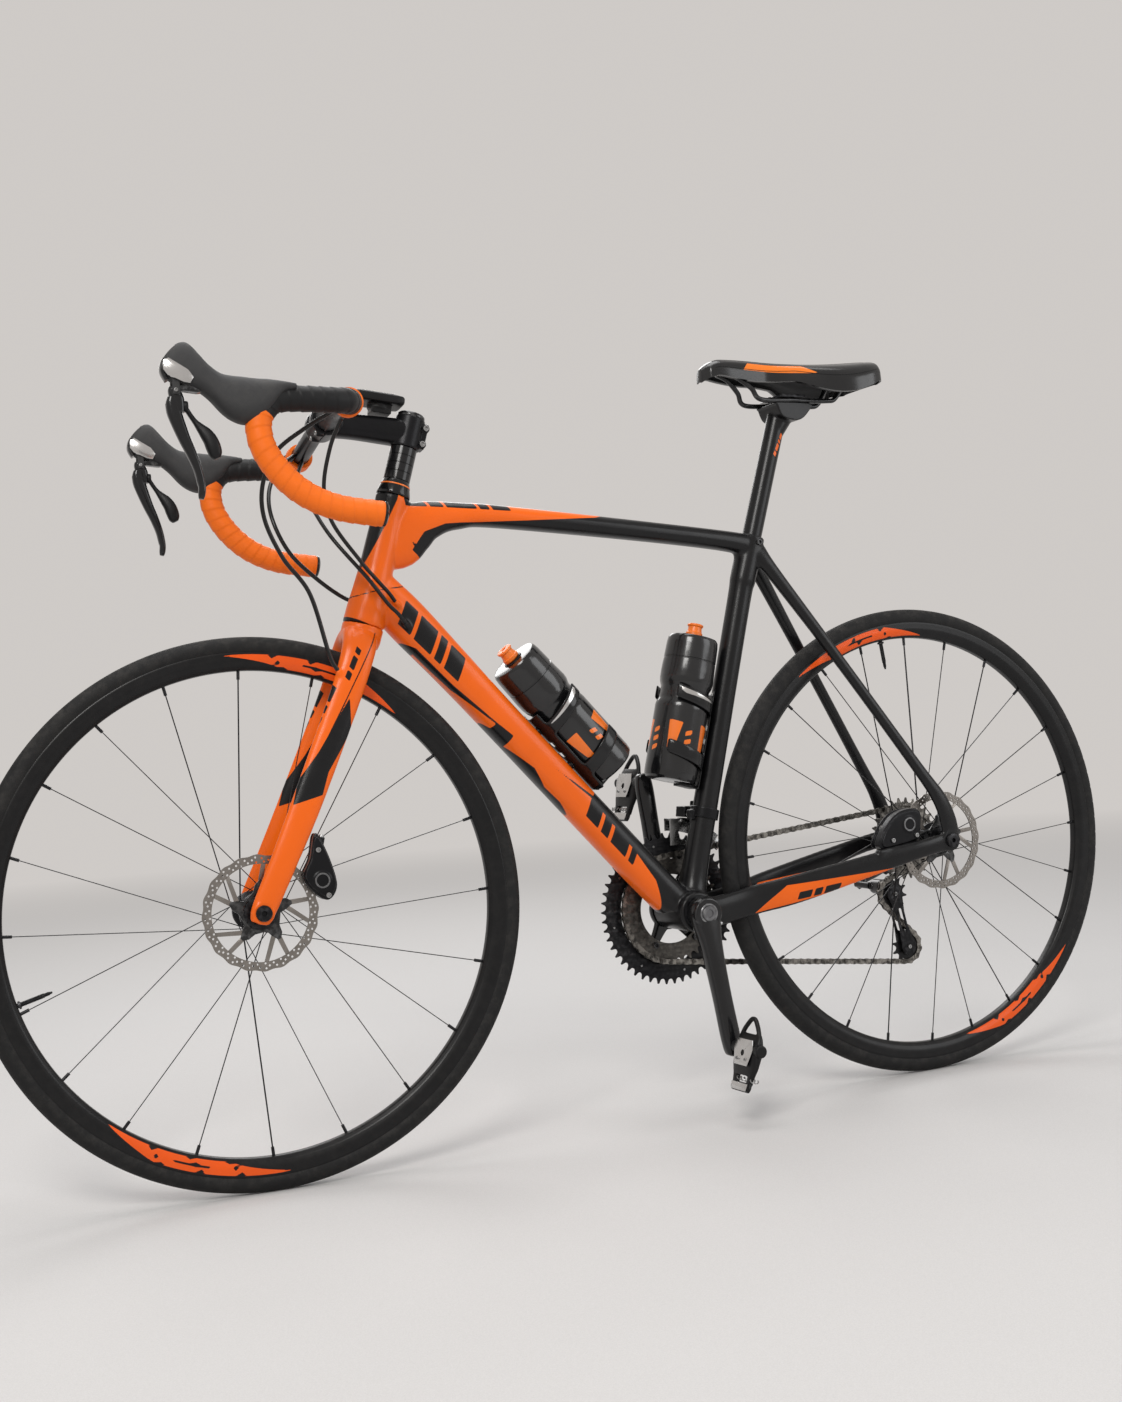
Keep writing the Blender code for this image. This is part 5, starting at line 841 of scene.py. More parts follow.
def tree_of(name, ins):
    """A Geometry Nodes tree with a mesh in and out, and named inputs."""
    shape = "NodeSocketGeometry"
    return group(name, [("Mesh", shape, None), *ins], [("Mesh", shape)], "GeometryNodeTree")


def grown(obj, tree, **values):
    """Runs a tree on an object, with its inputs set by their sockets' identifiers, and keeps the plain mesh."""
    step = obj.modifiers.new("tree", "NODES")
    step.node_group = tree
    for item in tree.interface.items_tree:
        if item.item_type == "SOCKET" and item.in_out == "INPUT" and item.name in values:
            step[item.identifier] = values[item.name]
    settle(obj)
    obj.data.shade_smooth()
    obj.data.set_sharp_from_angle(angle=radians(40))
    return obj


def point_cloud(name, points, edges=(), **notes):
    """Loose points, or points joined by edges, with numbers or directions noted on each."""
    mesh = bpy.data.meshes.new(name)
    mesh.from_pydata([tuple(p) for p in points], [tuple(e) for e in edges], [])
    obj = bpy.data.objects.new(name, mesh)
    scene.collection.objects.link(obj)
    for key, values in notes.items():
        noted(obj, key, values)
    return obj


def read(tree, name, kind="FLOAT"):
    """What was noted on each point under a name."""
    return add(tree, "GeometryNodeInputNamedAttribute", {"Name": name}, data_type=kind).outputs["Attribute"]


def ended(tree, mesh, out, look):
    """Every tree ends in plain geometry that carries its material."""
    real = add(tree, "GeometryNodeRealizeInstances", {0: mesh}).outputs[0]
    tree.links.new(add(tree, "GeometryNodeSetMaterial", {"Geometry": real, "Material": look}).outputs[0] if look
                   else real, out["Mesh"])


METRES, LOOK, THING, WHOLE = "NodeSocketFloat", "NodeSocketMaterial", "NodeSocketObject", "NodeSocketInt"
spoking, given, out = tree_of("Spokes and nipples", [
    ("Width", METRES, 0.0022), ("Thickness", METRES, 0.0011), ("Nipple length", METRES, 0.012),
    ("Nipple radius", METRES, 0.0021),
    ("Spoke finish", LOOK, None), ("Nipple finish", LOOK, None)])
lines_in = add(spoking, "GeometryNodeMeshToCurve", {"Mesh": given["Mesh"]}).outputs[0]
round_wire = add(spoking, "GeometryNodeCurvePrimitiveCircle", {"Resolution": 8, "Radius": 0.5}).outputs[0]
section = add(spoking, "ShaderNodeCombineXYZ", {0: given["Width"], 1: given["Thickness"], 2: 1.0}).outputs[0]
section = add(spoking, "GeometryNodeTransform", {"Geometry": round_wire, "Scale": section}).outputs[0]
wires = add(spoking, "GeometryNodeCurveToMesh",
            {"Curve": lines_in, "Profile Curve": section, "Fill Caps": True}).outputs[0]
wires = add(spoking, "GeometryNodeSetMaterial", {"Geometry": wires, "Material": given["Spoke finish"]}).outputs[0]
ends = add(spoking, "GeometryNodeMeshToPoints", {"Mesh": given["Mesh"], "Selection": read(spoking, "tip")}).outputs[0]
barrel = add(spoking, "GeometryNodeMeshCylinder",
             {"Vertices": 10, "Radius": given["Nipple radius"], "Depth": given["Nipple length"]}).outputs[0]
half = maths(spoking, "MULTIPLY", given["Nipple length"], -0.5)
half = add(spoking, "ShaderNodeCombineXYZ", {2: half}).outputs[0]
barrel = add(spoking, "GeometryNodeTransform", {"Geometry": barrel, "Translation": half}).outputs[0]
turn = add(spoking, "FunctionNodeAlignRotationToVector", {"Vector": read(spoking, "way", "FLOAT_VECTOR")},
           axis="Z").outputs[0]
nipples = add(spoking, "GeometryNodeInstanceOnPoints",
              {"Points": ends, "Instance": barrel, "Rotation": turn}).outputs[0]
nipples = add(spoking, "GeometryNodeRealizeInstances", {0: nipples}).outputs[0]
nipples = add(spoking, "GeometryNodeSetMaterial", {"Geometry": nipples, "Material": given["Nipple finish"]}).outputs[0]
all_of = add(spoking, "GeometryNodeJoinGeometry")
spoking.links.new(wires, all_of.inputs[0])
spoking.links.new(nipples, all_of.inputs[0])
spoking.links.new(all_of.outputs[0], out["Mesh"])

# %% Tyre and rim
RIM_OUTER, RIM_WELL, RIM_INNER, RIM_WIDTH = 0.317, 0.311, 0.294, 0.0232
treading, given, out = tree_of("Tread", [("Depth", METRES, 0.0006)])
cut_in = add(treading, "GeometryNodeInputNormal").outputs[0]
down = maths(treading, "MULTIPLY", maths(treading, "MULTIPLY", read(treading, "sipe"), given["Depth"]), -1.0)
down = add(treading, "ShaderNodeVectorMath", {0: cut_in, "Scale": down}, operation="SCALE").outputs[0]
ended(treading, add(treading, "GeometryNodeSetPosition", {"Geometry": given["Mesh"], "Offset": down}).outputs[0], out,
      None)


def tyre(name, axle, steps=900):
    """A round casing 26 mm wide with a bead, a smooth crown and slanted sipes on both shoulders."""
    profile, cuts = [], []
    middle, radius = TYRE_RADIUS - 0.0128, 0.0128
    for k in range(31):
        a = radians(-142 + 284 * k / 30)
        profile.append((radius * 1.012 * sin(a), middle + radius * cos(a)))
        cuts.append(1.0 if 34 < abs(math.degrees(a)) < 62 else 0.0)
    profile = [(-0.0086, 0.3113), *profile, (0.0086, 0.3113)]
    cuts = [0, *cuts, 0]
    rings = [oval(axle + Y * y, Z, X, 2 * r, 2 * r, steps) for y, r in profile]
    obj = build(name, [loft(rings, loop=True)])
    k = np.arange(steps)
    grooves = [cut * ((k + (3 if y > 0 else 0) + int(abs(y) * 900)) % 10 < 2) for cut, (y, r) in zip(cuts, profile)]
    noted(obj, "sipe", np.concatenate(grooves))
    return grown(obj, treading, Depth=0.0006)


def patches(spot, axle, centres):
    """Orange blades on a rim's walls: how far inside one each vertex lies."""
    angle, r = np.arctan2(spot[:, 2] - axle.z, spot[:, 0] - axle.x), np.hypot(spot[:, 2] - axle.z, spot[:, 0] - axle.x)
    found = np.full(len(spot), -1.0)
    for centre in centres:
        s = ((angle - radians(centre) + pi) % (2 * pi) - pi) * 0.306
        flat = np.column_stack([s, r])
        blade = [(-0.12, 0.2975), (0.04, 0.2975), (0.06, 0.3025), (0.118, 0.3135), (-0.05, 0.3135), (-0.07, 0.3085)]
        found = np.maximum(found, inside(flat, blade))
        for at in (-0.062, -0.012, 0.036):
            found = np.minimum(found, -inside(flat, slanted((at, 0.2965), (1, 0), 0.006, 0.018, 0.02)))
        found = np.minimum(found, -beside(flat, [(-0.03, 0.3055), (0.02, 0.3055)], 0.0012))
    return found


def rim(name, axle, centres, steps=240):
    """A hooked rim with rounded shoulders."""
    half = RIM_WIDTH / 2
    profile = [(-0.003, RIM_INNER), (-0.0058, RIM_INNER + 0.0007), (-0.0094, RIM_INNER + 0.0052),
               (-half + 0.0006, RIM_INNER + 0.0095), (-half, RIM_INNER + 0.0125),
               (-half - 0.0001, RIM_OUTER - 0.0012), (-half + 0.0005, RIM_OUTER - 0.0001),
               (-half + 0.0013, RIM_OUTER - 0.0001), (-half + 0.002, RIM_OUTER - 0.0014),
               (-half + 0.0021, RIM_WELL + 0.0018), (-half + 0.0028, RIM_WELL)]
    profile += [(-y, r) for y, r in profile[::-1]]
    fine = []
    for (y0, r0), (y1, r1) in zip(profile, profile[1:] + profile[:1]):
        parts = max(1, round(hypot(y1 - y0, r1 - r0) / 0.0016))
        fine += [(y0 + (y1 - y0) * k / parts, r0 + (r1 - r0) * k / parts) for k in range(parts)]
    obj = build(name, [loft([oval(axle + Y * y, Z, X, 2 * r, 2 * r, steps) for y, r in fine], loop=True)], sharp=50)
    return noted(obj, "patch", patches(corners(obj), axle, centres))


# %% Hubs, spokes and valves


def spokes(name, axle, count, flanges, body):
    """One edge for each spoke, from its flange to the rim, crossed twice."""
    n, points, tips, ways = count // 2, [], [], []
    for y, radius in flanges:
        hand = 1 if y < 0.001 else -1
        for k in range(n):
            slot = 2 * pi * (k + 0.5) / n + (pi / n if hand > 0 else 0)
            lean = 1 if k % 2 else -1
            aim = slot + lean * 4 * pi / n
            near = axle + Vector((sin(slot), 0, cos(slot))) * (radius - 0.0012) + Y * (y + lean * 0.0014 * hand)
            far = axle + Vector((sin(aim), 0, cos(aim))) * (RIM_INNER + 0.002) + Y * (-0.0012 * hand)
            points += [near, far]
            tips += [0.0, 1.0]
            ways += [far - near] * 2
    obj = point_cloud(name, points, [(2 * k, 2 * k + 1) for k in range(count)], tip=tips, way=ways)
    grown(obj, spoking, **{"Width": 0.0022, "Thickness": 0.0012, "Nipple length": 0.0125, "Nipple radius": 0.002,
                           "Spoke finish": spoke_steel, "Nipple finish": bolt_steel})
    place_piece(obj, body, [spoke_steel, bolt_steel])


def hub_shell(name, axle, half, flanges, rotor_y, rear):
    """A turned shell: end cap, rotor seat, flange, waist, flange and the other end."""
    (yl, rl), (yr, rr) = flanges
    end, seat = half - 0.0003, rotor_y + 0.0012
    profile = [(-end, 0.0063), (-end, 0.0092), (-end + 0.0008, 0.01), (seat - 0.0035, 0.01), (seat - 0.0035, 0.0155),
               (seat, 0.0163), (seat, 0.019),
               (seat + 0.002, 0.0196), (yl - 0.006, 0.0196), (yl - 0.003, rl - 0.0016), (yl - 0.0022, rl),
               (yl + 0.0022, rl), (yl + 0.003, rl - 0.0014),
               (yl + 0.006, 0.015), (yl + 0.012, 0.0122), ((yl + yr) / 2, 0.0118), (yr - 0.012, 0.0126),
               (yr - 0.0055, 0.0152), (yr - 0.003, rr - 0.0014),
               (yr - 0.0022, rr), (yr + 0.0022, rr), (yr + 0.003, rr - 0.0016)]
    profile += [(yr + 0.0042, 0.011), (end - 0.001, 0.0098), (end, 0.0088), (end, 0.0063)] if rear else [
        (yr + 0.006, 0.017), (yr + 0.008, 0.0112), (end - 0.0008, 0.0105), (end, 0.0096), (end, 0.0063)]
    return build(name, [turned(profile, axle, Y, 72, hollow=True)], sharp=30)


def valve(name, axle, angle, body):
    """A presta valve: threaded stem, lock nut and cap."""
    way = unit(angle)
    foot = axle + way * (RIM_INNER + 0.003)
    radii = [(0, 0.003), (-0.004, 0.003), (-0.0042, 0.0048), (-0.0068, 0.0048), (-0.007, 0.003)]
    for k in range(16):
        radii += [(-0.008 - 0.0016 * k, 0.003), (-0.0088 - 0.0016 * k, 0.0026)]
    radii += [(-0.0345, 0.0028), (-0.035, 0.0022), (-0.04, 0.0022), (-0.0425, 0.0014), (-0.044, 0.0013),
              (-0.0445, 0.0005)]
    place_piece(build(name, [turned(radii, foot, way, 20)], sharp=30), body, black_alloy)


def wheel(tag, axle, half, flanges, count, rotor_y, centres, valve_at):
    """Everything that turns with one wheel, but for its brake disc."""
    body = tag + "_wheel"
    place_piece(tyre(tag + "_tyre_casing", axle), body, tyre_rubber, [tag + "_tyre"])
    place_piece(rim(tag + "_rim_shell", axle, centres), body, rim_paint, [tag + "_rim"])
    hub = hub_shell(tag + "_hub_shell", axle, half, flanges, rotor_y, tag == "rear")
    place_piece(hub, body, black_alloy, [tag + "_hub"])
    spokes(tag + "_spokes", axle, count, flanges, body)
    valve(tag + "_valve", axle, radians(valve_at), body)


wheel("front", FRONT_AXLE, FRONT_HALF, ((-0.0255, 0.024), (0.033, 0.024)), 20, FRONT_ROTOR_Y, (252, 72), 196)
wheel("rear", Vector(), REAR_HALF, ((-0.035, 0.0245), (0.017, 0.025)), 24, REAR_ROTOR_Y, (107, -57), 98)
print("two wheels")

# %% [markdown]
# ## Brakes
# A brake disc is cut from sheet steel: a wavy band full of small holes, slanted arms, and a dark spider in the
# middle. The band is a turned ring. Its holes are drilled by a tree, which stands one cutter on each marked point and
# takes them all away at once. The arms and the spider are plates. The calipers are cast, so each is melted from a few
# shapes and then slotted for its disc.

# %% A tree that drills
drilling, given, out = tree_of("Drilled holes", [
    ("Marks", THING, None), ("Sides", WHOLE, 10), ("Radius", METRES, 0.002), ("Depth", METRES, 0.01),
    ("Finish", LOOK, None)])
marks = add(drilling, "GeometryNodeObjectInfo", {"Object": given["Marks"]}).outputs["Geometry"]
marks = add(drilling, "GeometryNodeMeshToPoints", {"Mesh": marks}).outputs[0]
bit = add(drilling, "GeometryNodeMeshCylinder",
          {"Vertices": given["Sides"], "Radius": given["Radius"], "Depth": given["Depth"]}).outputs[0]
bit = add(drilling, "GeometryNodeTransform", {"Geometry": bit, "Rotation": (pi / 2, 0, 0)}).outputs[0]
bits = add(drilling, "GeometryNodeInstanceOnPoints", {"Points": marks, "Instance": bit}).outputs[0]
bits = add(drilling, "GeometryNodeRealizeInstances", {0: bits}).outputs[0]
left_over = add(drilling, "GeometryNodeMeshBoolean", {0: given["Mesh"], 1: bits}, operation="DIFFERENCE",
                solver="EXACT").outputs[0]
drilling.links.new(add(drilling, "GeometryNodeSetMaterial",
                       {"Geometry": left_over, "Material": given["Finish"]}).outputs[0], out["Mesh"])


def drilled(obj, points, radius, depth, look, sides):
    """Drills along Y at every point."""
    marks = point_cloud(obj.name + "_marks", points)
    grown(obj, drilling, Marks=marks, Sides=sides, Radius=radius, Depth=depth, Finish=look)
    bpy.data.objects.remove(marks)
    return obj


# %% Brake discs
ROTOR_INNER, ROTOR_HALF, HOLE_RADIUS, WAVES, ARMS, FIRST_ARM = 0.0585, 0.0008, 0.00135, 20, 5, 1.6
HOLES = ((0.0604, 0.02), (0.0636, 0.1), (0.0664, 0.03), (0.0612, 0.19), (0.0652, 0.24))
ARM_FEET = ([(0.03, -0.3), (0.0592, -0.66), (0.0592, -0.57), (0.0315, -0.08)],
            [(0.0315, -0.16), (0.0592, -0.2), (0.0592, -0.11), (0.0335, 0.02)])
STAR = ((0.0235, -0.42), (0.03, -0.3), (0.0385, -0.16), (0.0392, -0.06), (0.0345, 0.1), (0.0265, 0.26))


def disc(name, axle, y, body):
    """The band with its holes, five slanted arms, the dark spider and the lock ring."""
    band = [(-ROTOR_HALF, ROTOR_INNER), (-ROTOR_HALF, ROTOR_RADIUS), (ROTOR_HALF, ROTOR_RADIUS),
            (ROTOR_HALF, ROTOR_INNER)]
    sheet = build(name, [turned(band, axle + Y * y, Y, 240, hollow=True)])
    for vert in sheet.data.vertices:
        out = Vector((vert.co.x - axle.x, 0, vert.co.z - axle.z))
        if out.length > 0.065:
            vert.co += out.normalized() * (0.0008 * cos(WAVES * atan2(out.z, out.x)) - 0.0008)
    points = [axle + Y * y + r * unit(a + t * 0.95) for a in turns(WAVES) for r, t in HOLES]
    drilled(sheet, points, HOLE_RADIUS, 0.004, brushed_steel, 8)
    place_piece(sheet, body, brushed_steel, [name.replace("_disc", "_rotor")])
    starts = [a + FIRST_ARM for a in turns(ARMS)]
    arms = [plate([polar(r, a + t) for r, t in foot], [], -ROTOR_HALF, ROTOR_HALF, upright(axle, y))
            for a in starts for foot in ARM_FEET]
    place_piece(build(name + "_arms", arms, bevel=0.0002), body, brushed_steel)
    inner = [polar(0.0176 + 0.0008 * (k % 2), a) for k, a in enumerate(turns(40))]
    star = [polar(r, a + t) for a in starts for r, t in STAR]
    hub = build(name + "_spider", [plate(star, [inner], -0.0013, 0.0013, upright(axle, y))], bevel=0.0003)
    place_piece(hub, body, gloss_alloy)
    teeth = [polar(0.0205 - 0.0008 * (k % 4 > 1), a) for k, a in enumerate(turns(80))]
    lock = build(name + "_lock_ring", [plate(teeth, [circle(0.0128, 48)], -0.0036, -0.0014, upright(axle, y))],
                 bevel=0.0002)
    place_piece(lock, body, black_alloy)


disc("front_disc", FRONT_AXLE, FRONT_ROTOR_Y, "front_wheel")
disc("rear_disc", Vector(), REAR_ROTOR_Y, "rear_wheel")

# %% Bolts are noted as they come up, and made together at the end
bolts = {}


def bolt(body, at, way, radius, look="steel"):
    """Notes one bolt head, which looks along a direction."""
    at, way = Vector(at), Vector(way).normalized()
    if body.startswith(FRONT_END):
        at, way = AT_REST @ at, AT_REST.to_3x3() @ way
    bolts.setdefault((body, look), []).append((at, way, radius))


# %% Calipers and axles
def smooth_outline(points, step=0.002):
    """A closed, rounded outline through its points."""
    rows = [(u, v, 0) for u, v in points]
    fine = flow(rows[-2:] + rows + rows[:3], step)
    start = int(np.argmin(np.hypot(fine[: len(fine) // 2, 0] - points[0][0], fine[: len(fine) // 2, 1] - points[0][1])))
    tail = len(fine) // 2 + int(np.argmin(np.hypot(fine[len(fine) // 2:, 0] - points[0][0],
                                                   fine[len(fine) // 2:, 1] - points[0][1])))
    return [(float(u), float(v)) for u, v, _ in fine[start:tail]]


def caliper(name, axle, y, outline, low, high, pistons, banjo, mounts, body):
    """A cast body with its round piston covers, a waist and the slot for the disc."""
    shape = smooth_outline(outline)
    middle = np.mean(shape, axis=0)
    waist = [tuple(middle + (np.array(p) - middle) * 0.9) for p in shape]
    shells = [plate(waist, [], low, high, upright(axle)), plate(shape, [], low + 0.003, y - 0.0034, upright(axle)),
              plate(shape, [], y + 0.0034, high - 0.003, upright(axle))]
    for u, v, r in pistons:
        at = axle + X * u + Z * v
        shells += [rod(at + Y * (low - 0.0012), at + Y * (low + 0.006), r, 40, round_off=0.0012),
                   rod(at + Y * (high - 0.006), at + Y * (high + 0.0008), r, 40, round_off=0.0008)]
    foot, way = axle + Vector(banjo[0]), Vector(banjo[1]).normalized()
    shells.append(rod(foot - way * 0.008, foot + way * 0.004, 0.0046, 24, round_off=0.0006))
    made = melted(name + "_casting", shells, 0.0009, 2, [pin(axle + Y * y, Y, 0.0027, ROTOR_RADIUS + 0.0024, 64)])
    place_piece(made, body, black_alloy, [name])
    rings = []
    for u, v, r in pistons:
        at = axle + X * u + Z * v
        rings.append(turned([(0, r * 0.62), (-0.0006, r * 0.64), (-0.0008, r * 0.7), (-0.0006, r * 0.8),
                             (0, r * 0.82)], at + Y * (low - 0.0012), Y, 48, hollow=True))
    place_piece(build(name + "_rings", rings), body, grey_alloy)
    for u, v in mounts:
        bolt(body, axle + X * u + Y * low + Z * v, -Y, 0.0034)
    bolt(body, foot + way * 0.004, way, 0.0036)


caliper("front_caliper", FRONT_AXLE, FRONT_ROTOR_Y,
        [(0.068, 0.086), (0.062, 0.06), (0.052, 0.038), (0.062, 0.02), (0.08, 0.008),
         (0.092, 0.024), (0.086, 0.056), (0.074, 0.086)], -0.056, -0.0285, [(0.074, 0.032, 0.0115)],
        ((0.078, -0.042, 0.08), (0.25, 0, 1)), [(0.0715, 0.069), (0.08, 0.014)], "steering")
caliper("rear_caliper", Vector(), REAR_ROTOR_Y,
        [(-0.112, -0.0022), (-0.052, 0.0048), (-0.044, 0.018), (-0.042, 0.042), (-0.056, 0.05),
         (-0.086, 0.043), (-0.11, 0.018)], -0.07, -0.043, [(-0.065, 0.028, 0.012)],
        ((-0.098, -0.056, 0.024), (-1, 0, 0.35)), [(-0.095, 0.008), (-0.054, 0.012)], "frame")


def axle_bar(name, axle, half, wall, body):
    """A through axle: its head with a hexagon socket's well, and the plain bar."""
    start = half + wall + 0.0042
    profile = [(0.0035, 0.0003), (0.0035, 0.0031), (0, 0.0033), (0, 0.0086), (0.0003, 0.0094), (0.001, 0.0098),
               (0.0039, 0.0098), (0.0039, 0.006), (start + half + wall - 0.0006, 0.006), (start + half + wall, 0.0054)]
    made = build(name, [turned(profile, axle - Y * start, Y, 48)])
    place_piece(made, body, black_alloy, [name.replace("_bar", "_thru_axle")])


axle_bar("front_bar", FRONT_AXLE, FRONT_HALF, FORK_WALL, "steering")
axle_bar("rear_bar", Vector(), REAR_HALF, DROPOUT_WALL, "frame")
print("calipers and axles")

# %% [markdown]
# ## Drive train
# The chain decides everything here. Its path runs round four toothed wheels and is a whole number of links long, so
# the place of each pin gives the place of each tooth. A tree stands an outer or an inner link between each two pins
# and a roller on every pin. The links turn about Y only, so that their plates stay upright.

# %% The chain's path
INNER_TEETH, OUTER_TEETH, JOCKEY_TEETH, DRIVEN = 36, 50, 11, 23
guide_at, tension_at = Vector((-0.0245, 0, -0.0798)), Vector((-0.005067, 0, -0.159464))
ROUND = [(BB, INNER_TEETH, 1), (tension_at, JOCKEY_TEETH, 1), (guide_at, JOCKEY_TEETH, -1), (Vector(), DRIVEN, 1)]


def pitch_radius(teeth):
    """How far from its axle a toothed wheel carries the chain's pins."""
    return PITCH / (2 * sin(pi / teeth))


ways, straights, stretches = [], [], []
for (c1, n1, s1), (c2, n2, s2) in zip(ROUND, ROUND[1:] + ROUND[:1]):
    d, k = c2 - c1, s1 * pitch_radius(n1) - s2 * pitch_radius(n2)
    ways.append(atan2(d.z, d.x) + asin(k / d.length))
    straights.append(sqrt(d.length**2 - k**2) / PITCH)
for i, (centre, teeth, sense) in enumerate(ROUND):
    arc = (sense * (ways[i] - ways[i - 1])) % (2 * pi)
    stretches += [(arc * teeth / (2 * pi), i, ways[i - 1]), (straights[i], None, ways[i])]
LINKS = round(sum(s[0] for s in stretches))


def on_chain(u):
    """The place at u links along the path."""
    for j, (links, i, way) in enumerate(stretches):
        if u < links or j == len(stretches) - 1:
            break
        u -= links
    centre, teeth, sense = ROUND[j // 2]
    if i is None:
        return centre + sense * pitch_radius(teeth) * unit(way - pi / 2) + unit(way) * (u * PITCH)
    return centre + sense * pitch_radius(teeth) * unit(way + sense * 2 * pi * u / teeth - pi / 2)


def phase(i):
    """The angle of the first roller on one of the four wheels."""
    d = on_chain(math.ceil(sum(s[0] for s in stretches[: 2 * i]) + 1e-6)) - ROUND[i][0]
    return atan2(d.z, d.x)


print("chain:", LINKS, "links")

# %% Links on their pins


def link_plates(name, near, far, reach, waist):
    """Two waisted plates of one link, between near and far from the middle."""
    outline = []
    for s in (1, -1):
        ends = [radians(s * (35 * k - 105)) for k in range(7)]
        outline += [(s * (PITCH / 2 + reach * cos(a)), reach * sin(a)) for a in ends] + [(0, s * waist)]
    return build(name, [plate(outline, [], s * near, s * far, upright(Vector())) for s in (-1, 1)], sharp=30)


outer_link = link_plates("outer_link", 0.002, 0.0028, 0.0042, 0.003)
inner_link = link_plates("inner_link", 0.0012, 0.0019, 0.0041, 0.0033)
roller = build("roller", [pin(Vector(), Y, 0.0011, 0.0038, 12), pin(Vector(), Y, 0.0031, 0.0018, 8)])
linking, given, out = tree_of("Chain",
                              [("Outer link", THING, None), ("Inner link", THING, None), ("Roller", THING, None),
                               ("Finish", LOOK, None)])
pins = add(linking, "GeometryNodeMeshToPoints", {"Mesh": given["Mesh"]}).outputs[0]
turn = add(linking, "FunctionNodeAlignRotationToVector", {"Vector": read(linking, "way", "FLOAT_VECTOR")}, axis="X",
           pivot_axis="Y").outputs[0]
kind, all_of = read(linking, "kind"), add(linking, "GeometryNodeJoinGeometry")
for label, low, high in (("Outer link", -0.5, 0.5), ("Inner link", 0.5, 1.5), ("Roller", 1.5, 2.5)):
    chosen = maths(linking, "MULTIPLY", maths(linking, "GREATER_THAN", kind, low),
                   maths(linking, "LESS_THAN", kind, high))
    thing = add(linking, "GeometryNodeObjectInfo", {"Object": given[label]}).outputs["Geometry"]
    linking.links.new(add(linking, "GeometryNodeInstanceOnPoints",
                          {"Points": pins, "Selection": chosen, "Instance": thing, "Rotation": turn}).outputs[0],
                      all_of.inputs[0])
real = add(linking, "GeometryNodeRealizeInstances", {0: all_of.outputs[0]}).outputs[0]
linking.links.new(add(linking, "GeometryNodeSetMaterial", {"Geometry": real, "Material": given["Finish"]}).outputs[0],
                  out["Mesh"])

at_pins = [on_chain(i) + Y * CHAIN_Y for i in range(LINKS)]
links_at = [(a + b) / 2 for a, b in zip(at_pins, at_pins[1:] + at_pins[:1])]
links_way = [b - a for a, b in zip(at_pins, at_pins[1:] + at_pins[:1])]
chain = point_cloud("chain_links", links_at + at_pins, way=links_way + links_way,
                    kind=[i % 2 for i in range(LINKS)] + [2] * LINKS)
grown(chain, linking, **{"Outer link": outer_link, "Inner link": inner_link, "Roller": roller, "Finish": chain_steel})
for spare in (outer_link, inner_link, roller):
    bpy.data.objects.remove(spare)
place_piece(chain, "frame", chain_steel, ["chain"])
print("chain:", len(chain.data.polygons), "faces")

# %% Toothed wheels


def toothed(teeth, start, tip=0.0034):
    """A round valley for each roller and a blunt tooth between each two."""
    r, outline = pitch_radius(teeth), []
    for k in range(teeth):
        a = start + 2 * pi * k / teeth
        for t in (58, 30, 0, -30, -58):
            w = a + pi + radians(t)
            outline.append((r * cos(a) + 0.004 * cos(w), r * sin(a) + 0.004 * sin(w)))
        outline += [polar(r + tip, a + pi / teeth - 0.0009 / r), polar(r + tip, a + pi / teeth + 0.0009 / r)]
    return outline


def cassette_block():
    """Eleven sprockets, the large ones with windows, on one body with its lock ring."""
    shells = []
    for i, teeth in enumerate((28, 25, 23, 21, 19, 17, 15, 14, 13, 12, 11)):
        y, r = CHAIN_Y + (i - 2) * 0.00374, pitch_radius(teeth)
        holes = [circle(0.012, 32)]
        if teeth >= 21:
            low, high = 0.0215, r - 0.009
            for k in range(6):
                a = pi * k / 3 + 0.15 * i
                holes.append([polar(high, a + 0.1 + 0.55 * t / 5) for t in range(6)] + [polar(low, a + 0.62),
                                                                                        polar(low, a + 0.3)])
        shells.append(plate(toothed(teeth, phase(3) if teeth == DRIVEN else 0.11 * i), holes, -0.0008, 0.0008,
                            upright(Vector(), y)))
    shells.append(turned([(0.0225, 0.0112), (0.0225, 0.0172), (0.0668, 0.0172), (0.0668, 0.015), (0.07, 0.0146),
                          (0.07, 0.0112)], Vector(), Y, 48, hollow=True))
    ring = [polar(0.015 + 0.0006 * (k % 4 > 1), a) for k, a in enumerate(turns(64))]
    shells.append(plate(ring, [circle(0.0125, 40)], 0.069, 0.0702, upright(Vector())))
    return build("cassette_block", shells, sharp=30)


place_piece(cassette_block(), "cassette", chain_steel, ["cassette"])

# %% Cranks
CRANK_LENGTH, LEFT_EYE_Y, RIGHT_EYE_Y, BOLT_CIRCLE = 0.175, 0.079, 0.066, 0.0552
DOWN = Vector((sin(radians(4.5)), 0, -cos(radians(4.5))))
ARM = [(-0.021, 0.018, 0.86), (-0.013, 0.037, 1.0), (0.008, 0.041, 1.0), (0.048, 0.029, 0.94), (0.11, 0.025, 0.85),
       (0.165, 0.026, 0.8), (0.184, 0.021, 0.76), (0.189, 0.011, 0.66)]


def crank_arm(way, root_y, end_y, thick):
    """A hollow-forged arm: flat sides with a soft ridge down the outer face."""
    across, rings = way.cross(Y).normalized(), []
    for along, wide, share in flow(ARM, 0.004):
        y = root_y + (end_y - root_y) * min(1, max(0, along / CRANK_LENGTH))
        rings.append(oval(BB + way * along + Y * y, across, Y, wide, thick * share, 36, 2.9))
    return loft(rings)


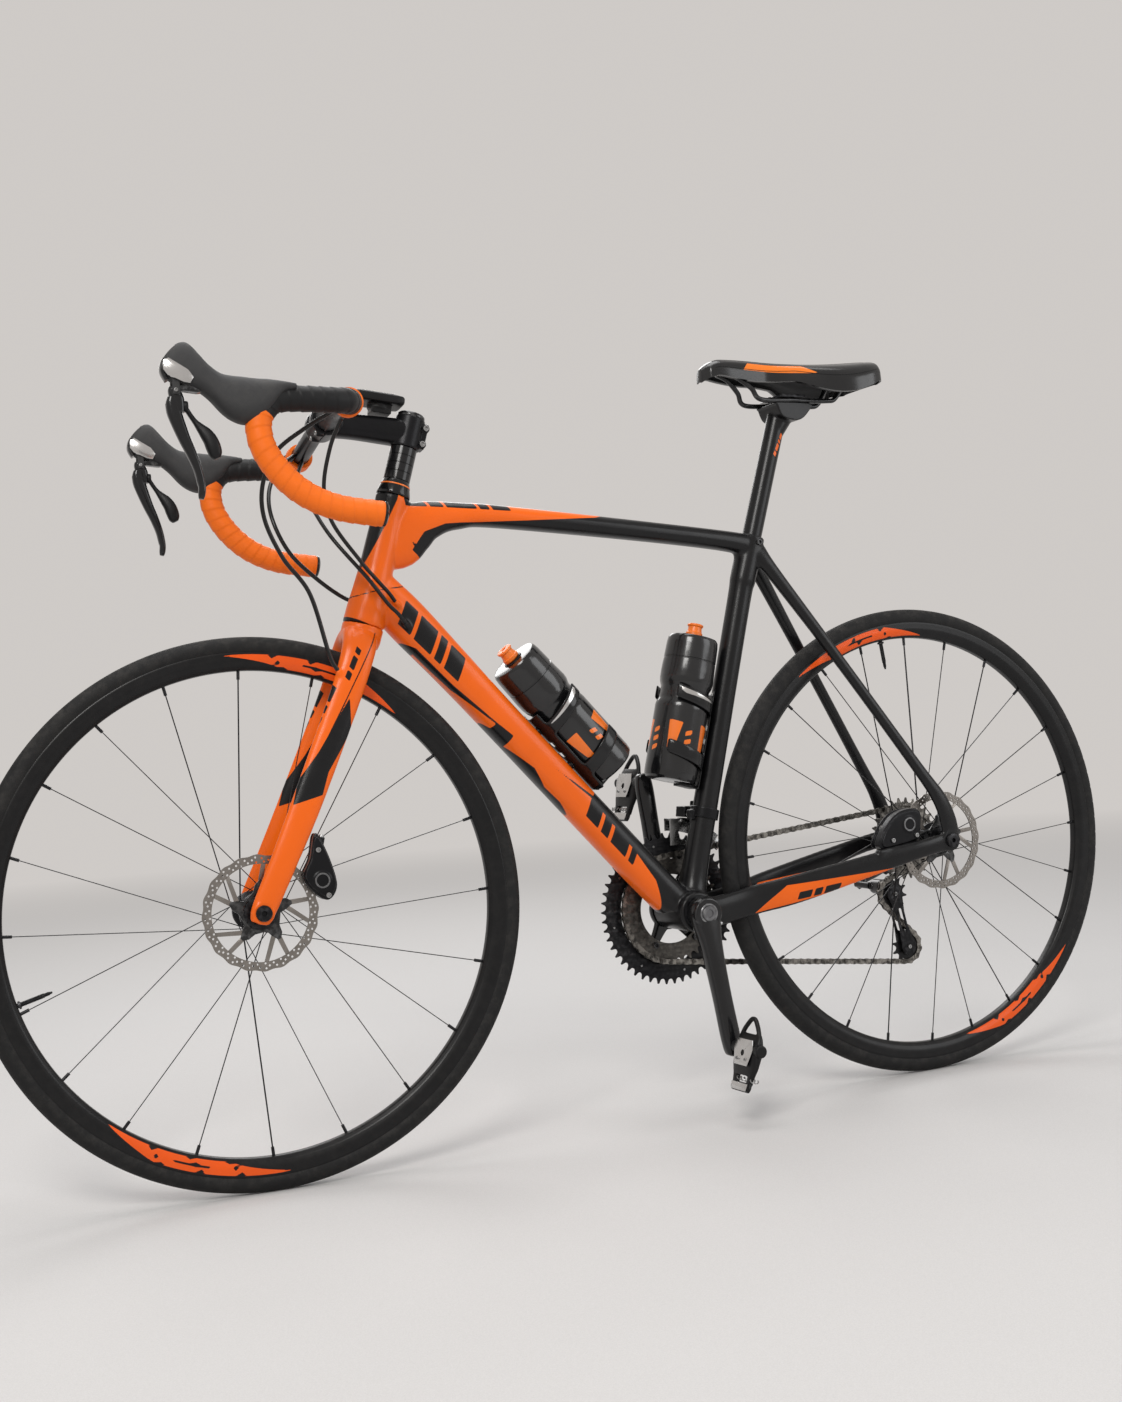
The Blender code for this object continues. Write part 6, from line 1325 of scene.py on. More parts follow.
SPIDER_WAYS = [atan2(-DOWN.z, -DOWN.x) + radians(offset) for offset in (36, 145, 215, 324)]
left_eye, right_eye = BB + DOWN * CRANK_LENGTH, BB - DOWN * CRANK_LENGTH
left_arm = melted("crank_left_arm",
                  [crank_arm(DOWN, -0.0535, -LEFT_EYE_Y, 0.025),
                   rod(BB - Y * 0.0665, BB - Y * 0.0412, 0.0205, 48, round_off=0.0015)],
                  0.0011, 3, [rod(left_eye - Y * 0.096, left_eye - Y * 0.0885, 0.007, 32)])
place_piece(left_arm, "crankset", gloss_alloy, ["crank_left"])
cap = turned([(0, 0.0004), (0, 0.005), (-0.0012, 0.0056), (-0.0012, 0.009), (-0.0006, 0.01), (0.002, 0.0102)],
             BB - Y * 0.0672, Y, 48)
slots = turned([(0, 0.0104), (-0.0006, 0.011), (-0.0006, 0.0126), (0, 0.0132)], BB - Y * 0.0666, Y, 48, hollow=True)
place_piece(build("crank_cap", [cap, slots], sharp=30), "crankset", grey_alloy)
across = DOWN.cross(Y).normalized()
for along in (-0.007, 0.007):
    bolt("crankset", BB + DOWN * (0.015 + along * 0.3) - Y * (0.0535 + along) + across * 0.0188, across, 0.0026)

shells = [crank_arm(-DOWN, 0.0565, RIGHT_EYE_Y, 0.02), rod(BB + Y * 0.041, BB + Y * 0.048, 0.029, 48, round_off=0.001)]
for a in SPIDER_WAYS:
    way, side = unit(a), unit(a + pi / 2)
    rows = [(0.018, 0.026, 0.0072), (0.034, 0.019, 0.0064), (0.05, 0.015, 0.0052), (0.06, 0.0125, 0.0046),
            (0.0636, 0.007, 0.004)]
    shells.append(loft([oval(BB + way * r + Y * 0.0441, side, Y, w, h, 24, 3.0) for r, w, h in flow(rows, 0.004)]))
right_arm = melted("crank_right_arm", shells, 0.0011, 3, [rod(right_eye + Y * 0.071, right_eye + Y * 0.078, 0.007, 32)])
place_piece(right_arm, "crankset", gloss_alloy, ["crank_right"])
spindle = [rod(BB - Y * 0.064, BB + Y * 0.056, 0.012, 40)]
for side, eye, inner in ((-1, left_eye, LEFT_EYE_Y), (1, right_eye, RIGHT_EYE_Y)):
    spindle.append(rod(eye + Y * side * (inner - 0.004), eye + Y * side * (inner + 0.07), 0.0045, 24, round_off=0.0008))
    spindle.append(rod(eye + Y * side * (inner + 0.0062), eye + Y * side * (inner + 0.0088), 0.0078, 24,
                       round_off=0.0006))
for way in (-1, 1):
    spindle.append(turned([(0.0402, 0.0126), (0.0402, 0.0215), (0.0378, 0.0232), (0.0372, 0.0262), (0.0352, 0.0262),
                           (0.0352, 0.0126)], BB, Y * way, 48, hollow=True))
place_piece(build("crank_spindle", spindle[:5], sharp=30), "crankset", grey_alloy)
place_piece(build("bearing_cups", spindle[5:], sharp=30), "frame", black_alloy)
print("cranks:", len(left_arm.data.polygons) + len(right_arm.data.polygons), "faces")

# %% Chainrings
ring_at = upright((BB.x, 0, BB.z), CHAIN_Y)
inner_ring = build("chainring_inner",
                   [plate(toothed(INNER_TEETH, phase(0)), [circle(0.0475, 80)], -0.0008, 0.0008, ring_at)],
                   bevel=0.00025, sharp=30)
place_piece(inner_ring, "crankset", chain_steel)
outer_at = upright((BB.x, 0, BB.z), 0.0442)
rim_hole = []
for t in turns(160):
    near = min(abs(((t - a + pi) % (2 * pi)) - pi) for a in SPIDER_WAYS)
    rim_hole.append(polar(0.0646 + 0.01 * min(1, max(0, (near - 0.16) / 0.22)) ** 0.8, t))
outer_ring = build("chainring_big", [plate(toothed(OUTER_TEETH, 0.02), [rim_hole], -0.001, 0.001, outer_at)],
                   bevel=0.0003, sharp=30)
relief = [polar(0.0905 + 0.0012 * cos(25 * t), t) for t in turns(200)]
band = build("chainring_relief", [plate(relief, [[polar(hypot(u, v) + 0.0022, atan2(v, u)) for u, v in rim_hole]],
                                        0.001, 0.0016, outer_at)], bevel=0.0003)
place_piece(outer_ring, "crankset", black_alloy, ["chainring_outer"])
place_piece(band, "crankset", gloss_alloy)
for a in SPIDER_WAYS:
    bolt("crankset", BB + BOLT_CIRCLE * unit(a) + Y * 0.0472, Y, 0.0046, look="dark")
    bolt("crankset", BB + BOLT_CIRCLE * unit(a) + Y * (CHAIN_Y - 0.0008), -Y, 0.0046, look="dark")
for a in turns(8):
    bolt("crankset", BB + 0.0885 * unit(a + 0.2) + Y * 0.0431, -Y, 0.0016)
print("chainrings")

# %% Pedals
# A road pedal: an axle barrel, a waisted body with a steel plate, a toe hook with an open loop, and a sprung rear
# claw.
PEDAL_TOE = Vector((0.3, 0, 0.95)).normalized()
PEDAL_UP = Vector((-PEDAL_TOE.z, 0, PEDAL_TOE.x))


def pedal(tag, side, eye, inner):
    """One pedal, with its places given as toe, side and up from its middle."""
    middle = eye + Y * side * (inner + 0.042)

    def at(t, w, h):
        return middle + PEDAL_TOE * t + Y * side * w + PEDAL_UP * h

    def slab(rows):
        """A flat bar through (toe, side, up, width, thickness) stations."""
        return loft([oval(at(*spot), Y, PEDAL_UP, wide, high, 28, 3.0) for *spot, wide, high in flow(rows, 0.002)])

    shells = [
        rod(eye + Y * side * (inner + 0.009), eye + Y * side * (inner + 0.073), 0.0084, 40, round_off=0.0012),
        slab([(-0.034, 0, 0, 0.048, 0.009), (-0.02, 0, 0, 0.056, 0.012), (0, 0, 0, 0.056, 0.0165),
              (0.014, 0, 0, 0.05, 0.012), (0.02, 0, 0, 0.044, 0.008)]),
        slab([(-0.055, 0, 0.0012, 0.04, 0.005), (-0.05, 0, 0.0015, 0.046, 0.0075), (-0.043, 0, 0.0005, 0.044, 0.0065)]),
        *(slab([(-0.045, s * 0.016, 0, 0.01, 0.007), (-0.03, s * 0.018, 0, 0.011, 0.008)]) for s in (1, -1)),
    ]
    hook = [(0.014, 0.0215), (0.024, 0.017), (0.033, 0.01), (0.0385, 0.004)]
    loop = [(t, -w) for t, w in hook] + [(0.0392, 0.0)] + hook[::-1]
    shells.append(piped(flow([at(t, w - 0.0012, 0.0004) for t, w in loop], 0.002), 0.0031, 20))
    name = "pedal_" + tag
    place_piece(melted(name + "_body", shells, 0.0009, 3), name, plastic, [name])
    rows = [(-0.022, 0.03), (0.0, 0.044), (0.012, 0.036)]
    top = [(t, -w / 2) for t, w in rows] + [(t, w / 2) for t, w in rows[::-1]]
    claw = [(-0.0535, -0.017), (-0.044, -0.019), (-0.044, 0.019), (-0.0535, 0.017)]
    steel = [plate(top, [circle(0.004, 20, -0.006)], 0.0079, 0.0093, at), plate(claw, [], 0.0042, 0.0054, at)]
    place_piece(build(name + "_plate", steel, bevel=0.0004), name, polished)
    for w in (0.01, -0.01):
        bolt(name, at(-0.014, w, 0.0093), PEDAL_UP, 0.0022)
    spring = [at(-0.0385 + 0.0022 * cos(a), -0.0125 + 0.004 * a / pi, 0.0008 + 0.0022 * sin(a))
              for a in (2 * pi * k / 10 for k in range(61))]
    place_piece(build(name + "_spring", [piped(spring, 0.0008, 8)]), name, bolt_steel)


pedal("left", -1, left_eye, LEFT_EYE_Y)
pedal("right", 1, right_eye, RIGHT_EYE_Y)

# %% Rear derailleur
CAGE_PIVOT = guide_at + Vector((-0.008, 0, 0.01))
KNUCKLE, KNUCKLE_Y = Vector((0.009, 0, -0.028)), REAR_HALF + 0.0068
drop_away = Vector((guide_at.x, 0, guide_at.z)).normalized()
shift_way = (drop_away * 0.8 - Y).normalized()
flat = Vector((-0.93, 0, -0.37))
link_middle = (flat - shift_way * flat.dot(shift_way)).normalized()
link_axis = link_middle.cross(shift_way).normalized()
link_way = link_middle * cos(radians(19)) + shift_way * sin(radians(19))
link_side = link_axis.cross(link_way)
LINK_A = Vector((0.006, 0.09, -0.047))
LINK_B = LINK_A + link_way * 0.045
BARREL, LINK_HALF, EAR = 0.0055, 0.006, 0.0028


def forked(pivot, way):
    """A fork's solid, and the cutter that opens it towards the link."""
    axes = (way, link_axis.cross(way), link_axis)
    ears = [block(pivot - way * 0.003, axes, (0.015, 2 * BARREL, 2 * (LINK_HALF + EAR))),
            pin(pivot, link_axis, LINK_HALF + EAR, BARREL)]
    return ears, block(pivot + way * (0.02 - BARREL - 0.0005), axes, (0.04, 0.03, 2 * (LINK_HALF + 0.0003)))


ears, slot = forked(LINK_A, link_way)
knuckle = melted("rd_knuckle_casting",
                 [rod(KNUCKLE + Y * KNUCKLE_Y, KNUCKLE + Y * (KNUCKLE_Y + 0.0135), 0.01, 44, round_off=0.0015),
                  rod(KNUCKLE + Y * (KNUCKLE_Y + 0.007), LINK_A - link_way * 0.0085, 0.0065, 32),
                  *ears], 0.0007, 3, [slot])
place_piece(knuckle, "rd_knuckle", gloss_plastic, ["rd_knuckle"])
bolt("rd_knuckle", KNUCKLE + Y * (KNUCKLE_Y + 0.0135), Y, 0.0062)
rows = ((0.0, 0.0085, 0.01), (0.01, 0.009, 0.011), (0.0225, 0.0098, 0.0115), (0.035, 0.009, 0.011),
        (0.045, 0.0085, 0.01))
bar = loft([oval(LINK_A + link_way * t, link_side, link_axis, w, h, 32, 3.2) for t, w, h in rows])
link = melted("rd_link_casting", [pin(LINK_A, link_axis, LINK_HALF, BARREL), pin(LINK_B, link_axis, LINK_HALF, BARREL),
                                  bar], 0.0006, 3)
place_piece(link, "rd_link", gloss_alloy, ["rd_link"])
ears, slot = forked(LINK_B, -link_way)
elbow = Vector((LINK_B.x - 0.0075, 0.064, CAGE_PIVOT.z + 0.002))
pknuckle = melted("rd_pknuckle_casting",
                  [rod(CAGE_PIVOT + Y * 0.0458, CAGE_PIVOT + Y * 0.068, 0.011, 44, round_off=0.0015),
                   rod(CAGE_PIVOT + Y * 0.06, elbow, 0.006, 28),
                   rod(elbow, LINK_B + link_way * 0.0118, 0.005, 28), *ears], 0.0007, 3, [slot])
place_piece(pknuckle, "rd_pknuckle", gloss_plastic, ["rd_pknuckle"])
bolt("rd_pknuckle", CAGE_PIVOT + Y * 0.068, Y, 0.005)
for body, pivot_at in (("rd_knuckle", LINK_A), ("rd_pknuckle", LINK_B)):
    for s in (-1, 1):
        bolt(body, pivot_at + link_axis * s * (LINK_HALF + EAR - 0.0004), link_axis * s, 0.0026)
print("derailleur castings:", len(knuckle.data.polygons) + len(link.data.polygons) + len(pknuckle.data.polygons),
      "faces")

# %% The pulleys' cage
cage_way = (tension_at - guide_at).normalized()
cage_side = Vector((cage_way.z, 0, -cage_way.x))
CAGE_IN, CAGE_OUT, CAGE_WALL, REACH = CHAIN_Y - 0.0062, CHAIN_Y + 0.0062, 0.0019, 0.082


def cage_plate(y):
    """One waisted side with round ends, and a window between the pulleys."""
    rows = []
    for start, a0, r, s in ((0.0, 90, 0.013, -1), (REACH, 270, 0.0125, 1)):
        rows += [(start + r * cos(a), r * sin(a)) for a in (radians(a0 + 15 * k) for k in range(13))]
        rows += [(REACH * (0.5 + s * 0.14), s * 0.0078), (REACH * (0.5 - s * 0.14), s * 0.007)]
    lift = lambda u, v, h: guide_at + cage_way * u + cage_side * v + Y * (y + h)
    window = [(0.023, -0.003), (0.026, -0.0044), (0.056, -0.0036), (0.059, 0.0), (0.056, 0.0036), (0.026, 0.0044),
              (0.023, 0.003)]
    return plate(rows, [window], -CAGE_WALL / 2, CAGE_WALL / 2, lift)


shells = [cage_plate(CAGE_OUT), cage_plate(CAGE_IN),
          rod(CAGE_PIVOT + Y * (CAGE_OUT - 0.0005), CAGE_PIVOT + Y * 0.0455, 0.0105, 40)]
for centre in (guide_at, tension_at):
    shells += [rod(centre + Y * CAGE_IN, centre + Y * CAGE_OUT, 0.0035, 24),
               rod(centre + Y * (CAGE_OUT + 0.0008), centre + Y * (CAGE_OUT + 0.002), 0.0052, 24, round_off=0.0004)]
    bolt("rd_cage", centre + Y * (CAGE_IN - 0.0009), -Y, 0.0032)
place_piece(build("rd_cage_plates", shells, bevel=0.00025), "rd_cage", black_alloy, ["rd_cage"])
for name, centre, i in (("jockey_upper", guide_at, 2), ("jockey_lower", tension_at, 1)):
    windows = [circle(0.0026, 14, *polar(0.0098, t)) for t in turns(5)]
    wheel_shape = plate(toothed(JOCKEY_TEETH, phase(i), 0.0032), [circle(0.0042, 24), *windows], -0.0009, 0.0009,
                        upright(centre, CHAIN_Y))
    boss = turned([(-0.0022, 0.0039), (-0.0022, 0.0064), (0.0022, 0.0064), (0.0022, 0.0039)], centre + Y * CHAIN_Y, Y,
                  32, hollow=True)
    place_piece(build(name + "_pulley", [wheel_shape, boss], bevel=0.0002, sharp=30), name, plastic,
                [name])
print("cage and pulleys")

# %% Front derailleur
at_bb = upright((BB.x, 0, BB.z), 0)
FD_LOW = pitch_radius(OUTER_TEETH) + 0.0058
FD_HIGH = FD_LOW + 0.017
FD_IN, FD_OUT = CHAIN_Y - 0.0056, 0.0448


def fan(low, high, a0, a1, steps=28, tail=0.0):
    """A band round the bottom bracket, from straight up to the rear, tapered to its tail."""
    ways = [a0 + (a1 - a0) * k / steps for k in range(steps + 1)]
    rise = [tail * (k / steps) ** 2 for k in range(steps + 1)]
    return [(high * sin(a), high * cos(a)) for a in ways] + [((low + e) * sin(a), (low + e) * cos(a))
                                                             for a, e in list(zip(ways, rise))[::-1]]


shells = [plate(fan(FD_LOW, FD_HIGH, 0.03, 0.86, tail=0.004), [], FD_OUT, FD_OUT + 0.0013, at_bb),
          plate(fan(0.087, FD_HIGH, 0.03, 0.7, tail=0.016), [fan(0.096, FD_HIGH - 0.0065, 0.16, 0.4, 8)],
                FD_IN - 0.0013, FD_IN, at_bb),
          plate(fan(FD_HIGH - 0.0026, FD_HIGH + 0.0003, 0.03, 0.42, 14), [], FD_IN - 0.0008, FD_OUT + 0.0008, at_bb),
          plate([(0.02, 0.118), (0.042, 0.114), (0.044, 0.1206), (0.022, 0.1242)], [], 0.027, 0.04, at_bb)]
place_piece(build("fd_cage_plates", shells, bevel=0.0003), "fd_cage", bolt_steel, ["fd_cage"])
SEAT_ROWS = [(seat_line(z), 0, z, 0.034 + 0.006, 0.034 + 0.006) for z in (0.06, 0.063, 0.067, 0.071, 0.074)]
FD_BLOCK = [(0.018, 0.1258), (0.044, 0.1218), (0.047, 0.133), (0.04, 0.139), (0.02, 0.14)]
arm_low = Vector((BB.x + 0.04, 0.029, BB.z + 0.13))
shells = [swept(SEAT_ROWS, 48, 2.1, step=None), plate(FD_BLOCK, [], 0.014, 0.038, at_bb),
          rod(arm_low, arm_low + Vector((0.004, 0.004, 0.015)), 0.0036, 24),
          block((seat_line(0.067) - 0.0195, 0, 0.067), (X, Y, Z), (0.01, 0.012, 0.0135))]
inner_rows = [(seat_line(z), 0, z, 0.0346, 0.0346) for z in (0.05, 0.067, 0.084)]
body = melted("fd_casting", shells, 0.0009, 3, [swept(inner_rows, 48, 2.1, step=None)])
place_piece(body, "frame", black_alloy, ["fd_body"])
bolt("frame", (seat_line(0.067) - 0.0205, 0.0064, 0.067), Y, 0.003)
bolt("frame", arm_low + Vector((0.004, 0.006, 0.012)), Y, 0.0028)
for u, v in ((0.025, 0.133), (0.038, 0.129)):
    bolt("frame", (BB.x + u, 0.038, BB.z + v), Y, 0.0026)
print("front derailleur")

# %% [markdown]
# ## Stem, bars and what sits on them
# The stem is forged and its faceplate clamps the bar with bolts. The bar is one tube, bent to the shape that hands
# know: tops, ramps, hooks and drops. The tape is wound round it from the ends, each turn half over the last, so its
# surface is a row of shallow steps that lean over. The levers hang in a rubber hood that is pulled over a bracket.

# %% Headset, stem and cap
STEM_SIDE = STEM_WAY.cross(Y)
cover = turned([(HEAD_TOP + 0.0004, 0.0143), (HEAD_TOP + 0.0004, 0.0214), (HEAD_TOP + 0.0012, 0.0217),
                (HEAD_TOP + 0.004, 0.0214), (HEAD_TOP + 0.012, 0.0194),
                (COVER_TOP - 0.0008, 0.0173), (COVER_TOP, 0.0168), (COVER_TOP, 0.0143)], STEER_FOOT, STEER_AXIS, 72,
               hollow=True)
place_piece(build("headset_cone", [cover]), "steering", gloss_plastic, ["headset_cover"])
band = turned([(HEAD_TOP + 0.0132, 0.017), (HEAD_TOP + 0.0132, 0.01935), (HEAD_TOP + 0.015, 0.0189),
               (HEAD_TOP + 0.015, 0.017)], STEER_FOOT, STEER_AXIS, 72, hollow=True)
place_piece(build("headset_band", [band]), "steering", orange_plastic)
profile, low, count = [], COVER_TOP + 0.0003, 4
for k in range(count):
    a, b = low + (SPACER_TOP - low) * k / count, low + (SPACER_TOP - low) * (k + 1) / count
    profile += [(a + 0.0002, 0.0162), (a + 0.0006, 0.017), (b - 0.0006, 0.017), (b - 0.0002, 0.0162)]
spacers = turned([(low, 0.0146), *profile, (SPACER_TOP, 0.0146)], STEER_FOOT, STEER_AXIS, 72, hollow=True)
place_piece(build("spacer_stack", [spacers]), "steering", gloss_plastic, ["headset_spacers"])

FACE_BOLTS, EAR_BOLTS = [(y, v) for y in (-0.0155, 0.0155) for v in (-0.017, 0.017)], (-0.0105, 0.0105)
STEM_SHAPE = [(0.0, 0.036, 0.0355), (0.3, 0.033, 0.034), (0.65, 0.031, 0.032), (0.88, 0.033, 0.034),
              (1.0, 0.035, 0.036)]
barrel = [oval(STEM_BACK + STEM_WAY * (STEM_LENGTH * t), Y, STEM_SIDE, w, h, 40, 2.8)
          for t, w, h in flow(STEM_SHAPE, 0.05)]
ear = on_steerer(STEM_MIDDLE, -0.0195)
shells = [loft(barrel), rod(on_steerer(SPACER_TOP + 0.0003), on_steerer(STEM_TOP), 0.019, 48, round_off=0.001),
          pin(CLAMP, Y, 0.023, 0.0204, 48, 0.001)]
shells += [pin(ear + STEER_AXIS * h, Y, 0.0112, 0.0056, 28, 0.0006) for h in EAR_BOLTS]
shells.append(block(ear + STEER_FORE * 0.0006, (STEER_FORE, Y, STEER_AXIS), (0.009, 0.019, 0.033)))
cutters = [pin(CLAMP, Y, 0.05, 0.0161, 48),
           block(CLAMP + STEM_WAY * 0.021, (STEM_WAY, Y, STEM_SIDE), (0.04, 0.08, 0.08)),
           rod(on_steerer(SPACER_TOP - 0.02), on_steerer(STEM_TOP + 0.02), STEERER_BORE, 48)]
stem = melted("stem_forging", shells, 0.0008, 3, cutters)
place_piece(stem, "steering", black_alloy, ["stem"])
face = melted("faceplate", [pin(CLAMP, Y, 0.023, 0.0204, 48, 0.001)] + [
    rod(CLAMP + STEM_SIDE * v + Y * y - STEM_WAY * 0.001, CLAMP + STEM_SIDE * v + Y * y + STEM_WAY * 0.0115, 0.005, 24,
        round_off=0.0006) for y, v in FACE_BOLTS],
    0.0008, 2, [pin(CLAMP, Y, 0.05, 0.0161, 48),
                block(CLAMP + STEM_WAY * (0.0026 - 0.02), (STEM_WAY, Y, STEM_SIDE), (0.04, 0.08, 0.08)),
                block(CLAMP + STEM_WAY * 0.02, (STEM_WAY, Y, STEM_SIDE), (0.04, 0.015, 0.015))])
place_piece(face, "steering", black_alloy, ["stem_faceplate"])
for y, v in FACE_BOLTS:
    bolt("steering", CLAMP + STEM_SIDE * v + Y * y + STEM_WAY * 0.0112, STEM_WAY, 0.0034)
for h in EAR_BOLTS:
    bolt("steering", ear + STEER_AXIS * h - Y * 0.0112, -Y, 0.004)
cap = turned([(STEM_TOP + 0.0003, 0.0176), (STEM_TOP + 0.0016, 0.0179), (STEM_TOP + 0.004, 0.0174),
              (STEM_TOP + 0.0056, 0.0158), (STEM_TOP + 0.006, 0.013),
              (STEM_TOP + 0.0056, 0.0064), (STEM_TOP + 0.003, 0.0058), (STEM_TOP + 0.003, 0.0004)], STEER_FOOT,
             STEER_AXIS, 64)
place_piece(build("steerer_cap", [cap]), "steering", gloss_alloy, ["stem_cap"])
bolt("steering", on_steerer(STEM_TOP + 0.0028), STEER_AXIS, 0.004)
print("stem:", len(stem.data.polygons), "faces")

# %% The bar
BAR_RADIUS, BAR_HALF, CLAMP_RADIUS = 0.0119, 0.205, 0.0159
half_bar = [Vector((CLAMP.x - f, y, CLAMP.z - d)) for f, y, d in ((0, 0, 0), (0, 0.026, 0), (0.0005, 0.045, 0.001),
                                                                  (0.001, 0.07, 0.0015))]
half_bar += [Vector((CLAMP.x - f, BAR_HALF - d_in, CLAMP.z - d)) for f, d_in, d in (
    (0.003, 0.055, 0.0105), (0.008, 0.027, 0.0145), (0.026, 0.008, 0.018), (0.09, 0, 0.018), (0.109, 0, 0.028),
    (0.118, 0, 0.0455), (0.1145, 0, 0.0735), (0.097, 0, 0.103),
    (0.07, 0, 0.1275), (0.034, 0, 0.1435), (-0.017, 0, 0.1525))]
TAPE_FIRST = 4


def along_bar(side, step=0.002):
    """The half bar as a fine line, with its distance from the middle and the distance where the tape starts."""
    fine = flow(half_bar, step)
    fine[:, 1] *= side
    far = np.concatenate([[0], np.cumsum(np.linalg.norm(np.diff(fine, axis=0), axis=1))])
    start = far[int(np.argmin(np.linalg.norm(fine - np.array(half_bar[TAPE_FIRST]) * (1, side, 1), axis=1)))]
    return fine, far, start


right_fine, far, _ = along_bar(1, 0.003)
whole = np.vstack([(right_fine * (1, -1, 1))[::-1], right_fine[1:]])
spread_far = np.concatenate([far[::-1], far[1:]])
radii = np.interp(spread_far, [0, 0.026, 0.05, 9], [CLAMP_RADIUS, CLAMP_RADIUS, BAR_RADIUS, BAR_RADIUS])
place_piece(build("bar_tube", [piped(whole, radii, 40)]), "steering", black_alloy, ["handlebar"])
print("bar:", round(2 * float(far[-1]), 3), "m of tube")

# %% Tape
tape = finish("bar_tape", (0.0065, 0.0065, 0.007), (0.011, 0.011, 0.012), (0.42, 0.56),
              fields=[("orange", (0.88, 0.16, 0.008))], grain=(1500.0, 0.0003), cloud=(60.0, 0.5), dust=0.01,
              specular=0.25)
winding, given, out = tree_of("Wound tape",
                              [("Turn width", METRES, 0.013), ("Step", METRES, 0.0008), ("Lean", METRES, 0.5),
                               ("Ripple", METRES, 0.0003), ("Seed", METRES, 3.0), ("Finish", LOOK, None)])
lap = maths(winding, "ADD", read(winding, "far"),
            maths(winding, "MULTIPLY", read(winding, "round"),
                  maths(winding, "MULTIPLY", given["Turn width"], given["Lean"])))
lap = maths(winding, "FRACT", maths(winding, "DIVIDE", lap, given["Turn width"]))
rise = maths(winding, "MULTIPLY",
             maths(winding, "SMOOTH_MIN", lap, maths(winding, "MULTIPLY", maths(winding, "SUBTRACT", 1.0, lap), 9.0),
                   0.12), given["Step"])
noise = add(winding, "ShaderNodeTexNoise", {"Scale": 90.0, "Detail": 3.0, "W": given["Seed"]},
            noise_dimensions="4D").outputs[0]
rise = maths(winding, "ADD", rise, maths(winding, "MULTIPLY", maths(winding, "SUBTRACT", noise, 0.5), given["Ripple"]))
outward = add(winding, "ShaderNodeVectorMath",
              {0: read(winding, "out", "FLOAT_VECTOR"),
               "Scale": maths(winding, "MULTIPLY", rise, read(winding, "skin"))}, operation="SCALE").outputs[0]
ended(winding, add(winding, "GeometryNodeSetPosition", {"Geometry": given["Mesh"], "Offset": outward}).outputs[0], out,
      None)


def wound(name, side):
    """A sleeve along the bar whose outer skin the tree winds. It opens at the ring and ends at the plug."""
    fine, far, start = along_bar(side, 0.0011)
    keep = far >= start - 1e-6
    points, far = fine[keep], far[keep]
    frames, last = carried(points), far[-1]
    n, rings, notes = 56, [], {"far": [], "round": [], "out": [], "skin": [], "orange": []}
    share = np.arange(n) / n if side > 0 else 1 - np.arange(n) / n
    for skin, rows in ((1, range(len(points))), (0, range(len(points) - 1, -1, -1))):
        for i in rows:
            near_end = min(1.0, (far[i] - start) / 0.004, (last - far[i]) / 0.002)
            r = BAR_RADIUS + (0.0023 + 0.0003 * near_end + 0.0024 * (far[i] - start < 0.017) if skin else 0.0004)
            ring = oval(points[i], *frames[i], 2 * r, 2 * r, n)
            rings.append(ring)
            notes["far"] += [far[i]] * n
            notes["round"] += list(share)
            notes["out"] += list((ring - points[i]) / r)
            notes["skin"] += [float(skin) * near_end] * n
            notes["orange"] += [max(0.0175 - (far[i] - start), far[i] - start - 0.15)] * n
    obj = build(name, [loft(rings, loop=True)])
    for key, values in notes.items():
        noted(obj, key, values)
    grown(obj, winding, **{"Turn width": 0.0135, "Step": 0.0009, "Lean": 1.0, "Ripple": 0.0004, "Seed": 3.0 + side})
    end, back = Vector(points[-1]), (Vector(points[-1]) - Vector(points[-4])).normalized()
    cap = [(0.0003, 0.0004), (0.0003, 0.0142), (0.0012, 0.015), (0.003, 0.0146), (0.0046, 0.0118), (0.0052, 0.009),
           (0.0044, 0.008), (0.0044, 0.0004)]
    return obj, build(name + "_plug", [turned(cap, end, back, 48)])


for side, tag in ((-1, "left"), (1, "right")):
    wrap, plug = wound("tape_" + tag + "_wrap", side)
    place_piece(wrap, "steering", tape, ["tape_" + tag])
    place_piece(plug, "steering", gloss_plastic)
print("tape:", len(wrap.data.polygons), "faces a side")

# %% Hoods, levers and paddles
HOOD = [(0.074, -0.0105, -0.0015, 0.0285), (0.088, -0.015, 0.0012, 0.034), (0.104, -0.034, 0.004, 0.037),
        (0.119, -0.045, 0.005, 0.0375), (0.134, -0.047, 0.007, 0.037), (0.147, -0.0425, 0.0085, 0.0345),
        (0.158, -0.034, 0.0115, 0.0325), (0.17, -0.02, 0.021, 0.031), (0.18, -0.011, 0.033, 0.0305),
        (0.187, -0.007, 0.0415, 0.029), (0.194, -0.0045, 0.0462, 0.027), (0.203, -0.0025, 0.044, 0.025),
        (0.212, 0.0015, 0.0365, 0.0215), (0.2185, 0.0065, 0.0285, 0.016), (0.2205, 0.01, 0.024, 0.008)]


def cockpit(fore, y, rise):
    """A place given from the bars' clamp: so far ahead, to the right and up."""
    return Vector((CLAMP.x - fore, y, CLAMP.z + rise))


def strip(path, y):
    """A bent bar through (forward, up, width, thickness) stations in one upright plane."""
    rows = flow([(*cockpit(f, y, u), w, t) for f, u, w, t in path], 0.0015)
    return loft([oval(at, *across, wide, thick, 28, 2.6) for (*at, wide, thick), across in zip(rows, bent(rows))])


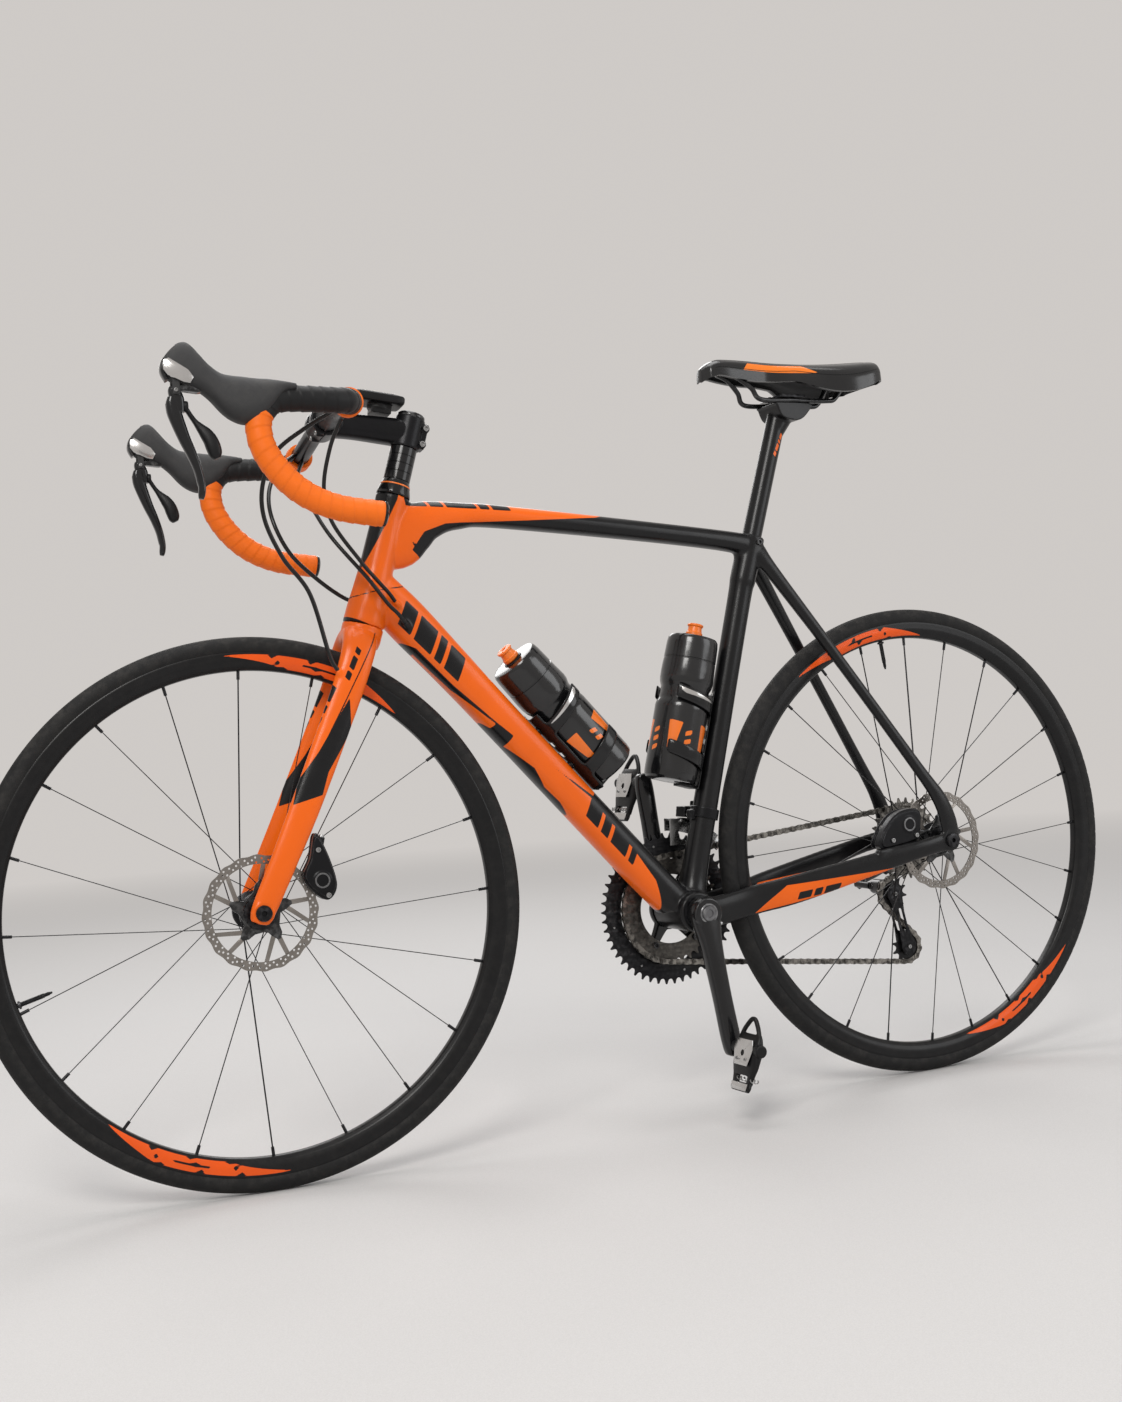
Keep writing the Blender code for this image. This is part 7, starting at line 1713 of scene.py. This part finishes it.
grip = finish("hood_rubber_ribbed", (0.012, 0.012, 0.013), (0.02, 0.02, 0.021), (0.5, 0.66), grain=(1500.0, 0.0003),
              weave=(260.0, 0.25, (0.024, 0.024, 0.025)), dust=0.1)
for side, tag in ((-1, "left"), (1, "right")):
    y = side * BAR_HALF
    rows = flow([(f, low, high, w, 0.0) for f, low, high, w in HOOD], 0.0022)
    skin = loft([oval(cockpit(f, y, (low + high) / 2), Y, Z, wide, high - low, 44, 2.5)
                 for f, low, high, wide, _ in rows])
    bar_cut = piped(along_bar(side, 0.004)[0][40:], BAR_RADIUS + 0.0024, 32)
    pivot = cockpit(0.208, y, -0.0095)
    ears = [block(pivot + Y * s * 0.0088 + Vector((0.0005, 0, 0.008)), (X, Y, Z), (0.009, 0.0022, 0.026))
            for s in (-1, 1)]
    hood = melted("hood_" + tag + "_rubber", [skin, *ears], 0.001, 3, [bar_cut])
    place_piece(hood, "steering", grip, ["hood_" + tag])
    seam = [cockpit(f, y, high + 0.0001) for f, low, high, w, _ in rows if 0.1 < f < 0.205]
    place_piece(build("hood_" + tag + "_seam", [piped(seam, 0.00055, 8)]), "steering", hood_rubber)
    lift = lambda u, v, h: cockpit(u, y, v) + Y * h
    badge = [(0.22, 0.0235), (0.214, 0.0262), (0.193, 0.0125), (0.188, 0.004), (0.192, -0.0028), (0.2, -0.0012),
             (0.216, 0.0068), (0.2205, 0.013)]
    plates = [plate(badge, [], s * 0.007, s * 0.0134, lift) for s in (-1, 1)]
    place_piece(build("hood_" + tag + "_side_plates", plates, bevel=0.0009), "steering", polished)
    shelf = [(0.201, -0.001), (0.19, -0.0035), (0.176, -0.0075), (0.175, -0.0098), (0.184, -0.011), (0.206, -0.008)]
    place_piece(build("hood_" + tag + "_bracket", [plate(shelf, [], -0.006, 0.006, lift)], bevel=0.0009), "steering",
                gloss_alloy)
    nose = strip([(0.217, 0.027, 0.016, 0.005), (0.2195, 0.0215, 0.019, 0.006), (0.2205, 0.013, 0.019, 0.006),
                  (0.2165, 0.003, 0.015, 0.005)], y)
    place_piece(build("hood_" + tag + "_nose", [nose]), "steering", gloss_alloy)

    arm = strip([(0.21, -0.004, 0.0125, 0.009), (0.21, -0.008, 0.013, 0.012), (0.208, -0.013, 0.0138, 0.015),
                 (0.206, -0.019, 0.014, 0.0155), (0.205, -0.033, 0.013, 0.013)], y)
    carrier = melted("lever_carrier_" + tag + "_forging", [pin(pivot, Y, 0.0074, 0.0052, 40), arm], 0.0006, 2)
    place_piece(carrier, "lever_carrier_" + tag, gloss_alloy, ["lever_carrier_" + tag])
    for s in (-1, 1):
        bolt("steering", pivot + Y * s * 0.0099, Y * s, 0.0024)
    root = cockpit(0.2078, y, -0.026)
    path = [(0.2118, -0.015, 0.0124, 0.01), (0.2118, -0.023, 0.0136, 0.015), (0.21, -0.034, 0.0142, 0.0165),
            (0.2066, -0.046, 0.0144, 0.0155), (0.201, -0.063, 0.0142, 0.0135), (0.1945, -0.08, 0.014, 0.0115),
            (0.1888, -0.098, 0.0132, 0.0096), (0.186, -0.115, 0.012, 0.0085), (0.1868, -0.125, 0.01, 0.008),
            (0.188, -0.1302, 0.0062, 0.0056)]
    blade = melted("lever_blade_" + tag + "_forging",
                   [rod(root, root - X * 0.0074, 0.0068, 40, round_off=0.0006), strip(path, y)], 0.0007, 3)
    place_piece(blade, "lever_blade_" + tag, gloss_alloy, ["lever_blade_" + tag])
    line = flow([cockpit(f + t * 0.49, y, u) for f, u, w, t in path[1:8]], 0.002)
    place_piece(build("lever_blade_" + tag + "_inlay", [loft([oval(p, Y, X, 0.0052, 0.001, 12, 3.0) for p in line])]),
                "lever_blade_" + tag, grey_alloy)
    bolt("lever_blade_" + tag, root - X * 0.0008, -X, 0.003)
    back = cockpit(0.2, y, -0.026)
    path = [(0.1975, -0.028, 0.01, 0.0052), (0.193, -0.036, 0.009, 0.0052), (0.1885, -0.043, 0.0088, 0.006),
            (0.183, -0.05, 0.011, 0.01), (0.178, -0.056, 0.014, 0.014), (0.173, -0.064, 0.0165, 0.016),
            (0.17, -0.073, 0.017, 0.0165), (0.168, -0.081, 0.015, 0.014), (0.1665, -0.085, 0.011, 0.008)]
    paddle = melted("shift_paddle_" + tag + "_moulding",
                    [rod(back, back + X * 0.005, 0.0062, 40, round_off=0.0005), strip(path, y)], 0.0007, 3)
    place_piece(paddle, "shift_paddle_" + tag, plastic, ["shift_paddle_" + tag])
print("hoods and levers:", len(hood.data.polygons), len(blade.data.polygons), "faces")

# %% Computer on its holder
SCREEN_WAY = Vector((-0.061, 0, 0.01)).normalized()
SCREEN_UP = Y.cross(SCREEN_WAY)
SCREEN = CLAMP + Vector((0.069, 0, 0.0285))
glass = finish("screen_glass", (0.02, 0.024, 0.024), (0.034, 0.04, 0.038), (0.05, 0.12), coat=0.9, coat_rough=0.03,
               cloud=(30.0, 0.5), grain=(800.0, 0.00001))
stations = [(-0.0345, 0.03, 0.005), (-0.0335, 0.0385, 0.0088), (-0.031, 0.0445, 0.0115), (-0.024, 0.047, 0.0125),
            (0.0, 0.0475, 0.0128), (0.026, 0.0478, 0.0125), (0.031, 0.045, 0.0115), (0.0335, 0.039, 0.0085),
            (0.0345, 0.031, 0.005)]
case = loft([oval(SCREEN + SCREEN_WAY * f, Y, SCREEN_UP, w, h, 48, 5.5) for f, w, h in stations])
holder = [block(SCREEN - SCREEN_UP * 0.0105 - SCREEN_WAY * 0.006, (SCREEN_WAY, Y, SCREEN_UP), (0.026, 0.024, 0.014)),
          rod(SCREEN - SCREEN_UP * 0.0058 - SCREEN_WAY * 0.004, SCREEN - SCREEN_UP * 0.012 - SCREEN_WAY * 0.004,
              0.0145, 40, round_off=0.001)]
stem_cut = loft([oval(STEM_BACK + STEM_WAY * (STEM_LENGTH * t), Y, STEM_SIDE, w + 0.0008, h + 0.0008, 32, 2.8)
                 for t, w, h in STEM_SHAPE])
computer = melted("computer_case", [case, *holder], 0.0009, 2, [stem_cut])
place_piece(computer, "steering", plastic, ["computer"])


def on_screen(u, v, h):
    return SCREEN + SCREEN_WAY * u + Y * v + SCREEN_UP * (0.006 + h)


window = [(-0.02, -0.019), (0.0235, -0.019), (0.025, -0.0175), (0.025, 0.0175), (0.0235, 0.019), (-0.02, 0.019),
          (-0.0215, 0.0175), (-0.0215, -0.0175)]
place_piece(build("computer_screen", [plate(window, [], -0.001, 0.0007, on_screen)], bevel=0.0003), "steering",
            glass)
keys = [plate([(-0.03, w - 0.0045), (-0.025, w - 0.0045), (-0.025, w + 0.0045), (-0.03, w + 0.0045)], [], -0.001,
              0.0009, on_screen)
        for w in (-0.011, 0.0, 0.011)]
place_piece(build("computer_keys", keys, bevel=0.0005), "steering", hood_rubber)
print("computer")

# %% [markdown]
# ## Hoses and cables
# Two thicker hoses work the brakes and two thinner cables the shifting. They come out from under the tape in front of
# the bar and go into the fork or the frame. Each is a tube along one smooth curve. Three of them cross from the bars
# to the frame; these stay fixed as they stand and ride with neither the steering nor the frame.

# %% Cords
HOSE, CABLE = 0.0054, 0.005


def under_tape(side, angle, size):
    """Where a cord comes out from under the tape, and a second place further in along the bar."""
    radius = BAR_RADIUS + 0.0003 + size / 2 + 0.0004
    aside = -unit(angle) * radius
    edge, inward = half_bar[TAPE_FIRST], (half_bar[TAPE_FIRST - 1] - half_bar[TAPE_FIRST]).normalized()
    return [Vector((p.x, side * p.y, p.z)) + aside * k for p, k in ((edge + inward * 0.0034, 1),
                                                                    (edge + inward * 0.022, 1.06))]


def run_cord(name, points, size, crosses):
    """One hose or cable as it stands. It rides with the steering, or, where it crosses to the frame, stays fixed as it
    stands.
    """
    path = flow(points, 0.004)
    made = build(name + "_tube", [piped(path, size / 2, 18)])
    made.data.materials.append(hose_skin)
    if crosses:
        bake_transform(made)
    else:
        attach(made, "steering")
    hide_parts(name)


front = under_tape(-1, 0.45, HOSE) + [CLAMP + Vector(p) for p in ((-0.0441, -0.106, -0.0286),
                                                                  (-0.0781, -0.084, -0.0526),
                                                                  (-0.0941, -0.066, -0.0886),
                                                                    (-0.0931, -0.054, -0.1286),
                                                                  (-0.0731, -0.047, -0.1756),
                                                                  (-0.0431, -0.045, -0.2206))]
start = FORK_PORT + FORK_PORT_WAY * 0.0003
run_cord("hose_front", [AT_REST @ p for p in front + [start + FORK_PORT_WAY * 0.022, start]], HOSE, False)
foot = on_steerer(HEAD_LOW)
for name, side, angle, size, upper, lower, (mouth, way) in (
    ("cable_left", -1, 1.35, CABLE, ((-0.0161, -0.1, -0.0526), (-0.0201, -0.066, -0.0946), (-0.0101, -0.052, -0.1346)),
     ((-0.0161, -0.049, 0.0783), (0.0099, -0.043, 0.0503)), PORTS[0]),
    ("cable_right", 1, 1.35, CABLE,
     ((-0.0181, 0.098, -0.0446), (-0.0261, 0.05, -0.0706), (-0.0241, 0.0, -0.1046), (-0.0091, -0.036, -0.1506)),
     ((-0.0061, -0.047, 0.0553), (0.0199, -0.041, 0.0243)), PORTS[1]),
    ("hose_rear", 1, 0.45, HOSE, ((-0.0401, 0.11, -0.0346), (-0.0601, 0.084, -0.0686), (-0.0631, 0.062, -0.1086),
                                  (-0.0461, 0.052, -0.1546)),
     ((-0.0401, 0.05, 0.0663), (-0.0061, 0.046, 0.0403)), PORTS[2]),
):
    way = Vector(way).normalized()
    start = foot + Vector(mouth) + way * 0.0003
    run = [AT_REST @ p for p in under_tape(side, angle, size) + [CLAMP + Vector(p) for p in upper]]
    run_cord(name, run + [foot + Vector(p) for p in lower] + [start + way * 0.016, start], size, True)

# %% [markdown]
# ## Saddle and post
# A racing saddle is a thin pad on a moulded shell: a raised nose, a dip, two wings and a skirt that turns under all
# round. The cover is pulled tight over firm foam, so cloth simulation would add nothing. It is lofted from many
# sections, and a shallow channel and the seams are worked into them. The rails are one bent bar that the post's head
# clamps.

# %% Saddle
NOSE_X, SADDLE_Z, SADDLE_LENGTH, SADDLE_HALF = -0.3155, 0.691, 0.27, 0.069
crown_rows = [(-1.0, 1.0, 0), (-0.995, 0.8, 0), (-0.97, 0.52, 0), (-0.86, 0.26, 0), (-0.66, 0.115, 0), (-0.4, 0.04, 0),
              (-0.18, 0.01, 0), (0, 0.0, 0)]
crown_rows += [(-y, z, 0) for y, z, _ in crown_rows[-2::-1]]
CROWN = [(float(y), float(z)) for y, z, _ in flow(crown_rows, 0.055)]


def saddle_half(t):
    """Half the width, t of the length behind the nose."""
    nose = 0.0165 + 0.0055 * sin(pi / 2 * min(1, t / 0.15)) + 0.004 * t
    u = max(0, (t - 0.34) / 0.66)
    return nose + (SADDLE_HALF - 0.024) * sin(pi / 2 * min(1, u * 1.35)) ** 1.7 - 0.012 * max(0, (u - 0.8) / 0.2) ** 2


def saddle_top(t):
    """The height of the middle: raised at the nose and the tail."""
    wave = 0.003 * cos(2 * pi * (t - 0.14) / 0.98)
    return SADDLE_Z + wave + 0.001 * t - 0.013 * max(0, 1 - t / 0.1) ** 2 - 0.006 * max(0, (t - 0.95) / 0.05) ** 2


def saddle_fall(t):
    """How far the skirt reaches down."""
    if t < 0.5:
        return 0.0185 + 0.0125 * sin(pi / 2 * min(1, t / 0.3)) - 0.002 * max(0, (t - 0.3) / 0.2)
    return 0.029 + 0.0185 * sin(pi * min(1, (t - 0.5) / 0.52)) ** 1.2


def saddle_section(t, sink, inset):
    """One section across, sunk below the cover and set in from its edge."""
    close = max(0, 1 - t / 0.02, 1 - (1 - t) / 0.02) if sink else 0
    fall = saddle_fall(t)
    sink += (fall - sink - 0.001) * close
    end = min(1, t / 0.06 + 0.45) * min(1, (1 - t) / 0.05 + 0.72)
    end = min(end, sqrt(max(0.0, 1 - max(0, 1 - t / 0.045) ** 2)) * 0.55 + 0.45,
              sqrt(max(0.0, 1 - max(0, 1 - (1 - t) / 0.04) ** 2)) * 0.28 + 0.72)
    half, x = saddle_half(t) * end - inset, NOSE_X + SADDLE_LENGTH * t
    groove = 0.0 if sink else 0.0022 * max(0.0, sin(pi * min(1, max(0, (t - 0.3) / 0.62)))) ** 0.7
    section = []
    for y, z in CROWN:
        dip = groove * max(0.0, 1 - (half * y / 0.011) ** 2) ** 2
        section.append(Vector((x, half * y, saddle_top(t) - sink - (fall - sink) * z - dip)))
    return section


def saddle_layer(ts, outer, inner):
    """A skin between two (sink, inset) pairs."""
    return loft([saddle_section(t, *outer) + saddle_section(t, *inner)[::-1] for t in ts])


cover_black = finish("saddle_cover", (0.0042, 0.0042, 0.0046), (0.0075, 0.0075, 0.008), (0.18, 0.28), coat=0.2,
                     coat_rough=0.12, fields=[("stripe", (0.88, 0.2, 0.012))],
                     grain=(1100.0, 0.00012), specular=0.45)
ts = np.concatenate([np.linspace(0, 0.06, 14), np.linspace(0.07, 0.93, 90), np.linspace(0.94, 1.0, 14)])
saddle = build("saddle_pad", [saddle_layer(ts, (0, 0), (0.012, 0.0045))], sharp=70)
spot = corners(saddle)
depth = np.array([saddle_top(min(1, max(0, (x - NOSE_X) / SADDLE_LENGTH))) for x in spot[:, 0]]) - spot[:, 2]
stripe = [(-0.257, 0.0165), (-0.248, 0.006), (-0.17, 0.007), (-0.15, 0.019), (-0.18, 0.0175)]
noted(saddle, "stripe", np.where(np.abs(spot[:, 1]) > 0.008, inside(np.column_stack([spot[:, 0], depth]), stripe),
                                 -1.0))
place_piece(saddle, "frame", cover_black, ["saddle"])
seams = []
for s in (-1, 1):
    for share in (0.3, 0.74):
        k = int(share * (len(CROWN) // 2)) if s < 0 else len(CROWN) - 1 - int(share * (len(CROWN) // 2))
        line = [saddle_section(t, 0, 0)[k] + Z * 0.0001 for t in np.linspace(0.06, 0.95, 60)]
        seams.append(piped(line, 0.00045, 8))
place_piece(build("saddle_seams", seams), "frame", hood_rubber)

# %% Shell and rails
POST_TOP, RAIL_Z = 0.617, 0.6365
RAIL_SEAT = Vector((post_point(POST_TOP).x + 0.009, 0, RAIL_Z))
under = np.linspace(0.05, 0.95, 70)
shell = build("saddle_shell", [saddle_layer(under, (0.0129, 0.0052), (0.016, 0.0082))], sharp=70)
place_piece(shell, "frame", plastic, ["saddle_base"])
half_rail = [Vector((NOSE_X + 0.03, 0.0045, SADDLE_Z - 0.016)), Vector((NOSE_X + 0.052, 0.012, SADDLE_Z - 0.022)),
             Vector((NOSE_X + 0.072, 0.018, SADDLE_Z - 0.038)),
             *(Vector((RAIL_SEAT.x + x, 0.022, RAIL_Z + z)) for x, z in ((-0.048, 0.0), (0.006, 0), (0.06, 0),
                                                                         (0.078, 0.005), (0.096, 0.033)))]
line = [Vector((p.x, -p.y, p.z)) for p in half_rail[::-1]] + half_rail
rails = build("saddle_rails", [piped(flow(line, 0.0025), 0.0035, 20)])
place_piece(rails, "frame", gloss_alloy)
cradle = [(-0.024, -0.008), (-0.015, -0.024), (0.012, -0.028), (0.03, -0.014), (0.03, -0.0039), (-0.024, -0.0039)]
shells = [rod(post_point(CLUSTER_Z - 0.078), post_point(POST_TOP) + Z * 0.002, 0.0136, 56),
          plate(smooth_outline(cradle, 0.002), [], -0.0255, 0.0255, upright(RAIL_SEAT)),
          rod(post_point(POST_TOP - 0.022), RAIL_SEAT - Z * 0.016, 0.0136, 48, 0.0165)]
grooves = [pin(RAIL_SEAT + Y * s * 0.022, X, 0.05, 0.0038, 24) for s in (-1, 1)]
post = melted("post_tube", shells, 0.0011, 4, grooves)
spot = corners(post)
axis = (post_point(POST_TOP) - post_point(CLUSTER_Z)).normalized()
height = (spot - np.array(post_point(CLUSTER_Z))) @ np.array(axis)
aside = (spot - np.array(post_point(CLUSTER_Z))) @ np.array((axis.z, 0, -axis.x))
marks = fields_of(np.column_stack([aside, height]),
                  bars((0.003, 0.118), (0.15, 1), (0.006, 0.01, 0.004, 0.008), 0.0045, 0.002, 0.0022))
noted(post, "paint", marks)
place_piece(post, "frame", painted, ["seatpost"])
jaw = [(-0.02, 0.0039), (-0.016, 0.008), (0.022, 0.008), (0.026, 0.0039)]
jaws = [plate(jaw, [], -0.0265, 0.0265, upright(RAIL_SEAT))]
jaws += [rod(RAIL_SEAT + X * x - Z * low, RAIL_SEAT + X * x + Z * high, 0.0027, 20)
         for x, low, high in ((0.023, 0.018, 0.009), (-0.019, 0.016, 0.008))]
place_piece(build("clamp_jaws", jaws, bevel=0.0006), "frame", black_alloy, ["saddle_clamp"])
bolt("frame", Vector((seat_line(0.4464) + 0.004, -0.0178, 0.437)), -Y, 0.0042, look="dark")
bolt("frame", RAIL_SEAT + X * 0.023 - Z * 0.0195, -Z, 0.0036)
bolt("frame", RAIL_SEAT - X * 0.019 - Z * 0.0215, -Z, 0.0036)
print("saddle:", len(saddle.data.polygons), "faces; post:", len(post.data.polygons))

# %% [markdown]
# ## Bottles in their cages
# A bottle is turned, but its waist is pressed into facets for grip. Its cage is one moulded strap: a spine on the
# tube and arms that spring round the bottle. It is drawn as a bent grid of faces, given its wall with Solidify and
# then rounded.

# %% Bottles
BOTTLE_RADIUS, BOTTLE_HEIGHT, SPREAD, CAGE_THICK = 0.0368, 0.2, radians(135), 0.0025
CAGE_INNER = (BOTTLE_RADIUS + 0.0006) / cos(SPREAD / 8)
bottle_skin = finish("bottle_plastic", (0.006, 0.006, 0.0065), (0.01, 0.01, 0.011), (0.12, 0.24), coat=0.3,
                     coat_rough=0.1, fields=[("paint", (0.88, 0.18, 0.012))], grain=(900.0, 0.00008),
                     specular=0.45)
bottle_rows = [(0.0, 0.8), (0.0008, 0.9), (0.0035, 0.965), (0.01, 0.985), (0.1, 1.0), (0.104, 0.985), (0.111, 0.912),
               (0.119, 0.895), (0.127, 0.905), (0.134, 0.975), (0.14, 0.998), (0.15, 0.995),
               (0.1655, 0.975), (0.166, 0.95), (0.1675, 0.95), (0.168, 0.975), (0.176, 0.97), (0.19, 0.955),
               (0.1965, 0.93), (0.1995, 0.875), (0.2, 0.8), (0.2, 0.3)]


def bottle(tag, foot, way, out):
    """The bottle with its lid, its facets and its colour fields, and the drinking nozzle."""
    n, rings, notes, fine = 96, [], [], []
    for (h0, r0), (h1, r1) in zip(bottle_rows, bottle_rows[1:]):
        k = max(1, round((h1 - h0) / 0.0022))
        fine += [(h0 + (h1 - h0) * i / k, r0 + (r1 - r0) * i / k) for i in range(k)]
    fine.append(bottle_rows[-1])
    a = 2 * pi * np.arange(n) / n
    for h, share in fine:
        facet = max(0.0, 1 - abs(h - 0.132) / 0.034)
        wave = sum(np.abs((a * 5 / (2 * pi) + lean * (h - 0.132)) % 1 - 0.5) for lean in (14, -14))
        r = BOTTLE_RADIUS * share * (1 - 0.045 * facet * (wave - 0.5))
        rings.append(np.array(foot + way * h) + np.outer(np.cos(a) * r, Y) + np.outer(np.sin(a) * r, out))
        flat = np.column_stack([(a - pi) * BOTTLE_RADIUS, np.full(n, h)])
        field = np.full(n, -1.0)
        for u in (-0.072, -0.024, 0.024, 0.072):
            field = np.maximum(field,
                               inside(flat,
                                      [(u - 0.006, 0.04), (u + 0.004, 0.042), (u + 0.011, 0.078), (u - 0.008, 0.08)]))
            for lift in (0.0, 0.012, 0.024):
                field = np.maximum(field,
                                   inside(flat, slanted((u + 0.0165, 0.036 + lift), (1, 0.35), 0.01, 0.006, 0.002)))
        notes.append(field)
    obj = build("bottle_" + tag + "_body", [loft(rings)], sharp=32)
    noted(obj, "paint", np.concatenate(notes))
    place_piece(obj, "bottle_" + tag, bottle_skin, ["bottle_" + tag])
    seat = build("bottle_" + tag + "_spout",
                 [turned([(0.1996, 0.014), (0.2012, 0.0136), (0.2018, 0.0086), (0.2098, 0.0085)], foot, way, 40)])
    place_piece(seat, "bottle_" + tag, plastic)
    top = BOTTLE_HEIGHT + 0.0019
    rows = [(top, 0.0088), (top, 0.0108), (top + 0.0012, 0.0115), (top + 0.0048, 0.0115), (top + 0.0058, 0.0104),
            (top + 0.01, 0.0094), (top + 0.013, 0.0094), (top + 0.0142, 0.0108),
            (top + 0.0162, 0.011), (top + 0.0172, 0.01), (top + 0.0175, 0.006), (top + 0.0165, 0.003),
            (top + 0.01, 0.0028), (top + 0.0098, 0.0088)]
    place_piece(build("nozzle_" + tag + "_valve", [turned(rows, foot, way, 48, hollow=True)], sharp=30),
                "nozzle_" + tag, orange_plastic, ["nozzle_" + tag])


def cage(tag, foot, way, out, stand):
    """The strap as a bent grid: a spine, two low arms that meet in front, and two high arms."""
    middle, columns, rows, verts, index = CAGE_INNER + CAGE_THICK / 2, 24, 21, [], {}

    def kept(i, j):
        """The spine has three slots, and the arms are two bands of the grid."""
        slot = i in (11, 12) and j // 3 in (2, 3, 4) and j % 3 == 1
        return j // 3 in (1, 5) or (i // 3 in (3, 4) and not slot)

    def vertex(i, j):
        if (i, j) not in index:
            a = -SPREAD + 2 * SPREAD * i / columns
            h = -0.004 + 0.019 * j / 3 + (0.02 * abs(a) / SPREAD) * min(1, j / 3)
            index[(i, j)] = len(verts)
            verts.append(foot + Y * (middle * sin(a)) - out * (middle * cos(a)) + way * h)
        return index[(i, j)]

    faces = [[vertex(*p) for p in ((i, j), (i + 1, j), (i + 1, j + 1), (i, j + 1))] for i in range(columns)
             for j in range(rows) if kept(i, j)]
    mesh = bpy.data.meshes.new("cage_" + tag + "_strap")
    mesh.from_pydata(verts, [], faces)
    strap = bpy.data.objects.new(mesh.name, mesh)
    scene.collection.objects.link(strap)
    wall = strap.modifiers.new("wall", "SOLIDIFY")
    wall.thickness, wall.offset = CAGE_THICK, 0.0
    soft = strap.modifiers.new("soft", "SUBSURF")
    soft.levels = soft.render_levels = 1
    settle(strap)
    strap.data.shade_smooth()
    place_piece(strap, "frame", gloss_plastic, ["cage_" + tag])
    ledge = foot - way * 0.0021 - out * (CAGE_INNER - 0.012)
    parts = [block(ledge, (Y, out, way), (0.026, 0.026, 0.0036))]
    for h in (0.045, 0.109):
        base = foot + way * h - out * middle
        parts.append(rod(base, base - out * (stand + CAGE_THICK / 2), 0.0055, 24))
        bolt("frame", base + out * 0.0014, out, 0.0034)
    place_piece(build("cage_" + tag + "_feet", parts, bevel=0.0006), "frame", plastic)
    band = []
    for s in (-1, 1):
        rings = []
        for k in range(21):
            a = s * (0.75 + 1.42 * k / 20)
            w = 0.0062 * (k / 20) ** 0.7 * (1 - max(0, k - 18) / 4) + 0.001
            h = -0.004 + 0.019 * 5.8 + 0.02 * abs(a) / SPREAD - w * 0.4
            away = Y * sin(a) - out * cos(a)
            rings.append(oval(foot + away * (middle + 0.0014) + way * h, way, away, w, 0.0009, 10, 4.0))
        band.append(loft(rings))
    place_piece(build("cage_" + tag + "_bands", band), "frame", polished)


DOWN_WAY = Vector((DOWN_TUBE[-3][0] - DOWN_TUBE[-2][0], 0, DOWN_TUBE[-3][2] - DOWN_TUBE[-2][2])).normalized()
DOWN_OUT = Vector((DOWN_WAY.z, 0, -DOWN_WAY.x))
SEAT_WAY = unit(SEAT_ANGLE)
SEAT_OUT = Vector((-SEAT_WAY.z, 0, SEAT_WAY.x))
reach = CAGE_INNER + CAGE_THICK
down_foot = Vector((DOWN_TUBE[-2][0], 0,
                    DOWN_TUBE[-2][2])) + DOWN_WAY * 0.1 + DOWN_OUT * (0.0252 + 0.0003 + 0.002 + reach)
seat_foot = Vector((seat_line(0.099), 0, 0.099)) + SEAT_OUT * (0.0166 + 0.0003 + 0.003 + reach)
for tag, foot, way, out, stand in (("down", down_foot, DOWN_WAY, DOWN_OUT, 0.002),
                                   ("seat", seat_foot, SEAT_WAY, SEAT_OUT, 0.003)):
    bottle(tag, foot, way, out)
    cage(tag, foot, way, out, stand)
print("bottles at", [round(c, 3) for c in down_foot], [round(c, 3) for c in seat_foot])

# %% [markdown]
# ## All the bolts
# Every bolt was noted where its piece was made. A tree now stands the same socket head on each note, turned to its
# direction and scaled to its radius, one mesh for each body.

# %% Make the bolts
ring_rows = [(-0.6, 1.0, 1.0), (0.5, 1.0, 1.0), (0.72, 0.9, 0.9), (0.75, 0.6, 0.52), (0.3, 0.56, 0.485),
             (0.3, 0.02, 0.02)]
head = []
for h, even, odd in ring_rows:
    head.append([(*polar((even, odd)[k % 2], a), h) for k, a in enumerate(turns(12))])
socket_head = build("socket_head", [loft(head)], sharp=35)
fastening, given, out = tree_of("Socket heads", [("Head", THING, None), ("Finish", LOOK, None)])
heads = add(fastening, "GeometryNodeMeshToPoints", {"Mesh": given["Mesh"]}).outputs[0]
turn = add(fastening, "FunctionNodeAlignRotationToVector", {"Vector": read(fastening, "way", "FLOAT_VECTOR")},
           axis="Z").outputs[0]
thing = add(fastening, "GeometryNodeObjectInfo", {"Object": given["Head"]}).outputs["Geometry"]
set_out = add(fastening, "GeometryNodeInstanceOnPoints",
              {"Points": heads, "Instance": thing, "Rotation": turn, "Scale": read(fastening, "size")}).outputs[0]
ended(fastening, set_out, out, given["Finish"])
for (body, look), found in bolts.items():
    made = point_cloud("bolts_" + body + "_" + look, [at for at, _, _ in found], way=[w for _, w, _ in found],
                       size=[r for _, _, r in found])
    metal = dark_bolt if look == "dark" else bolt_steel
    grown(made, fastening, Head=socket_head, Finish=metal)
    dress(made, body, metal)
bpy.data.objects.remove(socket_head)
print("bolts:", sum(len(found) for found in bolts.values()), "on", len(bolts), "meshes")

# %% Measure and finish
print("faces:", sum(count_faces.values()), "in", len(count_faces), "pieces")
